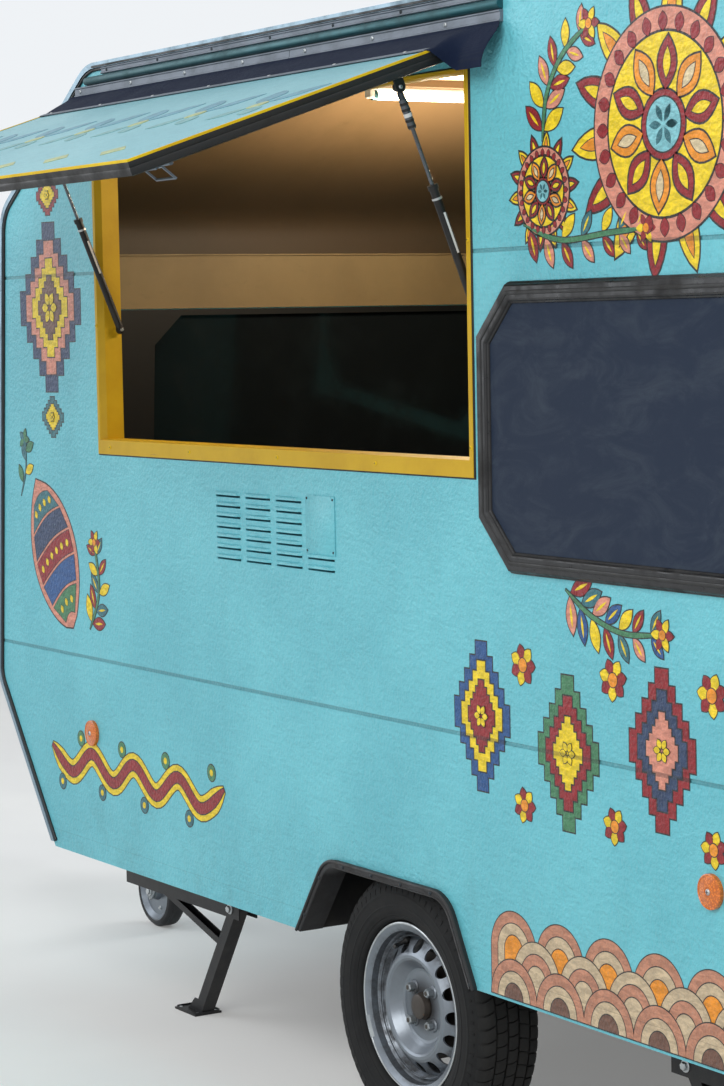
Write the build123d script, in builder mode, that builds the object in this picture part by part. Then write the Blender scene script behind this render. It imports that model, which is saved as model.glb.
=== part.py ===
"""Food trailer made from a small touring caravan, parked on its jockey wheel and corner steadies.

Millimetres, +Z up. -X is the drawbar end, -Y the serving side. While it is modelled,
x = 0 is the wheel centre, y = 0 the middle of the trailer and z = 0 the ground. The
finished pieces are written with the origin below the middle of the whole trailer.
"""
import os
from math import asin, atan2, cos, degrees, hypot, radians, sin, tan

from build123d import *

os.makedirs("parts", exist_ok=True)

# Clearances
seat_gap = 0.3             # soft or curved piece against its seat
running_gap = 0.05         # shaft in its bore, on the radius
swing_gap = 6              # moving panel to what it passes

# Body shell, as seen from the side
body_width = 2050
wall = 30
body_middle_x = -165
bottom_z = 400
floor_thickness = 40
nose_half_length = 1788
bottom_set_back = 313      # how far the bottom, brow and roof stay short of the nose
brow_set_back = 92
roof_set_back = 618
nose_z = 818
nose_radius = 80
brow_z = 2054
brow_radius = 110
roof_z = 2393
roof_radius = 160

bottom_half_length = nose_half_length - bottom_set_back
brow_half_length = nose_half_length - brow_set_back
roof_half_length = nose_half_length - roof_set_back
half_width = body_width / 2
inner_half_width = half_width - wall
floor_top_z = bottom_z + floor_thickness
ceiling_z = roof_z - wall
serving_side = -1          # -Y
door_side = 1              # +Y
front = -1
rear = 1

# Pressed grooves along both sides
groove_z = (912, 1877)
groove_height = 8
groove_depth = 2

# Road wheel: 13 inch steel rim and radial tyre
tyre_radius = 293
tyre_half_width = 83
rim_flange_radius = 182
rim_seat_radius = 166
rim_well_radius = 152
rim_half_width = 67
rim_metal = 4
rim_inset = 40             # outer flange behind the face of the body side
disc_face = 30             # mounting face outboard of the rim's middle
disc_ridge = 57            # top of the ring between the holes and the bowl
disc_hole_radius = 14
disc_hole_circle = 131
disc_hole_count = 16
hub_bore_radius = 30
hub_cap_radius = 27
hub_cap_height = 16
drum_radius = 115
drum_back = 38
drum_wall = 8
drum_hub_radius = 66
stub_radius = 17
stub_end_back = 16         # end of the stub behind the disc
wheel_y = half_width - rim_inset - rim_half_width
wheel_z = tyre_radius

# Wheel arch in the body side
arch_front_x = -370
arch_rear_x = 302
arch_top_front_x = -249
arch_top_rear_x = 213
arch_top_z = 567
arch_corner_radius = 70
arch_trim_width = 16
arch_trim_proud = 9
wheel_box_wall = 12
wheel_box_top_z = 640
wheel_box_inner_y = 790

# Chassis: two bent channel rails that meet at the drawbar's tip
rail_outer_y = 580
rail_height = 90
rail_flange = 45
rail_metal = 4
rail_rear_x = 1250
rail_bend_x = -1450
rail_tip_x = -3000
rail_tip_y = 75
cross_member_width = 50
cross_member_height = 60
cross_member_x = (-1380, -700, 560, 1180)
rail_bottom_z = bottom_z - rail_height
rail_turn = atan2(rail_outer_y - rail_tip_y, rail_bend_x - rail_tip_x)

# Torsion axle below the rails, with trailing arms
axle_tube_radius = 35
axle_tube_x = -150
axle_tube_z = rail_bottom_z - axle_tube_radius - 5
arm_thickness = 28
arm_radius_tube = 45
arm_radius_stub = 32
backplate_radius = 112
backplate_thickness = 3
backplate_out = -drum_back - swing_gap
arm_out = -tyre_half_width - swing_gap - 2      # outer face of the arm, from the rim's middle
axle_bracket_length = 90

# Overrun device, coupling and hand brake
overrun_rear_x = -2560
overrun_front_x = -3020
overrun_half_width = 70
overrun_height = 85
overrun_z = bottom_z + overrun_height / 2
gaiter_radius = 36
gaiter_length = 110
coupling_length = 250
coupling_width = 78
coupling_height = 70
coupling_profile = (         # distance ahead of the gaiter, height above the coupling's middle
    (0, -35),
    (0, 35),
    (110, 35),
    (150, 49),
    (230, 35),
    (250, -15),
    (250, -35),
)
coupling_grip_reach = (15, 165)
coupling_grip_height = (51, 67)
coupling_grip_width = 26
coupling_grip_post = (138, 162)
ball_radius = 25
ball_front_cover = 14
socket_gap = 0.3
socket_depth = 37
handbrake_length = 430
handbrake_thickness = 10
handbrake_height = 34
handbrake_lean = 62
handbrake_pivot_back = 120
handbrake_pivot_share = 0.45     # pivot's place along the lever

# Jockey wheel, clamped outside the serving-side drawbar beam
jockey_x = -2210
jockey_y = -395
jockey_trail = 50
jockey_wheel_radius = 105
jockey_wheel_width = 58
jockey_rim_radius = 86
jockey_rim_dish = 14
jockey_hub_radius = 24
jockey_axle_radius = 8
jockey_outer_radius = 24
jockey_outer_bottom_z = 262
jockey_outer_top_z = 640
jockey_inner_radius = 20
jockey_inner_top_z = 480
jockey_fork_top_z = 232
jockey_fork_metal = 5
jockey_fork_outline = (      # along and above the wheel's centre
    (90, 127),
    (-30, 127),
    (-24, -8),
    (-12, -20),
    (12, -20),
    (24, -8),
    (90, 87),
)
jockey_clamp_z = 330
jockey_clamp_height = 55
jockey_clamp_wall = 12
jockey_pad_half_length = 35
jockey_cap_thickness = 12
jockey_swivel_height = 12
jockey_spindle_radius = 10
jockey_spindle_height = 40
jockey_crank_length = 120
jockey_crank_width = 20
jockey_crank_metal = 8
jockey_grip_radius = 9
jockey_grip_length = 80
jockey_grip_inset = 20

# Corner steadies: a channel under the floor, a leg hinged in it and a brace to the spindle
steady_y = 800
steady_hinge_set_back = 573    # hinge behind the end of the floor
steady_hinge_z = 305
steady_foot_reach = 200
steady_foot_offset = 28    # foot's middle beyond the leg's own line
steady_leg_width = 36
steady_leg_depth = 32
steady_metal = 3
steady_base_width = 52
steady_base_above = 22     # top of the channel above the hinge
steady_base_below = 22
steady_base_inner_reach = 45
steady_base_outer_reach = 563
steady_spindle_radius = 6
steady_spindle_length = 200
steady_spindle_end = 14
steady_riser_length = 60
steady_riser_reach = (20, 470)
steady_pin_radius = 6
steady_brace_pivot = 125
steady_brace_length = 386
steady_brace_width = 24
steady_brace_depth = 18
steady_brace_open = 60     # forked length at the spindle end
steady_foot_length = 110
steady_foot_width = 76
steady_foot_thickness = 5
steady_gusset = (48, 34)   # how far in and how high the foot's gusset goes

# Serving hatch
hatch_front_x = -1320
hatch_rear_x = 340
hatch_bottom_z = 1434
hatch_top_z = 2240
hatch_jamb = 25
hatch_sill = 60
hatch_head = 30
hatch_frame_proud = 5
hatch_frame_depth = 60
hatch_hinge_y = -1040
hatch_hinge_z = 2268
hatch_open_angle = 71.5
hatch_door_front_x = -1420
hatch_door_rear_x = 332
hatch_door_thickness = 28
hatch_door_length = 766
hatch_door_top_drop = 9
hatch_door_border = 60
hatch_door_recess = 12     # inner skin behind the border
hatch_leaf_width = 8
hatch_leaf_overlap = 2     # leaf below the door's upper edge
hatch_knuckle_radius = 7
hatch_pin_radius = 3.5
hatch_knuckle_pitch = 120
hatch_knuckle_length = 55
hatch_knuckle_gap = 1
hatch_latch_length = 90
hatch_latch_height = 30
hatch_latch_depth = 24
hatch_latch_inset = 96     # latch's middle from the jamb
hatch_latch_rise = 100     # latch's middle above the door's lower edge
hatch_bolt_radius = 5
hatch_bolt_lift = 6        # bolt's axis above the door's border
hatch_bolt_reach = 38      # bolt's tip beyond the latch's plate
hatch_bow_width = 80       # wire bow that draws the bolt
hatch_bow_depth = 42
hatch_bow_wire = 4
hatch_bow_lean = 35        # degrees up from level when shut

# Gas struts
strut_inset = 15
strut_x = (hatch_front_x + hatch_jamb + strut_inset, hatch_rear_x - hatch_jamb - strut_inset)
strut_foot_y = -980
strut_foot_z = 1740
strut_head_out = 125
strut_head_down = 68
strut_tube_radius = 9
strut_tube_length = 293
strut_collar_radius = 11
strut_collar_length = 10
strut_sleeve_radius = 8
strut_sleeve_start = 410   # sleeve on the rod, from the foot
strut_sleeve_length = 60
strut_rod_radius = 4
strut_rod_inside = 40
strut_eye_radius = 8
strut_eye_width = 10
strut_plate = 3
strut_foot_radius = 9      # round end of the tube on its stud
strut_lug_radius = 10      # round end of the plate on the door

# Rails, canvas and mouldings above the hatch
rail_end_x = 460
rail_table = (              # lowest z, height, how far proud of the wall, front end, round face
    (2316, 23, 10, -1392, 0),
    (2340, 20, 16, -1332, 10),
    (2362, 16, 8, -1250, 0),
)
canvas_section = (           # out from the rail's face, height above the rail's lower edge
    (0, -8),
    (0, 6),
    (4, 6),
    (30, -8),
    (75, -20),
    (75, -24),
    (30, -12),
)
moulding_width = 14
moulding_proud = 8

# Windows and the menu board that fills one of them
window_corner = 100
window_frame_width = 34
window_frame_proud = 14
window_frame_round = 6     # rounded front edges of the rubber
pane_thickness = 20
pane_proud = 4
board_gap = 26             # between hatch frame and board
board_rear_inset = 227     # board's rear edge ahead of the nose line
board_bottom_z = 1257
board_height = 557
side_window_front_x = -1180
end_window_width = 1240
end_window_z = 1535

# Entrance door
door_front_x = 480
door_width = 600
door_bottom_z = 470
door_height = 1690
door_corner_radius = 70
door_edge_gap = 5
door_hinge_proud = 8
door_hinge_pin_radius = 4
door_hinge_barrel_radius = 8
door_hinge_length = 70
door_hinge_z = (760, 1800)
door_leaf_reach = 60
door_leaf_thickness = 4
door_leaf_step = 12
door_fixed_leaf_reach = 50
door_fixed_knuckle = 23
door_knuckle_gap = 1
door_handle_x = 1010
door_handle_z = 1180
door_handle_plate = (60, 24, 150)
door_handle_grip = (22, 12, 110)

# Small fittings on the body
vent_front_x = -727
vent_slot_length = 112
vent_slot_pitch = 137
vent_columns = 4
vent_rows = 7
vent_row_pitch = 24
vent_slot_height = 9
vent_bottom_z = 1209
reflector_radius = 33
reflector_height = 12
reflector_z = 725
reflector_set_back = 553   # reflector behind the nose line
tail_lamp_length = 190
tail_lamp_height = 90
tail_lamp_depth = 40
tail_lamp_y = 780
lamp_row_z = 600
plate_length = 520
plate_height = 115
plate_depth = 10
roof_light_size = 420
roof_light_height = 70
roof_light_corner = 40
roof_light_taper = 18
roof_light_x = 420

# Inside
counter_front_x = -1500
counter_length = 1900
counter_depth = 430
counter_z = 1400
counter_thickness = 32
counter_bracket_x = (-1300, -550, 200)
counter_bracket_thickness = 18
counter_bracket_drop = 268
counter_bracket_tip = 60
counter_bracket_foot = 40
lamp_length = 600
lamp_width = 44
lamp_base_height = 30
lamp_height = 58           # base, gap and tube together
lamp_tube_radius = 13
lamp_holder = (30, 14)     # across and along the tube
lamp_places = ((-1100, -60), (-540, -305))     # x and y of each lamp's middle

finished = []


def keep(part, name):
    """Label one finished piece and put it on the list to be written."""
    part.label = name
    finished.append(part)


def body_outline(inset=0):
    """Side view of the body, shrunk by inset."""
    corners = (              # half length, z, radius
        (bottom_half_length, bottom_z, 0),
        (nose_half_length, nose_z, nose_radius),
        (brow_half_length, brow_z, brow_radius),
        (roof_half_length, roof_z, roof_radius),
    )
    points = [(body_middle_x - half, z) for half, z, _ in corners]
    points += [(body_middle_x + half, z) for half, z, _ in reversed(corners)]
    radii = [radius for _, _, radius in corners]
    with BuildSketch() as outline:
        with BuildLine():
            FilletPolyline(*points, radius=radii + radii[::-1], close=True)
        make_face()
        if inset:
            offset(amount=-inset)
    return outline.sketch


def arch_outline(grow=0, foot_z=bottom_z):
    """Wheel arch as seen from the side, open at the bottom of the body."""
    slope = (arch_top_z - bottom_z) / (arch_top_front_x - arch_front_x)
    with BuildSketch() as outline:
        with BuildLine():
            FilletPolyline(
                (arch_front_x - (bottom_z - foot_z) / slope, foot_z),
                (arch_top_front_x, arch_top_z),
                (arch_top_rear_x, arch_top_z),
                (arch_rear_x + (bottom_z - foot_z) / slope, foot_z),
                radius=[0, arch_corner_radius, arch_corner_radius, 0],
                close=True,
            )
        make_face()
        if grow:
            offset(amount=grow)
    return outline.sketch


def window_outline(length, height, inset=0):
    """Window shape with cut corners, shrunk by inset."""
    with BuildSketch() as outline:
        Rectangle(length, height)
        chamfer(outline.vertices(), length=window_corner)
        if inset:
            offset(amount=-inset, kind=Kind.INTERSECTION)
    return outline.sketch


def window_rubber(length):
    """Rubber frame of one window, lying on its back with rounded front edges."""
    with BuildPart() as ring:
        with BuildSketch():
            add(window_outline(length, board_height))
            add(window_outline(length, board_height, window_frame_width), mode=Mode.SUBTRACT)
        extrude(amount=window_frame_proud)
        fillet(ring.faces().sort_by(Axis.Z)[-1].edges(), radius=window_frame_round)
    return ring.part


def slab(x_range, z_range):
    """Rectangle in the side view, from its two x and two z values."""
    with BuildSketch() as outline:
        with Locations(((x_range[0] + x_range[1]) / 2, (z_range[0] + z_range[1]) / 2)):
            Rectangle(x_range[1] - x_range[0], z_range[1] - z_range[0])
    return outline.sketch


def side_plane(side, proud=0):
    """Side view plane at a body side, normal -Y, at the face or proud of it."""
    return Plane.XZ.offset(-side * (half_width + proud))


def groove_bands():
    """Pressed grooves of one body side, seen from the side."""
    reach = 2 * nose_half_length
    with BuildSketch() as bands:
        for low_z in groove_z:
            add(slab((-reach, reach), (low_z, low_z + groove_height)))
    return bands.sketch


board_front_x = hatch_rear_x + board_gap
board_length = body_middle_x + nose_half_length - board_rear_inset - board_front_x
board_middle = (board_front_x + board_length / 2, board_bottom_z + board_height / 2)
side_window_middle = (side_window_front_x + board_length / 2, board_middle[1])
nose_x = nose_half_length
face_lean = atan2(nose_half_length - brow_half_length, brow_z - nose_z)
skirt_lean = atan2(nose_half_length - bottom_half_length, nose_z - bottom_z)


def end_face_plane(end):
    """Plane on the upper face of the front or rear wall, its local y up the face."""
    reach = nose_half_length - (end_window_z - nose_z) * tan(face_lean)
    return Plane(
        origin=(body_middle_x + end * reach, 0, end_window_z),
        x_dir=(0, end, 0),
        z_dir=(end * cos(face_lean), 0, sin(face_lean)),
    )


def skirt_plane(end, height):
    """Plane on the lower sloped face of the front or rear wall, its local y up the face."""
    reach = bottom_half_length + (height - bottom_z) * tan(skirt_lean)
    return Plane(
        origin=(body_middle_x + end * reach, 0, height),
        x_dir=(0, end, 0),
        z_dir=(end * cos(skirt_lean), 0, -sin(skirt_lean)),
    )


# Floor
with BuildPart() as floor:
    with BuildSketch(Plane.XZ.offset(-inner_half_width)):
        add(body_outline())
        add(
            slab((-3 * nose_x, 3 * nose_x), (bottom_z, floor_top_z)),
            mode=Mode.INTERSECT,
        )
    extrude(amount=2 * inner_half_width)
    box_length = arch_rear_x - arch_front_x + 2 * wheel_box_wall
    box_middle_x = (arch_rear_x + arch_front_x) / 2
    box_width = inner_half_width - wheel_box_inner_y + wheel_box_wall
    for side in (serving_side, door_side):
        with Locations((box_middle_x, side * (inner_half_width - box_width / 2), bottom_z)):
            Box(
                box_length, box_width, 3 * floor_thickness,
                align=(Align.CENTER, Align.CENTER, Align.CENTER), mode=Mode.SUBTRACT,
            )
keep(floor.part, "floor")

# Front and rear walls and the roof, between the two sides
roof_front_x = body_middle_x - roof_half_length
roof_rear_x = body_middle_x + roof_half_length
shell_pieces = (             # name, lowest x, highest x, end
    ("front_wall", body_middle_x - nose_x, roof_front_x, front),
    ("roof", roof_front_x, roof_rear_x, 0),
    ("rear_wall", roof_rear_x, body_middle_x + nose_x, rear),
)
for name, low_x, high_x, end in shell_pieces:
    with BuildPart() as shell_piece:
        with BuildSketch(Plane.XZ.offset(-inner_half_width)):
            add(body_outline())
            add(body_outline(wall), mode=Mode.SUBTRACT)
            add(slab((low_x, high_x), (floor_top_z, roof_z)), mode=Mode.INTERSECT)
        extrude(amount=2 * inner_half_width)
        if end:
            with BuildSketch(end_face_plane(end)):
                add(window_outline(end_window_width, board_height, window_frame_width))
            extrude(amount=-2 * wall, mode=Mode.SUBTRACT)
        else:
            with Locations((roof_light_x, 0, roof_z)):
                Box(
                    roof_light_size - 2 * wall, roof_light_size - 2 * wall, 3 * wall,
                    mode=Mode.SUBTRACT,
                )
    keep(shell_piece.part, name)

# Serving side
with BuildPart() as serving_wall:
    with BuildSketch(side_plane(serving_side)):
        add(body_outline())
        add(arch_outline(foot_z=bottom_z - wall), mode=Mode.SUBTRACT)
        add(
            slab((hatch_front_x, hatch_rear_x), (hatch_bottom_z, hatch_top_z)),
            mode=Mode.SUBTRACT,
        )
        with Locations(board_middle):
            add(
                window_outline(board_length, board_height, window_frame_width),
                mode=Mode.SUBTRACT,
            )
        vent_middle = (
            vent_front_x + (vent_columns - 1) * vent_slot_pitch / 2 + vent_slot_length / 2,
            vent_bottom_z + (vent_rows - 1) * vent_row_pitch / 2 + vent_slot_height / 2,
        )
        with Locations(vent_middle):
            with GridLocations(vent_slot_pitch, vent_row_pitch, vent_columns, vent_rows):
                Rectangle(vent_slot_length, vent_slot_height, mode=Mode.SUBTRACT)
    extrude(amount=-wall)
    with BuildSketch(side_plane(serving_side)):
        add(groove_bands())
    extrude(amount=serving_side * groove_depth, mode=Mode.SUBTRACT)
keep(serving_wall.part, "serving_side_wall")

# Door side
door_middle = (door_front_x + door_width / 2, door_bottom_z + door_height / 2)
with BuildPart() as door_wall:
    with BuildSketch(side_plane(door_side)):
        add(body_outline())
        add(arch_outline(foot_z=bottom_z - wall), mode=Mode.SUBTRACT)
        with Locations(door_middle):
            RectangleRounded(door_width, door_height, door_corner_radius, mode=Mode.SUBTRACT)
        with Locations(side_window_middle):
            add(
                window_outline(board_length, board_height, window_frame_width),
                mode=Mode.SUBTRACT,
            )
    extrude(amount=wall)
    with BuildSketch(side_plane(door_side)):
        add(groove_bands())
    extrude(amount=door_side * groove_depth, mode=Mode.SUBTRACT)
keep(door_wall.part, "door_side_wall")

# Wheel boxes: folded sheet over each tyre, closed towards the cabin
with BuildPart() as wheel_boxes:
    box_top = wheel_box_top_z
    for side in (serving_side, door_side):
        outer_y = side * inner_half_width
        inner_y = side * wheel_box_inner_y
        with BuildSketch(Plane.XZ.offset(-outer_y)):
            add(slab((arch_front_x - wheel_box_wall, arch_rear_x + wheel_box_wall),
                     (bottom_z, box_top)))
        extrude(amount=side * (inner_half_width - wheel_box_inner_y + wheel_box_wall))
        with BuildSketch(Plane.XZ.offset(-outer_y)):
            add(slab((arch_front_x, arch_rear_x), (bottom_z, box_top - wheel_box_wall)))
        extrude(
            amount=side * (inner_half_width - wheel_box_inner_y), mode=Mode.SUBTRACT,
        )
keep(wheel_boxes.part, "wheel_boxes")

# Edge mouldings round the sides and trims round the arches
with BuildPart() as edge_mouldings:
    for side in (serving_side, door_side):
        with BuildSketch(side_plane(side)):
            add(body_outline())
            add(body_outline(moulding_width), mode=Mode.SUBTRACT)
            add(
                slab((-3 * nose_x, 3 * nose_x), (bottom_z + moulding_width, roof_z)),
                mode=Mode.INTERSECT,
            )
        extrude(amount=-side * moulding_proud)
keep(edge_mouldings.part, "edge_mouldings")

with BuildPart() as arch_trims:
    for side in (serving_side, door_side):
        with BuildSketch(side_plane(side)):
            add(arch_outline(arch_trim_width))
            add(arch_outline(foot_z=bottom_z - wall), mode=Mode.SUBTRACT)
            add(
                slab((-3 * nose_x, 3 * nose_x), (bottom_z, roof_z)),
                mode=Mode.INTERSECT,
            )
        extrude(amount=-side * arch_trim_proud)
keep(arch_trims.part, "arch_trims")

# Hatch frame in the serving side, with the fixed knuckles of the hatch hinge
frame_outer_y = -(half_width + hatch_frame_proud)
with BuildPart() as hatch_frame:
    with BuildSketch(Plane.XZ.offset(-frame_outer_y)):
        add(slab((hatch_front_x, hatch_rear_x), (hatch_bottom_z, hatch_top_z)))
        add(
            slab(
                (hatch_front_x + hatch_jamb, hatch_rear_x - hatch_jamb),
                (hatch_bottom_z + hatch_sill, hatch_top_z - hatch_head),
            ),
            mode=Mode.SUBTRACT,
        )
    extrude(amount=-hatch_frame_depth)
    for strut, inward in zip(strut_x, (1, -1)):
        reveal = hatch_front_x + hatch_jamb if inward > 0 else hatch_rear_x - hatch_jamb
        stud = abs(strut - reveal) - strut_eye_width / 2 - seat_gap
        with BuildSketch(Plane.YZ.offset(reveal)):
            with Locations((strut_foot_y, strut_foot_z)):
                Circle(strut_eye_radius)
        extrude(amount=inward * stud)
keep(hatch_frame.part, "hatch_frame")

knuckle_count = int((hatch_door_rear_x - hatch_door_front_x) // hatch_knuckle_pitch)
hinge_span = knuckle_count * hatch_knuckle_pitch
hinge_start_x = (hatch_door_front_x + hatch_door_rear_x - hinge_span) / 2
with BuildPart() as hatch_hinge:
    with BuildSketch(Plane.YZ.offset(hinge_start_x)):
        with Locations((hatch_hinge_y, hatch_hinge_z)):
            Circle(hatch_pin_radius)
    extrude(amount=hinge_span)
    leaf_depth = -half_width - hatch_hinge_y
    for index in range(knuckle_count):
        with BuildSketch(Plane.YZ.offset(hinge_start_x + index * hatch_knuckle_pitch)):
            with Locations((hatch_hinge_y, hatch_hinge_z)):
                Circle(hatch_knuckle_radius)
            with Locations((hatch_hinge_y - leaf_depth / 2 + leaf_depth, hatch_hinge_z)):
                Rectangle(leaf_depth, hatch_knuckle_radius)
        extrude(amount=hatch_knuckle_length)
keep(hatch_hinge.part, "hatch_hinge")

# Hatch door, drawn shut and swung open about its hinge
hatch_axis = Axis((0, hatch_hinge_y, hatch_hinge_z), (1, 0, 0))
door_inner_y = frame_outer_y - swing_gap
strut_angle = radians(-hatch_open_angle)
head_y = -strut_head_out
head_z = -strut_head_down
shut_head_y = head_y * cos(-strut_angle) - head_z * sin(-strut_angle) + hatch_hinge_y
shut_head_z = head_y * sin(-strut_angle) + head_z * cos(-strut_angle) + hatch_hinge_z
with BuildPart() as hatch_door:
    with BuildSketch(Plane.XZ.offset(-door_inner_y)):
        add(
            slab(
                (hatch_door_front_x, hatch_door_rear_x),
                (hatch_hinge_z - hatch_door_length, hatch_hinge_z - hatch_door_top_drop),
            )
        )
    extrude(amount=hatch_door_thickness)
    with BuildSketch(Plane.XZ.offset(-door_inner_y)):
        add(
            slab(
                (hatch_door_front_x + hatch_door_border, hatch_door_rear_x - hatch_door_border),
                (
                    hatch_hinge_z - hatch_door_length + hatch_door_border,
                    hatch_hinge_z - hatch_door_top_drop - hatch_door_border,
                ),
            )
        )
    extrude(amount=hatch_door_recess, mode=Mode.SUBTRACT)
    gap = hatch_knuckle_pitch - hatch_knuckle_length - 2 * hatch_knuckle_gap
    for index in range(knuckle_count):
        low_x = hinge_start_x + index * hatch_knuckle_pitch
        low_x += hatch_knuckle_length + hatch_knuckle_gap
        with BuildSketch(Plane.YZ.offset(low_x)):
            with Locations((hatch_hinge_y, hatch_hinge_z)):
                Circle(hatch_knuckle_radius)
            leaf_top_z = hatch_hinge_z
            leaf_low_z = hatch_hinge_z - hatch_door_top_drop - hatch_leaf_overlap
            with Locations((door_inner_y - hatch_leaf_width / 2, (leaf_top_z + leaf_low_z) / 2)):
                Rectangle(hatch_leaf_width, leaf_top_z - leaf_low_z)
            with Locations((hatch_hinge_y, hatch_hinge_z)):
                Circle(hatch_pin_radius + running_gap, mode=Mode.SUBTRACT)
        extrude(amount=gap)
    for strut, inward in zip(strut_x, (1, -1)):
        plate_x = strut - inward * (strut_eye_width / 2 + seat_gap)
        plate_foot_y = door_inner_y - hatch_door_recess
        with BuildSketch(Plane.YZ.offset(plate_x)):
            with Locations((shut_head_y, shut_head_z)):
                Circle(strut_lug_radius)
            with Locations(((plate_foot_y + shut_head_y) / 2, shut_head_z)):
                Rectangle(shut_head_y - plate_foot_y, 2 * strut_lug_radius)
        extrude(amount=-inward * strut_plate)
open_hatch = hatch_door.part.rotate(hatch_axis, -hatch_open_angle)
keep(open_hatch, "hatch_door")

with BuildPart() as hatch_latches:
    latch_z = hatch_hinge_z - hatch_door_length + hatch_latch_rise
    latch_seat_y = door_inner_y - hatch_door_recess
    latch_face_y = latch_seat_y + hatch_latch_depth
    lean = radians(hatch_bow_lean)
    for x, outward in (
        (hatch_front_x + hatch_jamb + hatch_latch_inset, -1),
        (hatch_rear_x - hatch_jamb - hatch_latch_inset, 1),
    ):
        with Locations((x, latch_seat_y + hatch_latch_depth / 2, latch_z)):
            Box(hatch_latch_length, hatch_latch_depth, hatch_latch_height)
        bolt_start = x + outward * hatch_latch_length / 2
        with BuildSketch(Plane.YZ.offset(bolt_start)):
            with Locations((door_inner_y + hatch_bolt_lift, latch_z)):
                Circle(hatch_bolt_radius)
        extrude(amount=outward * hatch_bolt_reach)
        bow_foot = (x, latch_face_y - hatch_bow_wire, latch_z)
        bow_plane = Plane(
            origin=bow_foot, x_dir=(1, 0, 0), z_dir=(0, -sin(lean), cos(lean))
        )
        with BuildSketch(bow_plane):
            Rectangle(hatch_bow_width, hatch_bow_depth, align=(Align.CENTER, Align.MIN))
            Rectangle(
                hatch_bow_width - 2 * hatch_bow_wire, hatch_bow_depth - hatch_bow_wire,
                align=(Align.CENTER, Align.MIN), mode=Mode.SUBTRACT,
            )
        extrude(amount=hatch_bow_wire / 2, both=True)
open_latches = hatch_latches.part.rotate(hatch_axis, -hatch_open_angle)
keep(open_latches, "hatch_latches")

# Gas struts from the jambs to the door
strut_head = (hatch_hinge_y - strut_head_out, hatch_hinge_z - strut_head_down)
strut_length = hypot(strut_head[0] - strut_foot_y, strut_head[1] - strut_foot_z)
strut_up = (
    0,
    (strut_head[0] - strut_foot_y) / strut_length,
    (strut_head[1] - strut_foot_z) / strut_length,
)
for name, x in zip(("front", "rear"), strut_x):
    along = Plane(origin=(x, strut_foot_y, strut_foot_z), x_dir=(1, 0, 0), z_dir=strut_up)
    with BuildPart() as strut_tube:
        with BuildSketch(along.offset(strut_eye_radius)):
            Circle(strut_tube_radius)
        extrude(amount=strut_tube_length - strut_eye_radius)
        with BuildSketch(Plane.YZ.offset(x - strut_eye_width / 2)):
            with Locations((strut_foot_y, strut_foot_z)):
                Circle(strut_foot_radius)
        extrude(amount=strut_eye_width)
        bore_depth = strut_tube_length - 2 * strut_eye_radius
        with BuildSketch(along.offset(strut_tube_length)):
            Circle(strut_collar_radius)
        extrude(amount=-strut_collar_length)
        with BuildSketch(along.offset(strut_tube_length)):
            Circle(strut_rod_radius + running_gap)
        extrude(amount=-bore_depth, mode=Mode.SUBTRACT)
    keep(strut_tube.part, f"strut_tube_{name}")
    with BuildPart() as strut_rod:
        with BuildSketch(along.offset(strut_tube_length - strut_rod_inside)):
            Circle(strut_rod_radius)
        extrude(amount=strut_length - strut_tube_length + strut_rod_inside)
        with BuildSketch(along.offset(strut_sleeve_start)):
            Circle(strut_sleeve_radius)
        extrude(amount=strut_sleeve_length)
        with BuildSketch(Plane.YZ.offset(x - strut_eye_width / 2)):
            with Locations(strut_head):
                Circle(strut_eye_radius)
        extrude(amount=strut_eye_width)
    keep(strut_rod.part, f"strut_rod_{name}")

# Rails above the hatch and the canvas over its hinge
with BuildPart() as hatch_rails:
    for low_z, height, proud, rail_start_x, round_face in rail_table:
        flat = proud - round_face
        with BuildSketch(Plane.YZ.offset(rail_start_x)):
            with Locations((-half_width - flat / 2, low_z + height / 2)):
                Rectangle(flat, height)
            if round_face:
                with Locations((-half_width - flat, low_z + height / 2)):
                    Circle(round_face)
                with Locations((-half_width - proud / 2, low_z + height / 2)):
                    Rectangle(proud, height, mode=Mode.INTERSECT)
        extrude(amount=rail_end_x - rail_start_x)
keep(hatch_rails.part, "hatch_rails")

face_y = -half_width - rail_table[0][2] - seat_gap
with BuildPart() as canvas_flap:
    with BuildSketch(Plane.YZ.offset(hatch_door_front_x)):
        with BuildLine():
            Polyline(
                *[(face_y - out, rail_table[0][0] + rise) for out, rise in canvas_section],
                close=True,
            )
        make_face()
    extrude(amount=rail_end_x - hatch_door_front_x)
keep(canvas_flap.part, "canvas_flap")

# Window frames and panes
window_places = (            # plane on the wall face, length
    (end_face_plane(front), end_window_width),
    (end_face_plane(rear), end_window_width),
    (
        Plane(
            origin=(side_window_middle[0], half_width, side_window_middle[1]),
            x_dir=(-1, 0, 0), z_dir=(0, 1, 0),
        ),
        board_length,
    ),
)
with BuildPart() as window_frames:
    for plane, length in window_places:
        add(plane.location * window_rubber(length))
keep(window_frames.part, "window_frames")

with BuildPart() as window_panes:
    for plane, length in window_places:
        with BuildSketch(plane.offset(-pane_thickness + pane_proud)):
            add(window_outline(length, board_height, window_frame_width + seat_gap))
        extrude(amount=pane_thickness)
keep(window_panes.part, "window_panes")

board_plane = Plane(
    origin=(board_middle[0], -half_width, board_middle[1]), x_dir=(1, 0, 0), z_dir=(0, -1, 0),
)
with BuildPart() as board_frame:
    add(board_plane.location * window_rubber(board_length))
keep(board_frame.part, "board_frame")

with BuildPart() as menu_board:
    with BuildSketch(board_plane.offset(-pane_thickness + pane_proud)):
        add(window_outline(board_length, board_height, window_frame_width + seat_gap))
    extrude(amount=pane_thickness)
keep(menu_board.part, "menu_board")

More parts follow.
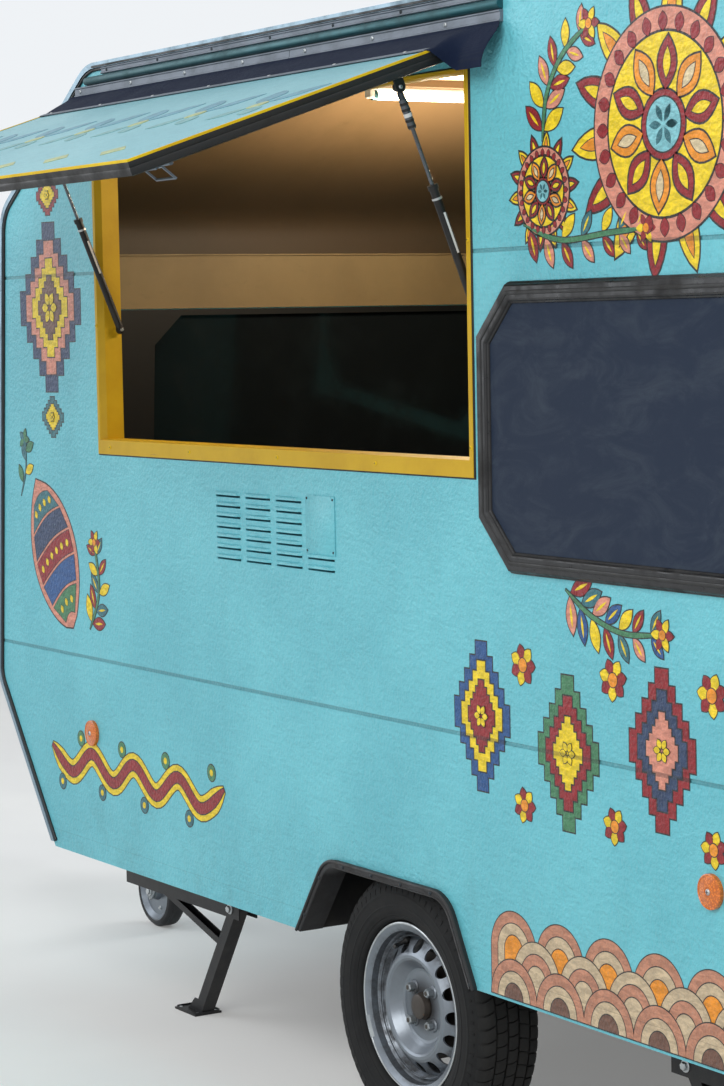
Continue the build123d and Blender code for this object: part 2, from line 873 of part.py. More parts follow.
# Entrance door with its hinges
door_hinge_x = door_front_x
door_hinge_y = half_width + door_hinge_proud
with BuildPart() as entrance_door:
    with BuildSketch(side_plane(door_side)):
        with Locations(door_middle):
            RectangleRounded(
                door_width - 2 * door_edge_gap, door_height - 2 * door_edge_gap,
                door_corner_radius - door_edge_gap,
            )
    extrude(amount=wall)
    with BuildSketch(side_plane(door_side)):
        add(groove_bands())
    extrude(amount=door_side * groove_depth, mode=Mode.SUBTRACT)
    for z in door_hinge_z:
        with BuildSketch(Plane.XY.offset(z)):
            with Locations(
                (door_hinge_x + door_leaf_reach / 2, half_width + door_leaf_thickness / 2)
            ):
                Rectangle(door_leaf_reach, door_leaf_thickness)
            with Locations(
                (door_hinge_x + door_leaf_step / 2, half_width + door_hinge_proud / 2)
            ):
                Rectangle(door_leaf_step, door_hinge_proud)
            with Locations((door_hinge_x, door_hinge_y)):
                Circle(door_hinge_barrel_radius)
            with Locations((door_hinge_x, door_hinge_y)):
                Circle(door_hinge_pin_radius + running_gap, mode=Mode.SUBTRACT)
        extrude(amount=door_hinge_length)
keep(entrance_door.part, "entrance_door")

with BuildPart() as door_hinge_pins:
    knuckle_step = door_fixed_knuckle + door_knuckle_gap
    for z in door_hinge_z:
        for low_z in (z - knuckle_step, z + door_hinge_length + door_knuckle_gap):
            with BuildSketch(Plane.XY.offset(low_z)):
                with Locations((door_hinge_x, door_hinge_y)):
                    Circle(door_hinge_barrel_radius)
                with Locations(
                    (
                        door_hinge_x - door_fixed_leaf_reach / 2,
                        half_width + door_leaf_thickness / 2,
                    )
                ):
                    Rectangle(door_fixed_leaf_reach, door_leaf_thickness)
                with Locations(
                    (door_hinge_x - door_leaf_thickness, half_width + door_hinge_proud / 2)
                ):
                    Rectangle(2 * door_leaf_thickness, door_hinge_proud)
            extrude(amount=door_fixed_knuckle)
        with BuildSketch(Plane.XY.offset(z - knuckle_step)):
            with Locations((door_hinge_x, door_hinge_y)):
                Circle(door_hinge_pin_radius)
        extrude(amount=door_hinge_length + 2 * knuckle_step)
keep(door_hinge_pins.part, "door_hinge_pins")

with BuildPart() as door_handle:
    plate_depth_y = door_handle_plate[1]
    with Locations((door_handle_x, half_width + plate_depth_y / 2, door_handle_z)):
        Box(*door_handle_plate)
    grip_y = half_width + plate_depth_y + door_handle_grip[1] / 2
    with Locations((door_handle_x, grip_y, door_handle_z)):
        Box(*door_handle_grip)
keep(door_handle.part, "door_handle")

# Lamps, reflectors and the blank plate
reflector_reach = nose_half_length - reflector_set_back
with BuildPart() as reflectors:
    for side in (serving_side, door_side):
        for end in (front, rear):
            with BuildSketch(side_plane(side)):
                with Locations((body_middle_x + end * reflector_reach, reflector_z)):
                    Circle(reflector_radius)
            extrude(amount=-side * reflector_height)
keep(reflectors.part, "reflectors")

with BuildPart() as tail_lamps:
    for side in (serving_side, door_side):
        with BuildSketch(skirt_plane(rear, lamp_row_z)):
            with Locations((side * tail_lamp_y, 0)):
                Rectangle(tail_lamp_length, tail_lamp_height)
        extrude(amount=tail_lamp_depth)
keep(tail_lamps.part, "tail_lamps")

with BuildPart() as blank_plate:
    with BuildSketch(skirt_plane(rear, lamp_row_z)):
        Rectangle(plate_length, plate_height)
    extrude(amount=plate_depth)
keep(blank_plate.part, "blank_plate")

with BuildPart() as roof_light:
    with BuildSketch(Plane.XY.offset(roof_z)):
        with Locations((roof_light_x, 0)):
            RectangleRounded(roof_light_size, roof_light_size, roof_light_corner)
    extrude(amount=roof_light_height, taper=roof_light_taper)
keep(roof_light.part, "roof_light")

# Counter and ceiling lamps
with BuildPart() as counter:
    counter_y = -inner_half_width
    with BuildSketch(Plane.XY.offset(counter_z - counter_thickness)):
        with Locations((counter_front_x + counter_length / 2, counter_y + counter_depth / 2)):
            Rectangle(counter_length, counter_depth)
    extrude(amount=counter_thickness)
    for x in counter_bracket_x:
        with BuildSketch(Plane.YZ.offset(x)):
            with BuildLine():
                under_z = counter_z - counter_thickness
                Polyline(
                    (counter_y, under_z),
                    (counter_y + counter_depth - counter_bracket_tip, under_z),
                    (counter_y + counter_bracket_foot, under_z - counter_bracket_drop),
                    (counter_y, under_z - counter_bracket_drop),
                    close=True,
                )
            make_face()
        extrude(amount=counter_bracket_thickness)
keep(counter.part, "counter")

with BuildPart() as ceiling_lamps:
    for x, y in lamp_places:
        with Locations((x, y, ceiling_z)):
            Box(
                lamp_width, lamp_length, lamp_base_height,
                align=(Align.CENTER, Align.CENTER, Align.MAX),
            )
        with BuildSketch(Plane.XZ.offset(-y - lamp_length / 2)):
            with Locations((x, ceiling_z - lamp_height + lamp_tube_radius)):
                Circle(lamp_tube_radius)
        extrude(amount=lamp_length)
        for end in (-1, 1):
            with Locations((x, y + end * (lamp_length - lamp_holder[1]) / 2, ceiling_z)):
                Box(
                    *lamp_holder, lamp_height,
                    align=(Align.CENTER, Align.CENTER, Align.MAX),
                )
keep(ceiling_lamps.part, "ceiling_lamps")


def rail_band(side, width, start=0):
    """Plan view of one bent rail, from start to width inside its outer edge."""
    points = []
    for depth in (start, width):
        edge = [
            (rail_rear_x, rail_outer_y - depth),
            (rail_bend_x + depth * tan(rail_turn / 2), rail_outer_y - depth),
            (rail_tip_x + depth * sin(rail_turn), rail_tip_y - depth * cos(rail_turn)),
        ]
        points += edge if depth == start else edge[::-1]
    with BuildSketch() as band:
        with BuildLine():
            Polyline(*[(x, side * y) for x, y in points], close=True)
        make_face()
    return band.sketch


# Chassis rails: channels open towards the middle
with BuildPart() as chassis_rails:
    for side in (serving_side, door_side):
        with BuildSketch(Plane.XY.offset(rail_bottom_z)):
            add(rail_band(side, rail_flange))
        extrude(amount=rail_height)
        with BuildSketch(Plane.XY.offset(rail_bottom_z + rail_metal)):
            add(rail_band(side, 2 * rail_flange, rail_metal))
        extrude(amount=rail_height - 2 * rail_metal, mode=Mode.SUBTRACT)
keep(chassis_rails.part, "chassis_rails")

with BuildPart() as cross_members:
    span = 2 * (rail_outer_y - rail_metal)
    for x in cross_member_x:
        with BuildSketch(Plane.XZ.offset(-span / 2)):
            top = bottom_z - rail_metal
            add(slab((x, x + cross_member_width), (top - cross_member_height, top)))
            add(
                slab(
                    (x + rail_metal, x + 2 * cross_member_width),
                    (top - cross_member_height + rail_metal, top - rail_metal),
                ),
                mode=Mode.SUBTRACT,
            )
        extrude(amount=span)
keep(cross_members.part, "cross_members")


def wheel_plane(side):
    """Plane through the axle of one road wheel: local x outwards, local y up."""
    return Plane(
        origin=(0, side * wheel_y, wheel_z), x_dir=(0, side, 0), z_dir=(side, 0, 0),
    )


def wheel_face(side, out):
    """Plane square to one road wheel's axle, out from the rim's middle, normal outwards."""
    return Plane(
        origin=(0, side * (wheel_y + out), wheel_z), x_dir=(1, 0, 0), z_dir=(0, side, 0),
    )


# Axle tube with its brackets under the rails
with BuildPart() as axle_tube:
    tube_half = wheel_y + arm_out - arm_thickness
    with BuildSketch(Plane.XZ.offset(-tube_half)):
        with Locations((axle_tube_x, axle_tube_z)):
            Circle(axle_tube_radius)
    extrude(amount=2 * tube_half)
    for side in (serving_side, door_side):
        bracket_y = side * (rail_outer_y - rail_flange / 2)
        bracket_z = (axle_tube_z + rail_bottom_z) / 2
        with Locations((axle_tube_x, bracket_y, bracket_z)):
            Box(axle_bracket_length, rail_flange, rail_bottom_z - axle_tube_z)
keep(axle_tube.part, "axle_tube")

# Trailing arms with brake backplate and stub
with BuildPart() as swing_arms:
    for side in (serving_side, door_side):
        inner_face = wheel_face(side, arm_out - arm_thickness)
        drop = (axle_tube_z - wheel_z) * inner_face.y_dir.Z
        with BuildSketch(inner_face):
            with BuildLine():
                Polyline(
                    (axle_tube_x, drop + arm_radius_tube),
                    (0, arm_radius_stub),
                    (0, -arm_radius_stub),
                    (axle_tube_x, drop - arm_radius_tube),
                    close=True,
                )
            make_face()
            with Locations((axle_tube_x, drop)):
                Circle(arm_radius_tube)
            Circle(arm_radius_stub)
        extrude(amount=arm_thickness)
        with BuildSketch(wheel_face(side, arm_out)):
            Circle(arm_radius_stub)
        extrude(amount=backplate_out - arm_out)
        with BuildSketch(wheel_face(side, backplate_out)):
            Circle(backplate_radius)
        extrude(amount=-backplate_thickness)
        with BuildSketch(wheel_face(side, backplate_out)):
            Circle(stub_radius)
        extrude(amount=disc_face - rim_metal - stub_end_back - backplate_out)
keep(swing_arms.part, "swing_arms")

# Road wheels
barrel = (                   # out, radius of the tyre side of the rim
    (rim_half_width, rim_flange_radius),
    (rim_half_width - 6, rim_flange_radius),
    (rim_half_width - 10, rim_seat_radius + 2),
    (rim_half_width - 24, rim_seat_radius),
    (24, rim_well_radius),
    (-16, rim_well_radius),
    (-rim_half_width + 24, rim_seat_radius),
    (-rim_half_width + 10, rim_seat_radius + 2),
    (-rim_half_width + 6, rim_flange_radius),
    (-rim_half_width, rim_flange_radius),
)
barrel_inside = (
    (-rim_half_width, rim_flange_radius - rim_metal),
    (-rim_half_width + 7, rim_seat_radius - 2),
    (-rim_half_width + 22, rim_seat_radius - rim_metal),
    (-18, rim_well_radius - rim_metal),
    (26, rim_well_radius - rim_metal),
    (rim_half_width - 22, rim_seat_radius - rim_metal),
    (rim_half_width - 7, rim_seat_radius - 2),
    (rim_half_width, rim_flange_radius - rim_metal),
)
disc = (                     # out, radius of the disc's outer face
    (24, rim_well_radius - rim_metal / 2),
    (29, rim_well_radius - 7),
    (34, 141),
    (disc_ridge - 3, 117),
    (disc_ridge, 111),
    (disc_ridge, 105),
    (disc_ridge - 3, 100),
    (disc_face + 8, 86),
    (disc_face + 2, 80),
    (disc_face, 74),
    (disc_face, hub_bore_radius),
)
tyre_half = (                # out, radius from the bead to the middle of the tread
    (rim_half_width - 24, rim_seat_radius + seat_gap),
    (rim_half_width - 11, rim_seat_radius + 2 + seat_gap),
    (rim_half_width - 11, rim_flange_radius + 2),
    (rim_half_width + 3, rim_flange_radius + 8),
    (tyre_half_width - 2, 220),
    (tyre_half_width, 236),
    (tyre_half_width - 3, 256),
    (tyre_half_width - 12, 277),
    (tyre_half_width - 24, 287),
    (tyre_half_width - 40, tyre_radius - 2),
    (0, tyre_radius),
)
drum_face = disc_face - rim_metal
drum_section = (             # out, radius of the drum, its hub and cap
    (-drum_back, drum_radius),
    (drum_face - 14, drum_radius),
    (drum_face - 6, drum_hub_radius + 4),
    (drum_face, drum_hub_radius),
    (drum_face, hub_bore_radius - 1),
    (drum_face + rim_metal + 2, hub_cap_radius),
    (drum_face + rim_metal + hub_cap_height, hub_cap_radius - 3),
    (drum_face + rim_metal + hub_cap_height, 0),
    (drum_face - 14, 0),
    (drum_face - 14, stub_radius + running_gap),
    (-drum_back + 4, stub_radius + running_gap),
    (-drum_back + 4, 32),
    (drum_face - 24, 40),
    (drum_face - 24, drum_radius - drum_wall),
    (-drum_back, drum_radius - drum_wall),
)
for side, name in ((serving_side, "left"), (door_side, "right")):
    spin = Axis((0, 0, wheel_z), (0, 1, 0))
    with BuildPart() as wheel_rim:
        with BuildSketch(wheel_plane(side)):
            with BuildLine():
                Polyline(*barrel, *barrel_inside, close=True)
            make_face()
            with BuildLine():
                back = [(out - rim_metal, radius) for out, radius in disc]
                Polyline(*disc, *back[::-1], close=True)
            make_face()
        revolve(axis=spin)
        with BuildSketch(wheel_face(side, 0)):
            with PolarLocations(disc_hole_circle, disc_hole_count):
                Circle(disc_hole_radius)
        extrude(amount=disc_ridge + 10, mode=Mode.SUBTRACT)
    keep(wheel_rim.part, f"wheel_rim_{name}")

    with BuildPart() as tyre:
        with BuildSketch(wheel_plane(side)):
            with BuildLine():
                mirrored = [(-out, radius) for out, radius in tyre_half[:-1]]
                Polyline(*tyre_half, *mirrored[::-1], close=True)
            make_face()
        revolve(axis=spin)
    keep(tyre.part, f"tyre_{name}")

    with BuildPart() as drum:
        with BuildSketch(wheel_plane(side)):
            with BuildLine():
                Polyline(*drum_section, close=True)
            make_face()
        revolve(axis=spin)
    keep(drum.part, f"brake_drum_{name}")

# Overrun device, coupling and hand brake
with BuildPart() as overrun:
    with BuildSketch(Plane.XZ.offset(-overrun_half_width)):
        add(slab((overrun_front_x, overrun_rear_x), (bottom_z, bottom_z + overrun_height)))
    extrude(amount=2 * overrun_half_width)
    with BuildSketch(Plane.YZ.offset(overrun_front_x)):
        with Locations((0, overrun_z)):
            Circle(gaiter_radius)
    extrude(amount=-gaiter_length)
keep(overrun.part, "overrun_device")

coupling_rear_x = overrun_front_x - gaiter_length
ball_x = coupling_rear_x - coupling_length + ball_radius + ball_front_cover
with BuildPart() as coupling:
    with BuildSketch(Plane.XZ.offset(-coupling_width / 2)):
        with BuildLine():
            Polyline(
                *[(coupling_rear_x - ahead, overrun_z + rise) for ahead, rise in coupling_profile],
                close=True,
            )
        make_face()
    extrude(amount=coupling_width)
    with BuildSketch(Plane.XY.offset(overrun_z - coupling_height / 2)):
        with Locations((ball_x, 0)):
            Circle(ball_radius + socket_gap)
    extrude(amount=socket_depth, mode=Mode.SUBTRACT)
    with BuildSketch(Plane.XZ.offset(-coupling_grip_width / 2)):
        for reach, rise in (
            (coupling_grip_reach, coupling_grip_height),
            (coupling_grip_post, (coupling_height / 2, coupling_grip_height[1])),
        ):
            add(
                slab(
                    (coupling_rear_x - reach[1], coupling_rear_x - reach[0]),
                    (overrun_z + rise[0], overrun_z + rise[1]),
                )
            )
    extrude(amount=coupling_grip_width)
keep(coupling.part, "coupling_head")

with BuildPart() as handbrake:
    lean = radians(handbrake_lean)
    pivot_x = overrun_rear_x - handbrake_pivot_back
    middle = handbrake_pivot_share * handbrake_length
    handbrake_plane = Plane(
        origin=(
            pivot_x - middle * cos(lean), overrun_half_width, overrun_z + middle * sin(lean),
        ),
        x_dir=(-cos(lean), 0, sin(lean)), z_dir=(0, 1, 0),
    )
    with BuildSketch(handbrake_plane):
        SlotCenterToCenter(handbrake_length, handbrake_height)
    extrude(amount=handbrake_thickness)
keep(handbrake.part, "handbrake_lever")

# Jockey wheel
with BuildPart() as jockey_clamp:
    with BuildSketch(Plane.XY.offset(jockey_outer_bottom_z)):
        with Locations((jockey_x, jockey_y)):
            Circle(jockey_outer_radius)
    extrude(amount=jockey_outer_top_z - jockey_outer_bottom_z)
    beam_y = -(rail_outer_y - (rail_bend_x - jockey_x) * tan(rail_turn))
    with BuildSketch(Plane.XY.offset(jockey_clamp_z)):
        with Locations((jockey_x, jockey_y)):
            Circle(jockey_outer_radius + jockey_clamp_wall)
        pad = jockey_pad_half_length
        with BuildLine():
            Polyline(
                (jockey_x - pad, beam_y + pad * tan(rail_turn)),
                (jockey_x + pad, beam_y - pad * tan(rail_turn)),
                (jockey_x + pad, jockey_y),
                (jockey_x - pad, jockey_y),
                close=True,
            )
        make_face()
    extrude(amount=jockey_clamp_height)
    with BuildSketch(Plane.XY.offset(jockey_outer_bottom_z)):
        with Locations((jockey_x, jockey_y)):
            Circle(jockey_inner_radius + running_gap)
    extrude(
        amount=jockey_outer_top_z - jockey_outer_bottom_z - jockey_cap_thickness,
        mode=Mode.SUBTRACT,
    )
    crank_z = jockey_outer_top_z + jockey_spindle_height - jockey_crank_metal
    with BuildSketch(Plane.XY.offset(jockey_outer_top_z)):
        with Locations((jockey_x, jockey_y)):
            Circle(jockey_spindle_radius)
    extrude(amount=jockey_spindle_height)
    with BuildSketch(Plane.XY.offset(crank_z)):
        with Locations((jockey_x + (jockey_crank_length - jockey_crank_width) / 2, jockey_y)):
            SlotOverall(jockey_crank_length, jockey_crank_width)
    extrude(amount=jockey_crank_metal)
    with BuildSketch(Plane.XY.offset(crank_z)):
        with Locations((jockey_x + jockey_crank_length - jockey_grip_inset, jockey_y)):
            Circle(jockey_grip_radius)
    extrude(amount=jockey_grip_length)
keep(jockey_clamp.part, "jockey_clamp")

swivel_split_z = jockey_fork_top_z + jockey_swivel_height
with BuildPart() as jockey_tube:
    with BuildSketch(Plane.XY.offset(swivel_split_z)):
        with Locations((jockey_x, jockey_y)):
            Circle(jockey_inner_radius)
    extrude(amount=jockey_inner_top_z - swivel_split_z)
keep(jockey_tube.part, "jockey_inner_tube")

jockey_wheel_x = jockey_x - jockey_trail
with BuildPart() as jockey_fork:
    fork_outer = jockey_wheel_width / 2 + swing_gap + jockey_fork_metal
    with BuildSketch(Plane.XY.offset(jockey_fork_top_z)):
        with Locations((jockey_x, jockey_y)):
            Circle(jockey_inner_radius)
    extrude(amount=jockey_swivel_height - seat_gap)
    with BuildSketch(Plane.XZ.offset(-jockey_y - fork_outer)):
        with BuildLine():
            Polyline(
                *[
                    (jockey_wheel_x + along, jockey_wheel_radius + rise)
                    for along, rise in jockey_fork_outline
                ],
                close=True,
            )
        make_face()
    extrude(amount=2 * fork_outer)
    with Locations((jockey_x, jockey_y, jockey_fork_top_z - jockey_fork_metal)):
        Box(
            4 * jockey_wheel_radius, 2 * (fork_outer - jockey_fork_metal),
            4 * jockey_wheel_radius,
            align=(Align.CENTER, Align.CENTER, Align.MAX), mode=Mode.SUBTRACT,
        )
    with BuildSketch(Plane.XZ.offset(-jockey_y - fork_outer)):
        with Locations((jockey_wheel_x, jockey_wheel_radius)):
            Circle(jockey_axle_radius)
    extrude(amount=2 * fork_outer)
keep(jockey_fork.part, "jockey_fork")

jockey_half = jockey_wheel_width / 2
jockey_rim_section = (       # out, radius of half the rim, from the axle to the tyre's seat
    (0, jockey_axle_radius + running_gap),
    (jockey_half, jockey_axle_radius + running_gap),
    (jockey_half, jockey_hub_radius),
    (jockey_half - jockey_rim_dish, jockey_hub_radius + 4),
    (jockey_half - jockey_rim_dish, jockey_rim_radius - 16),
    (jockey_half - 2, jockey_rim_radius - 4),
    (jockey_half - 2, jockey_rim_radius),
    (0, jockey_rim_radius),
)
jockey_tyre_section = (      # out, radius of half the tyre
    (0, jockey_rim_radius + seat_gap),
    (jockey_half - 1, jockey_rim_radius + seat_gap),
    (jockey_half, jockey_rim_radius + 3),
    (jockey_half - 2, jockey_wheel_radius - 8),
    (jockey_half - 7, jockey_wheel_radius - 3),
    (jockey_half - 15, jockey_wheel_radius),
    (0, jockey_wheel_radius),
)
jockey_sections = (("jockey_rim", jockey_rim_section), ("jockey_tyre", jockey_tyre_section))
jockey_hub = Plane(
    origin=(jockey_wheel_x, jockey_y, jockey_wheel_radius), x_dir=(0, -1, 0), z_dir=(-1, 0, 0),
)
for name, section in jockey_sections:
    with BuildPart() as jockey_piece:
        with BuildSketch(jockey_hub):
            with BuildLine():
                other_half = [(-out, radius) for out, radius in reversed(section)]
                Polyline(*section[1:-1], section[-1], *other_half[1:], close=True)
            make_face()
        revolve(axis=Axis((jockey_wheel_x, jockey_y, jockey_wheel_radius), (0, 1, 0)))
    keep(jockey_piece.part, name)

# Corner steadies
leg_length = hypot(steady_foot_reach, steady_hinge_z)
leg_angle = atan2(steady_hinge_z, steady_foot_reach)
pivot_drop = steady_brace_pivot * sin(leg_angle)
brace_angle = asin(pivot_drop / steady_brace_length)
steady_hinge_half_length = bottom_half_length - steady_hinge_set_back
steady_hinge_x = {front: body_middle_x - steady_hinge_half_length,
                  rear: body_middle_x + steady_hinge_half_length}


def leg_plane(side, end, out=0):
    """Side view plane at one steady; local x towards its end of the trailer, local y up."""
    return Plane(
        origin=(steady_hinge_x[end], side * steady_y - end * out, steady_hinge_z),
        x_dir=(end, 0, 0), z_dir=(0, -end, 0),
    )


with BuildPart() as steady_bases:
    half = steady_base_width / 2
    inner_width = steady_base_width - 2 * steady_metal
    riser_top = bottom_z - steady_hinge_z
    for side in (serving_side, door_side):
        for end in (front, rear):
            with BuildSketch(leg_plane(side, end, -half)):
                add(
                    slab(
                        (-steady_base_inner_reach, steady_base_outer_reach),
                        (-steady_base_below, steady_base_above),
                    )
                )
                for reach in steady_riser_reach:
                    far = reach + steady_riser_length
                    add(slab((reach, far), (steady_base_above, riser_top)))
                    add(
                        slab(
                            (reach + steady_metal, far - steady_metal),
                            (steady_base_above, riser_top - steady_metal),
                        ),
                        mode=Mode.SUBTRACT,
                    )
            extrude(amount=steady_base_width)
            with BuildSketch(leg_plane(side, end, -half + steady_metal)):
                add(
                    slab(
                        (
                            -2 * steady_base_inner_reach,
                            steady_base_outer_reach - steady_metal,
                        ),
                        (-2 * steady_base_below, steady_base_above - steady_metal),
                    )
                )
            extrude(amount=inner_width, mode=Mode.SUBTRACT)
            with BuildSketch(leg_plane(side, end, -half)):
                Circle(steady_pin_radius)
            extrude(amount=steady_base_width)
            spindle_tip = steady_base_outer_reach + steady_spindle_end
            spindle = Plane(
                origin=(
                    steady_hinge_x[end] + end * spindle_tip, side * steady_y, steady_hinge_z,
                ),
                x_dir=(0, 1, 0), z_dir=(end, 0, 0),
            )
            with BuildSketch(spindle):
                Circle(steady_spindle_radius)
            extrude(amount=-steady_spindle_length)
keep(steady_bases.part, "steady_bases")

corner_names = {(serving_side, front): "front_left", (serving_side, rear): "rear_left",
                (door_side, front): "front_right", (door_side, rear): "rear_right"}
foot_low = -steady_hinge_z
foot_middle = steady_foot_reach + steady_foot_offset
foot_top = foot_low + steady_foot_thickness
pivot = (steady_brace_pivot * cos(-leg_angle), steady_brace_pivot * sin(-leg_angle))
along_leg = Location((0, 0, 0), (0, 0, degrees(-leg_angle)))
for (side, end), name in corner_names.items():
    with BuildPart() as steady_leg:
        half = steady_leg_width / 2
        flat = leg_plane(side, end, -half)
        with BuildSketch(flat):
            Circle(steady_leg_depth / 2)
            with Locations(along_leg):
                with Locations((leg_length / 2, 0)):
                    Rectangle(leg_length, steady_leg_depth)
            add(
                slab((0, 2 * foot_middle), (foot_low - steady_leg_depth, foot_low)),
                mode=Mode.SUBTRACT,
            )
        extrude(amount=steady_leg_width)
        with BuildSketch(leg_plane(side, end, -half + steady_metal)):
            with Locations(along_leg):
                with Locations((leg_length / 2, steady_metal)):
                    Rectangle(2 * leg_length, steady_leg_depth)
        extrude(amount=steady_leg_width - 2 * steady_metal, mode=Mode.SUBTRACT)
        with BuildSketch(flat):
            Circle(steady_pin_radius + running_gap)
        extrude(amount=steady_leg_width, mode=Mode.SUBTRACT)
        with BuildSketch(flat):
            with Locations(pivot):
                Circle(steady_pin_radius)
        extrude(amount=steady_leg_width)
        with BuildSketch(leg_plane(side, end, -steady_foot_width / 2)):
            add(
                slab(
                    (
                        foot_middle - steady_foot_length / 2,
                        foot_middle + steady_foot_length / 2,
                    ),
                    (foot_low, foot_top),
                )
            )
        extrude(amount=steady_foot_width)
        with BuildSketch(flat):
            with BuildLine():
                gusset_reach, gusset_rise = steady_gusset
                Polyline(
                    (steady_foot_reach, foot_top),
                    (steady_foot_reach + gusset_reach, foot_top),
                    (steady_foot_reach + gusset_reach / 4, foot_top + gusset_rise),
                    (steady_foot_reach - gusset_reach / 4, foot_top + gusset_rise),
                    close=True,
                )
            make_face()
        extrude(amount=steady_metal)
        with BuildSketch(leg_plane(side, end, half - steady_metal)):
            with BuildLine():
                Polyline(
                    (steady_foot_reach, foot_top),
                    (steady_foot_reach + gusset_reach, foot_top),
                    (steady_foot_reach + gusset_reach / 4, foot_top + gusset_rise),
                    (steady_foot_reach - gusset_reach / 4, foot_top + gusset_rise),
                    close=True,
                )
            make_face()
        extrude(amount=steady_metal)
    keep(steady_leg.part, f"steady_leg_{name}")

    with BuildPart() as steady_brace:
        half = steady_brace_width / 2
        inner_width = steady_brace_width - 2 * steady_metal
        along_brace = Location((pivot[0], pivot[1], 0), (0, 0, degrees(brace_angle)))
        with BuildSketch(leg_plane(side, end, -half)):
            with Locations(along_brace):
                with Locations((steady_brace_length / 2, 0)):
                    SlotCenterToCenter(steady_brace_length, steady_brace_depth)
        extrude(amount=steady_brace_width)
        with BuildSketch(leg_plane(side, end, -half + steady_metal)):
            with Locations(along_brace):
                with Locations((steady_brace_length / 2, steady_metal)):
                    Rectangle(2 * steady_brace_length, steady_brace_depth)
                with Locations((steady_brace_length, 0)):
                    Rectangle(2 * steady_brace_open, 2 * steady_brace_depth)
        extrude(amount=inner_width, mode=Mode.SUBTRACT)
        with BuildSketch(leg_plane(side, end, -half)):
            with Locations(pivot):
                Circle(steady_pin_radius + running_gap)
        extrude(amount=steady_brace_width, mode=Mode.SUBTRACT)
    keep(steady_brace.part, f"steady_brace_{name}")

# The origin goes below the middle of the whole trailer, on the ground
whole = Compound(children=[piece.moved(Location()) for piece in finished]).bounding_box()
shift = Vector(-(whole.min.X + whole.max.X) / 2, -(whole.min.Y + whole.max.Y) / 2, -whole.min.Z)
print("shift", shift)
for piece in finished:
    placed = piece.moved(Location(shift))
    placed.label = piece.label
    export_step(placed, f"parts/{piece.label}.step")
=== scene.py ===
"""Looks of a caravan food trailer: paint, ornament, canvas, seals, screws and tyres.

Everything is in metres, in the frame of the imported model. In the code, places on the
trailer are counted from the road wheel's axle (x), the trailer's middle (y) and the
ground (z); `spot` turns them into the model's frame.
"""

import logging
import math
import random
from collections.abc import Iterable, Sequence
from dataclasses import dataclass, field
from enum import Enum
from typing import ClassVar

import bmesh
import bpy
from mathutils import Matrix, Vector


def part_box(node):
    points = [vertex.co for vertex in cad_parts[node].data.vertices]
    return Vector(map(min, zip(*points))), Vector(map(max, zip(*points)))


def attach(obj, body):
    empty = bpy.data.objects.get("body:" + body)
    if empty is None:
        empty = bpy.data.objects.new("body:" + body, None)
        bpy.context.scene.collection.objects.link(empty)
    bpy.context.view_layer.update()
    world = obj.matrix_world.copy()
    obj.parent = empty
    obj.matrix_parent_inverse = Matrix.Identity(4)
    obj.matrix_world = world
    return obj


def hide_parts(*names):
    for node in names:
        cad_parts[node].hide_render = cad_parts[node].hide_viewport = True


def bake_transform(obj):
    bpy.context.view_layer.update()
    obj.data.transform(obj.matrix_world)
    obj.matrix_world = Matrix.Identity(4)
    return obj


logging.basicConfig(level=logging.INFO, format="%(message)s")
log = logging.getLogger("food_trailer")

Point = tuple[float, float]
Triple = tuple[float, float, float]
Colour = tuple[float, float, float, float]
Socket = bpy.types.NodeSocket
Material = bpy.types.Material
Object = bpy.types.Object

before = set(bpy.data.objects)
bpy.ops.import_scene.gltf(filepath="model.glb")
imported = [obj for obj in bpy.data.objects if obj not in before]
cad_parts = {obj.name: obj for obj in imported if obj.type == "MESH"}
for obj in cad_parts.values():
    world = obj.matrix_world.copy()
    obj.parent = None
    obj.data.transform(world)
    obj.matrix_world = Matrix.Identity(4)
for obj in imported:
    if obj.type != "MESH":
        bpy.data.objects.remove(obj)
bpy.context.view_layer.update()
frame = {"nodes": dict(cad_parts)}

HALF_WIDTH = 1.025
WHEEL_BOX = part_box("wheel_rim_left")
SIDE_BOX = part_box("serving_side_wall")
ORIGIN = Vector(((WHEEL_BOX[0].x + WHEEL_BOX[1].x) / 2, SIDE_BOX[0].y + HALF_WIDTH, 0.0))
GROOVE_Z = (0.912, 1.877)
GROOVE_HEIGHT = 0.008
SEAM_Z = 0.447
PAINT_FILM = 0.0004
AFT = Vector((1, 0, 0))
ASIDE = Vector((0, 1, 0))
UP = Vector((0, 0, 1))
BODY_MIDDLE = -0.165
SKIRT = (1.788, 0.818)
EAVES = (1.696, 2.054)
ROOF_Z = 2.393


def spot(x: float, y: float, z: float) -> Vector:
    """Turn a place counted from the road wheel into the model's frame."""
    return ORIGIN + Vector((x, y, z))


def linear(code: str) -> Colour:
    """Turn a written colour such as #79C4CC into the values that a shader takes.

    Args:
        code: The colour as # and six hexadecimal digits.

    Returns:
        Red, green, blue and an alpha of 1.
    """
    parts = [int(code[i:i + 2], 16) / 255 for i in (1, 3, 5)]
    red, green, blue = (c / 12.92 if c <= 0.04045 else ((c + 0.055) / 1.055) ** 2.4 for c in parts)
    return (red, green, blue, 1.0)


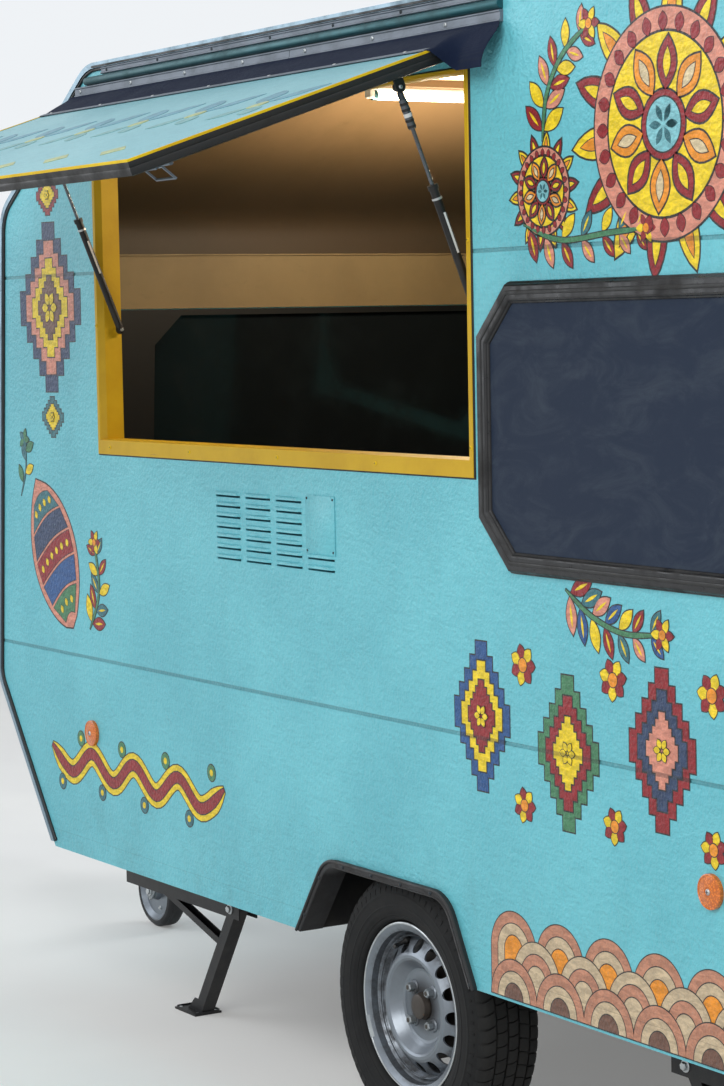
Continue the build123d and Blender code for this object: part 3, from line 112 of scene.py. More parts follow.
class NodeWriter:
    """Writes the nodes of one material."""

    def __init__(self, name: str) -> None:
        """Start a material with one Principled shader.

        Args:
            name: The material's name.
        """
        self.material = bpy.data.materials.new(name)
        self.material.use_nodes = True
        self.tree = self.material.node_tree
        self.shader = self.tree.nodes["Principled BSDF"]
        self.coords = self.node("ShaderNodeTexCoord")
        self.place = self.coords.outputs["Object"]
        self.facing = self.coords.outputs["Normal"]

    def node(self, kind: str, values: dict[str | int, object] | None = None,
            **settings: object) -> bpy.types.Node:
        """Add one node.

        Args:
            kind: The node's type.
            values: What goes into its sockets, by name or number.
            **settings: The node's own properties.

        Returns:
            The node.
        """
        made = self.tree.nodes.new(kind)
        for key, value in settings.items():
            setattr(made, key, value)
        for key, value in (values or {}).items():
            self.put(made.inputs[key], value)
        return made

    def put(self, socket: Socket, value: object) -> None:
        """Link a socket to another one, or give it a plain value.

        Args:
            socket: The socket that takes it.
            value: A socket, a value or a written colour.
        """
        if isinstance(value, Socket):
            self.tree.links.new(value, socket)
        else:
            socket.default_value = linear(value) if isinstance(value, str) else value

    def stretched(self, stretch: Triple) -> Socket:
        """Object coordinates scaled along each axis."""
        return self.node("ShaderNodeMapping", {"Vector": self.place, "Scale": stretch}).outputs["Vector"]

    def noise(self, scale: float, detail: float, rough: float, stretch: Triple | None = None,
            warp: float = 0.0) -> Socket:
        """Cloudy noise from 0 to 1.

        Args:
            scale: Blotches per metre.
            detail: Octaves.
            rough: How strong the fine octaves are.
            stretch: Scale along each axis, if it isn't even.
            warp: Distortion.

        Returns:
            The noise's value.
        """
        vector = self.place if stretch is None else self.stretched(stretch)
        values = {"Vector": vector, "Scale": scale, "Detail": detail, "Roughness": rough,
            "Distortion": warp}
        return self.node("ShaderNodeTexNoise", values).outputs["Fac"]

    def cells(self, scale: float, output: str) -> Socket:
        """Cell pattern of so many cells per metre, read from one of its outputs."""
        values = {"Vector": self.place, "Scale": scale}
        return self.node("ShaderNodeTexVoronoi", values).outputs[output]

    def axis(self, letter: str, vector: Socket | None = None) -> Socket:
        """One coordinate of a vector, the object coordinates if none is given."""
        source = self.place if vector is None else vector
        return self.node("ShaderNodeSeparateXYZ", {"Vector": source}).outputs[letter]

    def ramp(self, value: Socket, low: float, high: float) -> Socket:
        """Smooth step from 0 at low to 1 at high; low may be the larger."""
        return self.node("ShaderNodeMapRange", {"Value": value, "From Min": low, "From Max": high},
            interpolation_type="SMOOTHSTEP").outputs["Result"]

    def cloud(self, low: float, high: float, scale: float, *shape: object) -> Socket:
        """Noise of a scale and shape, stepped from 0 at low to 1 at high."""
        return self.ramp(self.noise(scale, *shape), low, high)

    def between(self, value: Socket, low: float, high: float) -> Socket:
        """A value from 0 to 1 spread evenly from low to high."""
        values = {"Value": value, "To Min": low, "To Max": high}
        return self.node("ShaderNodeMapRange", values).outputs["Result"]

    def from_axle(self, axle: Point) -> Socket:
        """Distance from an axle, seen from the side.

        Args:
            axle: The axle's place behind the road wheel's and over the ground.

        Returns:
            The distance.
        """
        along = self.maths("SUBTRACT", self.axis("X"), ORIGIN.x + axle[0])
        rise = self.maths("SUBTRACT", self.axis("Z"), axle[1])
        squares = self.maths("ADD", self.times(along, along), self.times(rise, rise))
        return self.maths("SQRT", squares)

    def maths(self, how: str, first: object, second: object = 0.0) -> Socket:
        """One Math node."""
        return self.node("ShaderNodeMath", {0: first, 1: second}, operation=how).outputs[0]

    def times(self, *factors: object) -> Socket:
        """Product of several values.

        Args:
            *factors: Sockets or numbers.

        Returns:
            The product.
        """
        result = factors[0]
        for factor in factors[1:]:
            result = self.maths("MULTIPLY", result, factor)
        return result

    def mix(self, share: object, first: object, second: object, how: str = "MIX") -> Socket:
        """Blend two colours.

        Args:
            share: How much of the second shows.
            first: Colour or socket.
            second: Colour or socket.
            how: Blender's name of the blend.

        Returns:
            The blended colour.
        """
        made = self.node("ShaderNodeMix", data_type="RGBA", blend_type=how)
        self.put(made.inputs[0], share)
        self.put(made.inputs[6], first)
        self.put(made.inputs[7], second)
        return made.outputs[2]

    def relief(self, height: Socket, depth: float, strength: float) -> None:
        """Bump from a height between 0 and 1.

        Args:
            height: The height.
            depth: What a height of 1 means, in metres.
            strength: Share of the effect.
        """
        previous = self.shader.inputs["Normal"]
        values: dict[str | int, object] = {"Height": height, "Distance": depth, "Strength": strength}
        if previous.is_linked:
            values["Normal"] = previous.links[0].from_socket
        self.put(previous, self.node("ShaderNodeBump", values).outputs["Normal"])

    def painted_groove_shade(self) -> Socket:
        """Painted shade: 1 in the pressed grooves of the body sides, 0.7 in the thin seam groove at SEAM_Z, 0
        elsewhere.

        Returns:
            The pattern's value.
        """
        height = self.axis("Z")
        total: object = 0.0
        for low in GROOVE_Z:
            above = self.ramp(height, low - 0.001, low + 0.0005)
            below = self.ramp(height, low + GROOVE_HEIGHT + 0.001, low + GROOVE_HEIGHT - 0.0005)
            total = self.maths("ADD", self.times(above, below), total)
        # Painted shade of a thin seam groove that the sheet itself doesn't have.
        seam = self.times(*(self.ramp(height, SEAM_Z + edge, SEAM_Z) for edge in (-0.0012, 0.0012)))
        return self.maths("ADD", self.times(seam, 0.7), total)

    def ready(self, **values: object) -> Material:
        """Put the last values on the shader and hand out the material.

        Args:
            **values: Shader sockets by name, with _ for a space.

        Returns:
            The material.
        """
        for key, value in values.items():
            self.put(self.shader.inputs[key.replace("_", " ")], value)
        return self.material


@dataclass(frozen=True)
class Finish:
    """What every finish has."""

    name: str
    colour: str

    def write(self) -> Material:
        """Write the finish's nodes."""
        raise NotImplementedError


@dataclass(frozen=True)
class SheetPaint(Finish):
    """Paint brushed over dimpled aluminium sheet, with grime near the ground."""

    second: str
    grime: float = 0.16
    gloss: float = 0.38

    def write(self) -> Material:
        """Write brush lines, patches, grime, runs of rain, painted shade in the grooves and dimples.

        Returns:
            The material.
        """
        w = NodeWriter(self.name)
        patches = w.cloud(0.32, 0.68, 2.1, 5.0, 0.6)
        base = w.mix(patches, self.colour, self.second)
        strokes = w.cloud(0.35, 0.75, 26.0, 3.0, 0.6, (1.0, 1.0, 7.0))
        base = w.mix(w.times(strokes, 0.16), base, "#5FA7B2", "MULTIPLY")
        low = w.ramp(w.axis("Z"), 0.78, 0.4)
        splash = w.cloud(0.4, 0.72, 9.0, 6.0, 0.7, (1.0, 1.0, 0.6))
        runs = w.cloud(0.52, 0.8, 17.0, 4.0, 0.65, (1.0, 1.0, 0.07))
        dirt = w.maths("ADD", w.times(low, splash, self.grime), w.times(runs, self.grime, 0.28))
        base = w.mix(dirt, base, "#5B594B")
        # Painted shade in the pressed grooves and the seam groove.
        base = w.mix(w.times(w.painted_groove_shade(), 0.38), base, "#23393C")
        w.relief(w.noise(128.0, 2.0, 0.5), 0.003, 1.0)
        w.relief(w.noise(3.4, 2.0, 0.4), 0.01, 0.3)
        return w.ready(Base_Color=base, Roughness=w.between(dirt, self.gloss, 0.85))


@dataclass(frozen=True)
class BrushPaint(Finish):
    """Hand-brushed ornament paint over the same sheet."""

    wear: float = 0.1
    sheen: float = 0.4
    shaded_grooves: bool = True

    def write(self) -> Material:
        """Write brush streaks, thin places, painted shade in the grooves and the sheet's dimples.

        Returns:
            The material.
        """
        w = NodeWriter(self.name)
        red, green, blue, _ = linear(self.colour)
        deep = (red * 0.72, green * 0.72, blue * 0.74, 1.0)
        light = tuple(min(1.0, c * 1.1 + 0.012) for c in (red, green, blue)) + (1.0,)
        streaks = w.cloud(0.34, 0.7, 44.0, 4.0, 0.65, (1.0, 1.0, 2.6), 0.6)
        base = w.mix(streaks, deep, light)
        thin = w.cloud(0.74 - self.wear, 0.8 - self.wear, 150.0, 5.0, 0.75)
        base = w.mix(w.times(thin, 0.55), base, "#6E9EA1")
        # Painted shade where the ornament crosses the grooves and the seam groove.
        if self.shaded_grooves:
            base = w.mix(w.times(w.painted_groove_shade(), 0.45), base, "#1B1F1E")
        w.relief(w.noise(128.0, 2.0, 0.5), 0.003, 0.9)
        return w.ready(Base_Color=base, Roughness=self.sheen)


@dataclass(frozen=True)
class FramePaint(Finish):
    """Thick brushed paint on an aluminium frame, worn through on its edges."""

    second: str
    under: str = "#6B6250"
    wear: float = 0.5

    def write(self) -> Material:
        """Write runs, scratches and bare spots.

        Returns:
            The material.
        """
        w = NodeWriter(self.name)
        cloud = w.cloud(0.3, 0.72, 7.0, 5.0, 0.6)
        base = w.mix(cloud, self.colour, self.second)
        scratch = w.cloud(0.7, 0.76, 90.0, 5.0, 0.7, (0.12, 1.0, 1.0))
        specks = w.cloud(0.67, 0.72, 160.0, 6.0, 0.8)
        worn = w.times(w.maths("MAXIMUM", scratch, specks), self.wear)
        base = w.mix(worn, base, self.under)
        w.relief(w.noise(120.0, 3.0, 0.6), 0.0006, 0.5)
        w.relief(w.maths("SUBTRACT", 1.0, worn), 0.0004, 0.6)
        return w.ready(Base_Color=base, Roughness=0.52, Specular_IOR_Level=0.3)


@dataclass(frozen=True)
class Rubber(Finish):
    """Black rubber or plastic with dust."""

    dust: float = 0.3
    gloss: float = 0.5
    grain: float = 420.0

    def write(self) -> Material:
        """Write dust on what faces up, scuffs and fine grain.

        Returns:
            The material.
        """
        w = NodeWriter(self.name)
        up = w.ramp(w.axis("Z", w.facing), -0.1, 0.9)
        cloud = w.cloud(0.35, 0.75, 14.0, 6.0, 0.65)
        dusty = w.times(w.maths("ADD", w.times(up, 0.7), 0.3), cloud, self.dust)
        base = w.mix(dusty, self.colour, "#77726A")
        scuff = w.cloud(0.66, 0.8, 60.0, 4.0, 0.7, (0.3, 1.0, 1.0))
        base = w.mix(w.times(scuff, 0.25), base, "#4B4A48")
        w.relief(w.noise(self.grain, 2.0, 0.5), 0.0003, 0.5)
        return w.ready(Base_Color=base, Roughness=w.between(cloud, self.gloss, 0.85))


@dataclass(frozen=True)
class TyreRubber(Finish):
    """Tyre rubber, dusty at the tread and dark at the side."""

    axle: Point = (0.0, 0.293)

    def write(self) -> Material:
        """Write dust by the distance from the axle.

        Returns:
            The material.
        """
        w = NodeWriter(self.name)
        radius = w.from_axle(self.axle)
        tread = w.ramp(radius, 0.262, 0.291)
        cloud = w.cloud(0.3, 0.75, 22.0, 6.0, 0.65)
        dust = w.maths("ADD", w.times(tread, 0.1), w.times(cloud, 0.07))
        base = w.mix(dust, self.colour, "#55534F")
        w.relief(w.noise(300.0, 3.0, 0.6), 0.0004, 0.5)
        return w.ready(Base_Color=base, Roughness=0.78, Specular_IOR_Level=0.3)


@dataclass(frozen=True)
class RimPaint(Finish):
    """Silver lacquer on a steel rim, darker round the hub, with painted shade in its well."""

    axle: Point = (0.0, 0.293)

    def write(self) -> Material:
        """Write the lacquer, the darkening round the hub, the painted shade in the well and the specks of
        dirt.

        Returns:
            The material.
        """
        w = NodeWriter(self.name)
        radius = w.from_axle(self.axle)
        cloud = w.cloud(0.3, 0.75, 30.0, 6.0, 0.7)
        hub = w.ramp(radius, 0.075, 0.03)
        # Painted shade in the rim's recessed well, broken up by the noise.
        painted_well_shade = w.times(w.ramp(radius, 0.118, 0.14), w.ramp(radius, 0.176, 0.158))
        # Darkening round the hub plus the painted well shade; the next line adds faint dirt.
        dirt = w.maths("ADD", w.times(hub, 0.75), w.times(painted_well_shade, cloud, 0.75))
        dirt = w.maths("ADD", dirt, w.times(cloud, 0.1))
        base = w.mix(dirt, self.colour, "#2B2622")
        specks = w.cloud(0.68, 0.74, 240.0, 5.0, 0.75)
        base = w.mix(w.times(specks, 0.6), base, "#5C4636")
        w.relief(w.noise(260.0, 3.0, 0.6), 0.0002, 0.4)
        return w.ready(Base_Color=base, Roughness=w.between(dirt, 0.3, 0.8), Metallic=0.75)


@dataclass(frozen=True)
class Zinc(Finish):
    """Galvanised steel with its crystal pattern, white bloom and road dirt."""

    rust: float = 0.15

    def write(self) -> Material:
        """Write crystals, bloom and rust.

        Returns:
            The material.
        """
        w = NodeWriter(self.name)
        crystals = w.ramp(w.cells(55.0, "Color"), 0.0, 1.0)
        bloom = w.cloud(0.42, 0.75, 9.0, 6.0, 0.7)
        base = w.mix(w.times(crystals, 0.35), self.colour, "#6E7478")
        base = w.mix(w.times(bloom, 0.45), base, "#A9ADAA")
        rust = w.times(w.cloud(0.6, 0.72, 24.0, 8.0, 0.75), self.rust)
        base = w.mix(rust, base, "#6A4024")
        w.relief(w.noise(180.0, 4.0, 0.6), 0.0003, 0.4)
        return w.ready(Base_Color=base, Roughness=w.between(bloom, 0.38, 0.68), Metallic=0.72)


@dataclass(frozen=True)
class BrightMetal(Finish):
    """Plain aluminium or steel with fine scratches and dull patches."""

    rough: float = 0.34
    dirt: float = 0.25
    metallic: float = 0.9

    def write(self) -> Material:
        """Write the drawn grain, dull patches and dirt.

        Returns:
            The material.
        """
        w = NodeWriter(self.name)
        grain = w.noise(110.0, 3.0, 0.6, (0.05, 1.0, 1.0))
        dull = w.cloud(0.4, 0.75, 12.0, 6.0, 0.7)
        base = w.mix(w.times(dull, self.dirt), self.colour, "#4E4C46")
        base = w.mix(w.times(w.ramp(grain, 0.3, 0.7), 0.18), base, "#D0D4D6", "MULTIPLY")
        w.relief(grain, 0.0002, 0.3)
        return w.ready(Base_Color=base, Roughness=w.between(dull, self.rough, 0.7), Metallic=self.metallic)


@dataclass(frozen=True)
class BlackEnamel(Finish):
    """Black painted steel with dust and rust on its edges."""

    rust: float = 0.4

    def write(self) -> Material:
        """Write dust, chips and rust.

        Returns:
            The material.
        """
        w = NodeWriter(self.name)
        cloud = w.cloud(0.38, 0.72, 20.0, 6.0, 0.7)
        base = w.mix(w.times(cloud, 0.13), self.colour, "#5B564E")
        chips = w.times(w.cloud(0.63, 0.68, 85.0, 7.0, 0.8), self.rust)
        base = w.mix(chips, base, "#6E4A30")
        w.relief(w.noise(200.0, 4.0, 0.7), 0.0004, 0.6)
        return w.ready(Base_Color=base, Roughness=0.48, Metallic=0.25)


@dataclass(frozen=True)
class Canvas(Finish):
    """Coated canvas with its weave and dust in the folds."""

    def write(self) -> Material:
        """Write the weave, the dust and the fade.

        Returns:
            The material.
        """
        w = NodeWriter(self.name)
        thread = {"Vector": w.place, "Scale": 190.0, "Distortion": 0.4}
        weave = w.times(*(w.node("ShaderNodeTexWave", thread, bands_direction=way).outputs["Fac"]
            for way in "XY"))
        dust = w.cloud(0.4, 0.78, 8.0, 6.0, 0.65)
        base = w.mix(w.times(dust, 0.14), self.colour, "#4A5363")
        base = w.mix(w.times(weave, 0.25), base, "#0C1420")
        w.relief(weave, 0.0005, 0.6)
        w.relief(w.noise(30.0, 4.0, 0.6), 0.004, 0.5)
        return w.ready(Base_Color=base, Roughness=0.88, Specular_IOR_Level=0.15, Sheen_Weight=0.04)


@dataclass(frozen=True)
class Chalkboard(Finish):
    """Slate-coloured board with wiped chalk."""

    def write(self) -> Material:
        """Write wiped smears, chalk dust and the painted panel's waves.

        Returns:
            The material.
        """
        w = NodeWriter(self.name)
        smear = w.cloud(0.42, 0.8, 5.5, 7.0, 0.7, (1.0, 1.0, 2.2), 1.2)
        wipe = w.cloud(0.5, 0.82, 16.0, 5.0, 0.65, (0.35, 1.0, 1.0), 0.8)
        specks = w.cloud(0.6, 0.72, 420.0, 3.0, 0.7)
        chalk = w.maths("ADD", w.times(smear, 0.09), w.times(wipe, specks, 0.2))
        base = w.mix(chalk, self.colour, "#8C979C")
        w.relief(w.noise(260.0, 3.0, 0.6), 0.0003, 0.5)
        w.relief(w.noise(4.0, 2.0, 0.4), 0.006, 0.3)
        return w.ready(Base_Color=base, Roughness=w.between(chalk, 0.66, 0.9), Specular_IOR_Level=0.22)


@dataclass(frozen=True)
class Acrylic(Finish):
    """Dark tinted window pane with hazing."""

    def write(self) -> Material:
        """Write the tint, haze and fine scratches.

        Returns:
            The material.
        """
        w = NodeWriter(self.name)
        haze = w.cloud(0.45, 0.85, 6.0, 6.0, 0.7)
        scratch = w.cloud(0.72, 0.78, 140.0, 4.0, 0.7, (0.1, 1.0, 1.0))
        base = w.mix(w.times(haze, 0.1), self.colour, "#4B5356")
        base = w.mix(w.times(scratch, 0.3), base, "#6A7174")
        w.relief(w.noise(2.5, 2.0, 0.4), 0.01, 0.3)
        return w.ready(Base_Color=base, Roughness=w.between(haze, 0.07, 0.28), Coat_Weight=0.3)


@dataclass(frozen=True)
class Lens(Finish):
    """Moulded reflector or lamp lens with small prisms."""

    prisms: float = 260.0

    def write(self) -> Material:
        """Write the prisms with painted shade at their edges, and the dust.

        Returns:
            The material.
        """
        w = NodeWriter(self.name)
        cells = w.cells(self.prisms, "Distance")
        red, green, blue, _ = linear(self.colour)
        # Painted shade of the prisms: each cell darkens towards its edge.
        deep = (red * 0.62, green * 0.5, blue * 0.5, 1.0)
        base = w.mix(w.ramp(cells, 0.1, 0.7), self.colour, deep)
        dust = w.cloud(0.5, 0.8, 60.0, 5.0, 0.7)
        base = w.mix(w.times(dust, 0.25), base, "#7A5A3C")
        w.relief(cells, 0.0006, 0.6)
        return w.ready(Base_Color=base, Roughness=0.22, Coat_Weight=0.5, Coat_Roughness=0.1)


@dataclass(frozen=True)
class Board(Finish):
    """Laminated or coated wood."""

    second: str = "#5A4632"
    gloss: float = 0.45

    def write(self) -> Material:
        """Write the grain and stains.

        Returns:
            The material.
        """
        w = NodeWriter(self.name)
        grain = w.noise(18.0, 6.0, 0.6, (0.25, 3.0, 3.0), 1.5)
        base = w.mix(w.ramp(grain, 0.35, 0.68), self.colour, self.second)
        stains = w.cloud(0.55, 0.8, 7.0, 5.0, 0.6)
        base = w.mix(w.times(stains, 0.3), base, "#2C241C")
        w.relief(grain, 0.0004, 0.5)
        return w.ready(Base_Color=base, Roughness=self.gloss)


@dataclass(frozen=True)
class Lining(Finish):
    """Matt interior lining with wiping marks, darkened downwards below the ceiling by painted shade."""

    second: str
    gloss: float = 0.6
    painted_low_shade: float = 0.0

    def write(self) -> Material:
        """Write soft patches, marks and the painted shade.

        Returns:
            The material.
        """
        w = NodeWriter(self.name)
        cloud = w.cloud(0.3, 0.72, 3.2, 5.0, 0.6)
        base = w.mix(cloud, self.colour, self.second)
        marks = w.cloud(0.58, 0.8, 30.0, 5.0, 0.7, (0.4, 0.4, 1.0))
        base = w.mix(w.times(marks, 0.18), base, "#2A221A")
        if self.painted_low_shade:
            # Painted shade: darker from 2.31 m down to 2.08 m and below.
            low = w.ramp(w.axis("Z"), 2.31, 2.08)
            base = w.mix(w.times(low, self.painted_low_shade), base, "#17110A")
        w.relief(w.noise(140.0, 3.0, 0.6), 0.0003, 0.4)
        return w.ready(Base_Color=base, Roughness=self.gloss)


@dataclass(frozen=True)
class RoofSkin(Finish):
    """Pale roof sheet or milky plastic with rain dirt."""

    gloss: float = 0.5

    def write(self) -> Material:
        """Write rain dirt, moss specks and the sheet's waves.

        Returns:
            The material.
        """
        w = NodeWriter(self.name)
        dirt = w.cloud(0.38, 0.75, 4.0, 7.0, 0.7)
        base = w.mix(w.times(dirt, 0.45), self.colour, "#84857C")
        specks = w.cloud(0.66, 0.74, 90.0, 6.0, 0.8)
        base = w.mix(w.times(specks, 0.5), base, "#4F5546")
        w.relief(w.noise(3.0, 3.0, 0.5), 0.012, 0.35)
        w.relief(w.noise(150.0, 3.0, 0.5), 0.0004, 0.5)
        return w.ready(Base_Color=base, Roughness=self.gloss)


@dataclass(frozen=True)
class Glow(Finish):
    """Lit lamp tube."""

    power: float = 6.0

    def write(self) -> Material:
        """Write the even light with a slightly darker grain.

        Returns:
            The material.
        """
        w = NodeWriter(self.name)
        grain = w.noise(60.0, 3.0, 0.5)
        base = w.mix(w.ramp(grain, 0.3, 0.7), self.colour, "#FFF1D2")
        return w.ready(Base_Color=base, Roughness=0.4, Emission_Color=base, Emission_Strength=self.power)


class Palette:
    """Every finish of the trailer. Each is written once and handed out again."""

    BODY = SheetPaint("turquoise_paint", "#70C8D5", "#64BBC9")
    ROOF = RoofSkin("roof_skin", "#C9CCC9")
    HATCH_TOP = SheetPaint("hatch_paint", "#8AC8D2", "#7CBDC9", grime=0.2)
    YELLOW = FramePaint("yellow_frame_paint", "#D0A91A", "#C39B12")
    YELLOW_EDGE = FramePaint("yellow_edge_paint", "#E9C71A", "#D9B00C", wear=0.35)
    BLACK_TRIM = Rubber("black_trim", "#101115", dust=0.18, gloss=0.42)
    SEAL = Rubber("seal_rubber", "#0A0B0D", dust=0.14, gloss=0.35)
    WINDOW_RUBBER = Rubber("window_rubber", "#0B0C10", dust=0.08, gloss=0.26)
    PLASTIC_BOX = Rubber("black_plastic_box", "#16171A", dust=0.55, gloss=0.55)
    TYRE = TyreRubber("tyre_rubber", "#0C0D0F")
    RIM = RimPaint("silver_rim", "#7F868E")
    DRUM = BlackEnamel("drum_iron", "#3A332E", rust=0.7)
    ZINC = Zinc("galvanised_steel", "#8A9094")
    EDGE = BrightMetal("edge_aluminium", "#8FA5B2", rough=0.38, dirt=0.35)
    STRIP = BrightMetal("screw_strip", "#777F8A", rough=0.5, dirt=0.25, metallic=0.35)
    RAIL = BrightMetal("teal_rail", "#2F5F66", rough=0.36, dirt=0.35, metallic=0.55)
    SCREW = BrightMetal("screw_steel", "#C2C6C8", rough=0.28, dirt=0.3)
    DARK_SCREW = BrightMetal("dark_screw", "#3B4248", rough=0.4, dirt=0.3)
    ROD = BrightMetal("strut_rod_steel", "#5C6166", rough=0.22, dirt=0.25)
    ENAMEL = BlackEnamel("black_enamel", "#151619")
    STRUT = BlackEnamel("strut_black", "#0A0A0C", rust=0.04)
    CANVAS = Canvas("navy_canvas", "#0C1932")
    SLATE = Chalkboard("chalk_board", "#1D293C")
    PANE = Acrylic("tinted_acrylic", "#15191B")
    AMBER = Lens("amber_lens", "#F08418")
    RED_LENS = Lens("red_lens", "#A3101A")
    PLATE = RoofSkin("blank_plate", "#E8E8E2", gloss=0.4)
    MILKY = RoofSkin("milky_plastic", "#D6D6CF", gloss=0.42)
    FLOOR_BOARD = Board("floor_board", "#4A4238", "#393027", gloss=0.6)
    COUNTER = Board("counter_laminate", "#5C5248", "#463C33", gloss=0.35)
    LINING_TAN = Lining("lining_tan", "#846A49", "#76603F", painted_low_shade=0.8)
    LINING_CREAM = Lining("lining_cream", "#86734F", "#7A6847")
    LINING_DARK = Lining("lining_dark", "#0B0A09", "#070606", gloss=0.5)
    LAMP = Glow("lamp_tube", "#FFF3DA")
    WHITE_LABEL = RoofSkin("white_label", "#D8DADB", gloss=0.5)

    NAVY = BrushPaint("mural_navy", "#233A5E")
    YELLOW_ART = BrushPaint("mural_yellow", "#F3D40D")
    RED = BrushPaint("mural_red", "#8E0B18")
    SALMON = BrushPaint("mural_salmon", "#D98E78")
    BLUE = BrushPaint("mural_blue", "#14508C")
    GREEN = BrushPaint("mural_green", "#3F8057")
    TEAL = BrushPaint("mural_teal", "#2A6E78")
    CREAM = BrushPaint("mural_cream", "#DCC9A0")
    ORANGE = BrushPaint("mural_orange", "#EE9418")
    BLACK = BrushPaint("mural_black", "#1B1B1C")
    BROWN = BrushPaint("mural_brown", "#6E4A3A")
    SKY = BrushPaint("mural_sky", "#7FC3CC")
    SAND = BrushPaint("mural_sand", "#CDB795")
    CLAY = BrushPaint("mural_clay", "#C08468")
    FADED_BLUE = BrushPaint("faded_blue", "#5E9FB4", shaded_grooves=False)
    FADED_TEAL = BrushPaint("faded_teal", "#74B2B4", shaded_grooves=False)
    FADED_YELLOW = BrushPaint("faded_yellow", "#B9C58A", shaded_grooves=False)

    _made: dict[str, Material] = {}

    @classmethod
    def get(cls, finish: Finish) -> Material:
        """Material of a finish, written when it is first asked for.

        Args:
            finish: The finish.

        Returns:
            Its material.
        """
        if finish.name not in cls._made:
            cls._made[finish.name] = finish.write()
        return cls._made[finish.name]


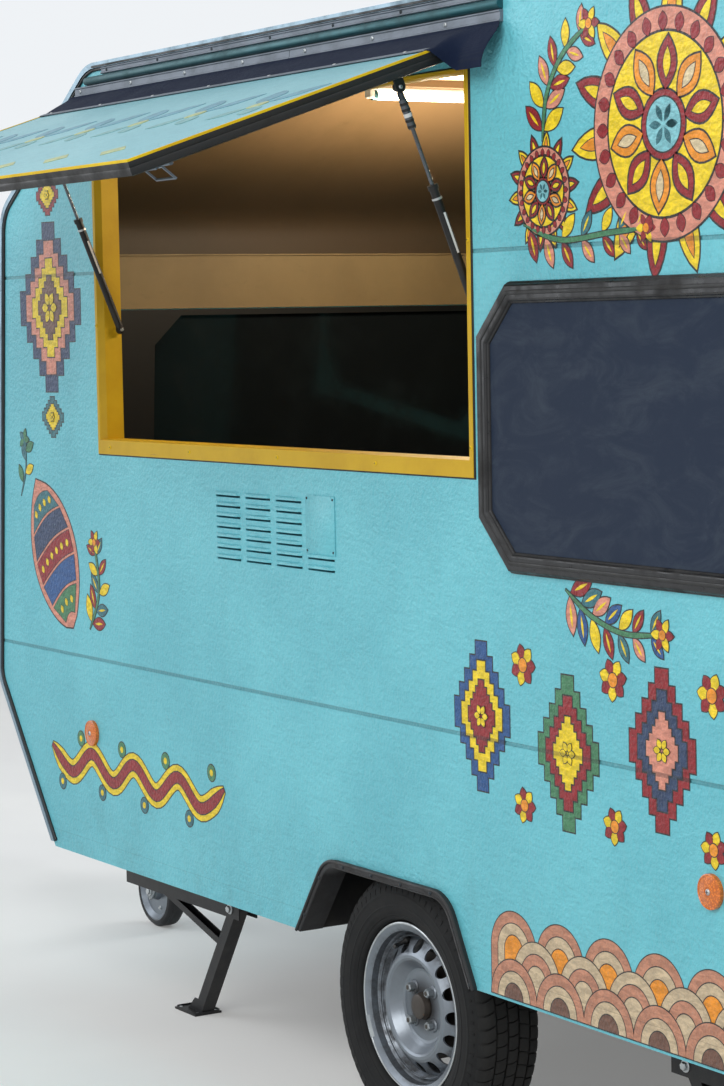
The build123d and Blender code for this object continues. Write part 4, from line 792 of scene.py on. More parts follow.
class Solid:
    """Gathers the faces of one piece and makes it an object."""

    def __init__(self) -> None:
        """Start without faces."""
        self.mesh = bmesh.new()
        self.finishes: list[Finish] = []

    def number(self, finish: Finish) -> int:
        """Number of a finish among the piece's materials.

        Args:
            finish: The finish.

        Returns:
            Its number.
        """
        if finish not in self.finishes:
            self.finishes.append(finish)
        return self.finishes.index(finish)

    def face(self, points: Sequence[bmesh.types.BMVert], number: int) -> None:
        """Add one face, unless it is there already.

        Args:
            points: The face's corners in order.
            number: Number of its finish.
        """
        try:
            made = self.mesh.faces.new(points)
        except ValueError:
            return
        made.material_index = number

    def rows(self, rows: Sequence[Sequence[Vector]], finish: Finish, round_row: bool = False,
            round_rows: bool = False, caps: bool = False) -> None:
        """Skin neighbouring rows of points with four-sided faces.

        Args:
            rows: Rows with the same number of points.
            finish: The faces' finish.
            round_row: Whether each row closes on itself.
            round_rows: Whether the last row joins the first.
            caps: Whether the first and last rows are filled.
        """
        number = self.number(finish)
        made = [[self.mesh.verts.new(p) for p in row] for row in rows]
        count = len(made[0])
        last_row = len(made) if round_rows else len(made) - 1
        last = count if round_row else count - 1
        for i in range(last_row):
            one, two = made[i], made[(i + 1) % len(made)]
            for j in range(last):
                k = (j + 1) % count
                self.face((one[j], one[k], two[k], two[j]), number)
        if caps:
            self.face(made[0][::-1], number)
            self.face(made[-1], number)

    def prism(self, outline: Sequence[Vector], push: Vector, finish: Finish) -> None:
        """Closed prism over an outline."""
        self.rows([list(outline), [p + push for p in outline]], finish, True, False, True)

    def block(self, middle: Vector, size: Triple, finish: Finish, turn: Matrix | None,
            edge: float = 0.0) -> None:
        """Box with broken edges.

        Args:
            middle: Its middle.
            size: Its three sizes.
            finish: Its finish.
            turn: Its rotation, if it has one.
            edge: Width of the broken edges.
        """
        hx, hy, hz = (s / 2 for s in size)
        e = min(edge, hx / 2, hy / 2, hz / 2)
        turn = turn or Matrix.Identity(3)
        rows = []
        for z, cut in ((-hz, e), (-hz + e, 0.0), (hz - e, 0.0), (hz, e)):
            x, y = hx - cut, hy - cut
            ring = [(-x, -y + e), (-x + e, -y), (x - e, -y), (x, -y + e), (x, y - e), (x - e, y),
                (-x + e, y), (-x, y - e)]
            rows.append([middle + turn @ Vector((a, b, z)) for a, b in ring])
        self.rows(rows, finish, True, False, True)

    def lathe(self, section: Sequence[Point], foot: Vector, along: Vector, finish: Finish,
            steps: int, closed: bool = False) -> None:
        """Turned form about an axis.

        Args:
            section: Distance along the axis and radius of each point.
            foot: Start of the axis.
            along: Direction of the axis.
            finish: Its finish.
            steps: Faces round it.
            closed: Whether the section is a closed ring.
        """
        along = along.normalized()
        side = along.orthogonal().normalized()
        up = along.cross(side)
        rows = []
        for i in range(steps):
            angle = 2 * math.pi * i / steps
            out = side * math.cos(angle) + up * math.sin(angle)
            rows.append([foot + along * a + out * max(r, 1e-5) for a, r in section])
        self.rows(rows, finish, closed, True)

    def sweep(self, path: Sequence[Vector], section: Sequence[Point], normal: Vector, finish: Finish,
            closed: bool = False) -> None:
        """Carry a section along a path in one plane.

        Args:
            path: The path's points.
            section: Points of the section, sideways from the path and along normal.
            normal: Normal of the path's plane.
            finish: Its finish.
            closed: Whether the path closes on itself.
        """
        count = len(path)
        rows = []
        for i, here in enumerate(path):
            before = path[(i - 1) % count] if closed or i else here
            after = path[(i + 1) % count] if closed or i < count - 1 else here
            into = (here - before).normalized() if (here - before).length > 1e-9 else None
            out = (after - here).normalized() if (after - here).length > 1e-9 else None
            first = into or out
            second = out or into
            way = (first + second).normalized()
            aside = normal.cross(way).normalized()
            half = max(0.35, math.sqrt(max(0.0, (1 + first.dot(second)) / 2)))
            rows.append([here + aside * (a / half) + normal * n for a, n in section])
        self.rows(rows, finish, True, closed, not closed)

    def screw(self, place: Vector, normal: Vector, finish: Finish, radius: float, turn: float = 0.4,
            hexagon: bool = False) -> None:
        """Pan-head screw with a cross recess, or a hexagon bolt.

        Args:
            place: Middle of the head's seat.
            normal: Direction that the head faces.
            finish: The head's finish.
            radius: The head's radius.
            turn: Angle of the recess.
            hexagon: Whether it is a hexagon head on a washer.
        """
        normal = normal.normalized()
        side = normal.orthogonal().normalized()
        up = normal.cross(side)
        if hexagon:
            washer = [(0.0, radius * 1.45), (radius * 0.2, radius * 1.45), (radius * 0.25, radius * 1.35),
                (radius * 0.25, 0.0)]
            self.lathe(washer, place, normal, finish, 24)
            foot = place + normal * radius * 0.2
            self.lathe([(0.0, radius), (radius * 0.62, radius), (radius * 0.78, radius * 0.86),
                (radius * 0.78, 0.0)], foot, normal, finish, 6)
            return
        dome = [(0.0, radius), (radius * 0.22, radius * 0.97), (radius * 0.42, radius * 0.78),
            (radius * 0.52, radius * 0.45), (radius * 0.54, 0.0)]
        self.lathe(dome, place, normal, finish, 14)
        for extra in (0.0, math.pi / 2):
            way = side * math.cos(turn + extra) + up * math.sin(turn + extra)
            wide = normal.cross(way)
            a, b = way * radius * 0.55, wide * radius * 0.1
            top = place + normal * radius * 0.5
            self.prism([top - a - b, top + a - b, top + a + b, top - a + b], normal * radius * 0.07,
                Palette.DARK_SCREW)

    def piece(self, name: str, body: str, slot: str, smooth: float = 32.0, replaces: Sequence[str] = (),
            ride: bool = True) -> Object:
        """Make the object and fasten it to its body.

        Args:
            name: The piece's name.
            body: The CAD body it rides on.
            slot: The record's material slot; not used.
            smooth: Edges below this angle are shaded smooth.
            replaces: CAD nodes that it stands for.
            ride: Whether it rides on the body at once.

        Returns:
            The object.
        """
        bmesh.ops.recalc_face_normals(self.mesh, faces=self.mesh.faces)
        data = bpy.data.meshes.new(name)
        self.mesh.to_mesh(data)
        self.mesh.free()
        for finish in self.finishes:
            data.materials.append(Palette.get(finish))
        data.polygons.foreach_set("use_smooth", [True] * len(data.polygons))
        data.set_sharp_from_angle(angle=math.radians(smooth))
        made = bpy.data.objects.new(name, data)
        bpy.context.scene.collection.objects.link(made)
        if replaces:
            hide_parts(*replaces)
        if ride:
            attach(made, body)
        log.info("%s: %d faces on %s", name, len(data.polygons), body)
        return made


def dress(finish: Finish, *nodes: str) -> None:
    """Give CAD nodes a finish.

    Args:
        finish: The finish.
        *nodes: Names of the nodes.
    """
    for name in nodes:
        node = frame["nodes"][name]
        node.data.materials.clear()
        node.data.materials.append(Palette.get(finish))


def arc(centre: Point, radius: float, start: float, end: float, steps: int) -> list[Point]:
    """Points on an arc.

    Args:
        centre: The arc's centre.
        radius: Its radius.
        start: First angle in degrees.
        end: Last angle in degrees.
        steps: Number of parts.

    Returns:
        The points, both ends included.
    """
    points = []
    for i in range(steps + 1):
        angle = math.radians(start + (end - start) * i / steps)
        points.append((centre[0] + radius * math.cos(angle), centre[1] + radius * math.sin(angle)))
    return points


def rounded(corners: Sequence[Triple], steps: int) -> list[Point]:
    """Closed outline with rounded corners.

    Args:
        corners: Place and radius of each corner.
        steps: Parts of each rounding.

    Returns:
        The outline's points.
    """
    points: list[Point] = []
    count = len(corners)
    for i, (x, y, radius) in enumerate(corners):
        here = Vector((x, y))
        if radius <= 0:
            points.append((x, y))
            continue
        before = (Vector(corners[i - 1][:2]) - here).normalized()
        after = (Vector(corners[(i + 1) % count][:2]) - here).normalized()
        half = before.angle(after) / 2
        run = radius / math.tan(half)
        first, last = here + before * run, here + after * run
        centre = here + (before + after).normalized() * (radius / math.sin(half))
        a0 = math.atan2(*(first - centre).yx)
        a1 = math.atan2(*(last - centre).yx)
        turn = (a1 - a0 + math.pi) % (2 * math.pi) - math.pi
        for k in range(steps + 1):
            angle = a0 + turn * k / steps
            points.append((centre.x + radius * math.cos(angle), centre.y + radius * math.sin(angle)))
    return points


@dataclass(frozen=True)
class Face:
    """Flat face that ornament, strips and screws lie on."""

    origin: Vector
    right: Vector
    up: Vector

    @property
    def out(self) -> Vector:
        """Normal of the face."""
        return self.right.cross(self.up).normalized()

    def at(self, u: float, v: float, lift: float = 0.0) -> Vector:
        """Point at u along, v up and lift off the face."""
        return self.origin + self.right * u + self.up * v + self.out * lift


SERVING = Face(spot(0, -HALF_WIDTH, 0), AFT, UP)
DOOR = Face(spot(0, HALF_WIDTH, 0), Vector((-1, 0, 0)), UP)


def body_side(inset: float, steps: int) -> list[Point]:
    """Side view of the body, shrunk by inset.

    Args:
        inset: Metres inside the outer line.
        steps: Parts of each rounding.

    Returns:
        The outline's points, counted from the wheel's axle.
    """
    table = ((1.475, 0.4, 0.0), (*SKIRT, 0.08), (*EAVES, 0.11), (1.17, ROOF_Z, 0.16))
    corners = [(BODY_MIDDLE - half, z) for half, z, _ in table]
    corners += [(BODY_MIDDLE + half, z) for half, z, _ in reversed(table)]
    radii = [r for _, _, r in table] + [r for _, _, r in reversed(table)]
    shrunk = []
    count = len(corners)
    for i, corner in enumerate(corners):
        here = Vector(corner)
        into = (here - Vector(corners[i - 1])).normalized()
        out = (Vector(corners[(i + 1) % count]) - here).normalized()
        left = Vector((into.y, -into.x)) + Vector((out.y, -out.x))
        half = into.angle(out) / 2
        move = left.normalized() * (inset / math.cos(half))
        radius = max(0.0, radii[i] - inset) if radii[i] else 0.0
        shrunk.append((here.x + move.x, here.y + move.y, radius))
    return rounded(shrunk, steps)


def grown(outline: Sequence[Point], amount: float) -> list[Point]:
    """Move an outline's corners outwards.

    Args:
        outline: The closed outline.
        amount: Metres outwards; negative shrinks it.

    Returns:
        The moved outline.
    """
    count = len(outline)
    area = sum(outline[i - 1][0] * outline[i][1] - outline[i][0] * outline[i - 1][1]
        for i in range(count))
    sign = 1 if area > 0 else -1
    moved = []
    for i, (x, y) in enumerate(outline):
        into = Vector((x - outline[i - 1][0], y - outline[i - 1][1]))
        out = Vector((outline[(i + 1) % count][0] - x, outline[(i + 1) % count][1] - y))
        if into.length < 1e-9 or out.length < 1e-9:
            moved.append((x, y))
            continue
        into.normalize()
        out.normalize()
        normal = Vector((into.y + out.y, -into.x - out.x))
        if normal.length < 1e-6:
            normal = Vector((into.y, -into.x))
        normal.normalize()
        half = max(0.5, abs(normal.dot(Vector((into.y, -into.x)))))
        moved.append((x + sign * normal.x * amount / half, y + sign * normal.y * amount / half))
    return moved


def wobbled(outline: Sequence[Point], amount: float, seed: int) -> list[Point]:
    """Give an outline the unevenness of a painted one.

    Args:
        outline: The outline.
        amount: Largest shift in metres.
        seed: Number that fixes the unevenness.

    Returns:
        The uneven outline.
    """
    draw = random.Random(seed)
    waves = [(draw.uniform(8, 40), draw.uniform(0, 6.28), draw.uniform(0.3, 1)) for _ in range(4)]
    total = sum(w for _, _, w in waves)
    moved = []
    for x, y in outline:
        a = sum(w * math.sin(f * (x + 0.7 * y) + p) for f, p, w in waves) / total
        b = sum(w * math.cos(f * (y - 0.6 * x) + p) for f, p, w in waves) / total
        moved.append((x + a * amount, y + b * amount))
    return moved


def disc(centre: Point, radius: float, steps: int) -> list[Point]:
    """Round outline."""
    return arc(centre, radius, 0, 360, steps)[:-1]


def petal(centre: Point, start: float, end: float, width: float, angle: float, sharp: float,
        steps: int = 8) -> list[Point]:
    """Leaf shape that points away from a centre.

    Args:
        centre: The centre.
        start: Where it starts, from the centre.
        end: Where it ends.
        width: Its greatest width.
        angle: Its direction in degrees.
        sharp: Above 1 the ends are sharper, below 1 they are rounder.
        steps: Parts along it.

    Returns:
        Its outline.
    """
    way = Vector((math.cos(math.radians(angle)), math.sin(math.radians(angle))))
    side = Vector((-way.y, way.x))
    right, left = [], []
    for i in range(steps + 1):
        t = i / steps
        half = width / 2 * math.sin(math.pi * t) ** sharp
        here = Vector(centre) + way * (start + (end - start) * t)
        right.append(tuple(here - side * half))
        left.append(tuple(here + side * half))
    return right + left[-2:0:-1]


def curve(points: Sequence[Point], steps: int = 24) -> list[Point]:
    """Smooth line through a few points.

    Args:
        points: Points that the line passes.
        steps: Parts between two neighbours.

    Returns:
        Points on the line.
    """
    padded = [points[0], *points, points[-1]]
    line = []
    for i in range(1, len(padded) - 2):
        p0, p1, p2, p3 = (Vector(p) for p in padded[i - 1:i + 3])
        for k in range(steps):
            t = k / steps
            here = 0.5 * (2 * p1 + (p2 - p0) * t + (2 * p0 - 5 * p1 + 4 * p2 - p3) * t * t
                + (3 * p1 - p0 - 3 * p2 + p3) * t ** 3)
            line.append((here.x, here.y))
    line.append(tuple(points[-1]))
    return line


def band(line: Sequence[Point], low: float, high: float, taper: float) -> list[Point]:
    """Outline between two offsets of a line.

    Args:
        line: The line.
        low: Offset of one edge.
        high: Offset of the other edge.
        taper: Share of each end over which it narrows to its middle.

    Returns:
        The outline.
    """
    one, two = [], []
    count = len(line)
    for i, (x, y) in enumerate(line):
        before, after = line[max(i - 1, 0)], line[min(i + 1, count - 1)]
        way = Vector((after[0] - before[0], after[1] - before[1])).normalized()
        side = Vector((-way.y, way.x))
        t = i / (count - 1)
        share = max(0.12, min(1.0, min(t, 1 - t) / taper)) ** 0.6
        mid = (low + high) / 2
        for edge, out in ((low, one), (high, two)):
            reach = mid + (edge - mid) * share
            out.append((x + side.x * reach, y + side.y * reach))
    return one + two[::-1]


class Layer(Enum):
    """How many films of paint a patch lies on."""

    GROUND = 1
    FIRST = 2
    SECOND = 3
    THIRD = 4
    FOURTH = 5
    TOP = 6


@dataclass
class Ornament:
    """Painted ornament on one face: films of paint, each with a dark outline."""

    face: Face
    seed: int = 1
    solid: Solid = field(default_factory=Solid)
    count: int = 0

    def patch(self, outline: Sequence[Point], finish: Finish, layer: Layer, line: float,
            wobble: float = 0.0015) -> None:
        """Lay one film of paint.

        Args:
            outline: Its outline on the face.
            finish: Its paint.
            layer: The film that it lies on.
            line: Width of its outline; 0 for none.
            wobble: Unevenness in metres.
        """
        self.count += 1
        uneven = wobbled(outline, wobble, self.seed) if wobble else list(outline)
        height = PAINT_FILM * layer.value
        if line:
            self.film(grown(uneven, line), Palette.BLACK, height - 0.5 * PAINT_FILM)
        self.film(uneven, finish, height + self.count * 1e-7)

    def film(self, outline: Sequence[Point], finish: Finish, height: float) -> None:
        """Closed flat prism of paint with its top at a height over the face."""
        foot = [self.face.at(u, v, 0.0001) for u, v in outline]
        self.solid.prism(foot, self.face.out * (height - 0.0001), finish)

    def petals(self, centre: Point, start: float, end: float, width: float, number: int,
            finishes: Sequence[Finish], layer: Layer, turn: float, sharp: float, line: float) -> None:
        """Ring of petals in turning colours.

        Args:
            centre: The ring's centre.
            start: Where a petal starts.
            end: Where it ends.
            width: Its width.
            number: How many petals.
            finishes: Their paints in turn.
            layer: The film that they lie on.
            turn: Angle of the first one in degrees.
            sharp: How pointed they are.
            line: Width of their outline.
        """
        for i in range(number):
            shape = petal(centre, start, end, width, turn + 360 * i / number, sharp)
            self.patch(shape, finishes[i % len(finishes)], layer, line)

    def rosette(self, centre: Point, size: float) -> None:
        """Large flower of rings and petals in yellow, red and salmon.

        Args:
            centre: Its middle.
            size: Radius of its round ground.
        """
        p = Palette
        self.petals(centre, 0.6 * size, 1.34 * size, 0.27 * size, 14, (p.RED, p.YELLOW_ART), Layer.GROUND,
            6, 0.75, 0.004)
        self.petals(centre, 0.8 * size, 1.22 * size, 0.11 * size, 14, (p.YELLOW_ART, p.ORANGE),
            Layer.FIRST, 6, 0.9, 0.002)
        self.patch(disc(centre, size, 72), p.SALMON, Layer.SECOND, 0.004)
        self.petals(centre, 0.8 * size, 0.965 * size, 0.12 * size, 24, (p.RED,), Layer.THIRD, 0, 0.8,
            0.0015)
        self.patch(disc(centre, 0.79 * size, 64), p.YELLOW_ART, Layer.THIRD, 0.005)
        self.petals(centre, 0.3 * size, 0.76 * size, 0.26 * size, 10, (p.RED, p.ORANGE), Layer.FOURTH, 12,
            0.9, 0.004)
        self.petals(centre, 0.4 * size, 0.66 * size, 0.1 * size, 10, (p.YELLOW_ART, p.CREAM), Layer.TOP,
            12, 0.9, 0.002)
        self.patch(disc(centre, 0.3 * size, 40), p.RED, Layer.FOURTH, 0.004)
        self.patch(disc(centre, 0.235 * size, 40), p.SKY, Layer.TOP, 0.003)
        self.petals(centre, 0.03 * size, 0.2 * size, 0.075 * size, 6, (p.TEAL,), Layer.TOP, 0, 0.9,
            0.0015)

    def lozenge(self, centre: Point, wide: float, tall: float, colours: Sequence[Finish]) -> None:
        """Stepped lozenge of nested bands with a small flower in its middle.

        Args:
            centre: Its middle.
            wide: Half its width.
            tall: Half its height.
            colours: Paints of its bands from the outside.
        """
        count = len(colours)
        steps = 5
        for i, finish in enumerate(colours):
            share = 1 - i / (count + 0.8)
            corner = []
            for k in range(steps):
                corner += [(1 - k / steps, k / steps), (1 - k / steps, (k + 1) / steps)]
            ring = corner + [(-a, b) for a, b in corner[::-1]] + [(-a, -b) for a, b in corner]
            ring += [(a, -b) for a, b in corner[::-1]]
            outline: list[Point] = []
            for a, b in ring:
                here = (centre[0] + a * wide * share, centre[1] + b * tall * share)
                if not outline or (Vector(here) - Vector(outline[-1])).length > 1e-6:
                    outline.append(here)
            if (Vector(outline[0]) - Vector(outline[-1])).length < 1e-6:
                outline.pop()
            self.patch(outline, finish, Layer(min(5, 1 + i)), 0.003)
        size = min(wide, tall) * 0.24
        self.petals(centre, size * 0.2, size, size * 0.55, 6, (Palette.YELLOW_ART,), Layer.TOP, 0, 0.8,
            0.0015)

    def feather(self, foot: Point, length: float, width: float, angle: float,
            colours: Sequence[Finish]) -> None:
        """Broad leaf with bands of colour and rows of small ovals on them.

        Args:
            foot: Its lower end.
            length: Its length.
            width: Its width.
            angle: Its direction in degrees.
            colours: The bands' paints from the foot.
        """
        way = Vector((math.cos(math.radians(angle)), math.sin(math.radians(angle))))
        side = Vector((-way.y, way.x))

        def half(t: float) -> float:
            """Half width at t along the leaf."""
            return width / 2 * math.sin(math.pi * min(1.0, t * 1.02)) ** 0.62

        def ring(t0: float, t1: float) -> list[Point]:
            """Outline of one bowed band.

            Args:
                t0: Its start along the leaf.
                t1: Its end.

            Returns:
                The outline.
            """
            inset, bow = 0.018, 0.05
            points = []
            for t, sign in ((t0, 1), (t1, -1)):
                for k in range(13):
                    s = sign * (1 - k / 6)
                    reach = max(0.0, half(t) - inset)
                    lift = t * length + bow * length * (1 - s * s) * 0.6
                    here = Vector(foot) + way * lift + side * (s * reach)
                    points.append((here.x, here.y))
            return points

        body = []
        for i in range(25):
            here = Vector(foot) + way * (length * i / 24) - side * half(i / 24)
            body.append((here.x, here.y))
        for i in range(23, 0, -1):
            here = Vector(foot) + way * (length * i / 24) + side * half(i / 24)
            body.append((here.x, here.y))
        self.patch(body, Palette.SALMON, Layer.GROUND, 0.004)
        count = len(colours)
        for i, finish in enumerate(colours):
            t0 = 0.07 + 0.82 * i / count
            t1 = 0.07 + 0.82 * (i + 0.86) / count
            self.patch(ring(t0, t1), finish, Layer.FIRST, 0.002)
            if i % 2 == 0:
                number = max(3, int(2 * (half((t0 + t1) / 2) - 0.02) / 0.032))
                for k in range(number):
                    s = (k + 0.5) / number * 2 - 1
                    mid_t = (t0 + t1) / 2
                    reach = half(mid_t) - 0.026
                    lift = mid_t * length + 0.03 * length * (1 - s * s)
                    here = Vector(foot) + way * lift + side * (s * reach)
                    tooth = petal((here.x, here.y), -0.011, 0.011, 0.016, angle, 0.8, 4)
                    self.patch(tooth, Palette.YELLOW_ART, Layer.SECOND, 0.0012, 0.0005)

    def garland(self, line: Sequence[Point], colours: Sequence[Finish], leaf: float, stem: float,
            number: int) -> None:
        """Curved stem with pairs of leaves in turning colours.

        Args:
            line: Points that the stem passes.
            colours: The leaves' paints.
            leaf: Length of a leaf.
            stem: Width of the stem.
            number: Pairs of leaves.
        """
        path = curve(line)
        self.patch(band(path, -stem / 2, stem / 2, 0.2), Palette.GREEN, Layer.SECOND, 0.002)
        for i in range(number):
            k = int((i + 0.6) / (number + 0.4) * (len(path) - 2))
            here, ahead = path[k], path[k + 1]
            way = math.degrees(math.atan2(ahead[1] - here[1], ahead[0] - here[0]))
            size = leaf * (1.0 - 0.35 * i / number)
            for sign in (-1, 1):
                finish = colours[(2 * i + (sign > 0)) % len(colours)]
                shape = petal(here, 0.006, size, size * 0.42, way + sign * 52, 0.85)
                self.patch(shape, finish, Layer.FIRST, 0.0025)
                vein = petal(here, size * 0.25, size * 0.82, size * 0.09, way + sign * 52, 1.0, 5)
                self.patch(vein, Palette.YELLOW_ART, Layer.SECOND, 0.0)
        tip = path[-1]
        self.petals(tip, 0.0, leaf * 0.42, leaf * 0.22, 6, (Palette.RED, Palette.YELLOW_ART),
            Layer.SECOND, 0, 0.8, 0.002)
        self.patch(disc(tip, leaf * 0.12, 16), Palette.ORANGE, Layer.THIRD, 0.0015)

    def sprig(self, foot: Point, size: float, angle: float, colours: Sequence[Finish]) -> None:
        """Small twig with five leaves and a bud.

        Args:
            foot: Its lower end.
            size: Its length.
            angle: Its direction in degrees.
            colours: Paints of its leaves in turn.
        """
        way = Vector((math.cos(math.radians(angle)), math.sin(math.radians(angle))))
        side = Vector((-way.y, way.x))
        tip = Vector(foot) + way * size + side * size * 0.16
        mid = Vector(foot) + way * size * 0.55 - side * size * 0.05
        path = curve([foot, tuple(mid), tuple(tip)], 10)
        self.patch(band(path, -size * 0.022, size * 0.022, 0.3), Palette.TEAL, Layer.FIRST, 0.0015)
        for i, (k, lean) in enumerate(((5, 48), (8, -46), (12, 42), (15, -44))):
            shape = petal(path[k], 0.004, size * 0.36, size * 0.17, angle + lean, 0.85, 6)
            self.patch(shape, colours[i % len(colours)], Layer.SECOND, 0.0018)
        bud = tuple(path[-1])
        self.petals(bud, 0.0, size * 0.2, size * 0.11, 5, (colours[0], colours[-1]), Layer.THIRD, angle,
            0.8, 0.0015)

    def scales(self, left: float, right: float, low: float, radius: float,
            rows: Sequence[Sequence[Finish]]) -> None:
        """Border of overlapping scales, the highest row at the back.

        Args:
            left: Start of the border.
            right: End of the border.
            low: Height of its straight lower edge.
            radius: Radius of a scale.
            rows: Paints of a scale's bands, one entry for each row from the top.
        """
        number = len(rows)
        for row, colours in enumerate(rows):
            level = number - 1 - row
            height = low + level * radius * 0.62
            shift = radius * (level % 2)
            count = int(round((right - left) / (2 * radius)))
            pitch = (right - left) / count
            for k in range(count + (0 if level % 2 == 0 else -1)):
                middle = (left + pitch * (k + 0.5) + shift * pitch / (2 * radius), height)
                for i, finish in enumerate(colours):
                    reach = radius * (1 - i / (len(colours) + 0.3))
                    shape = arc(middle, reach, 0, 180, 26)
                    if level:
                        shape = shape + [(middle[0] - reach, low + 0.002), (middle[0] + reach, low + 0.002)]
                    rank = (0.4 + row * 1.6 + 0.38 * i) * PAINT_FILM
                    self.film(grown(shape, 0.0022), Palette.BLACK, rank)
                    self.film(shape, finish, rank + 0.19 * PAINT_FILM)

    def finish(self, name: str, body: str = "body", slot: str = "body_paint") -> Object:
        """Make the ornament an object that rides on a body."""
        return self.solid.piece(name, body, slot)


DROP = Vector((0.0, 0.9483, 0.3173))
HATCH_TOP = Face(spot(0, -1.0476, 2.2908), AFT, DROP)
HATCH_UNDER = Face(spot(0, -1.0387, 2.2643), Vector((-1, 0, 0)), DROP)
REAR_SKIRT = Face(spot(1.4598, 0, 0.6), ASIDE, Vector((0.5994, 0, 0.8005)))
SIDES = ((SERVING, 1), (DOOR, -1))


def turned(face: Face) -> Matrix:
    """Rotation that lays a block's x, y and z along a face's right, up and out."""
    return Matrix((face.right, face.up, face.out)).transposed()


def lay(face: Face, points: Iterable[Point], lift: float = 0.0) -> list[Vector]:
    """Put an outline on a face."""
    return [face.at(u, v, lift) for u, v in points]


def box_outline(left: float, low: float, right: float, high: float) -> list[Point]:
    """Rectangle's corners."""
    return [(left, low), (right, low), (right, high), (left, high)]


def soft(corners: Sequence[Point], radius: float, steps: int = 5) -> list[Point]:
    """Closed outline with all its corners rounded alike."""
    return rounded([(x, y, radius) for x, y in corners], steps)


def along_line(points: Sequence[Point], pitch: float, start: float = 0.0) -> list[Point]:
    """Places at an even pitch on an open line.

    Args:
        points: The line's corners.
        pitch: Distance between two places.
        start: Distance of the first one.

    Returns:
        The places.
    """
    places, rest = [], start
    for one, two in zip(points, points[1:]):
        a, b = Vector(one), Vector(two)
        length = (b - a).length
        while rest <= length:
            here = a + (b - a) * (rest / length if length else 0)
            places.append((here.x, here.y))
            rest += pitch
        rest -= length
    return places


class Side(Enum):
    """The two sides of the trailer."""

    SERVING = -1
    DOOR = 1


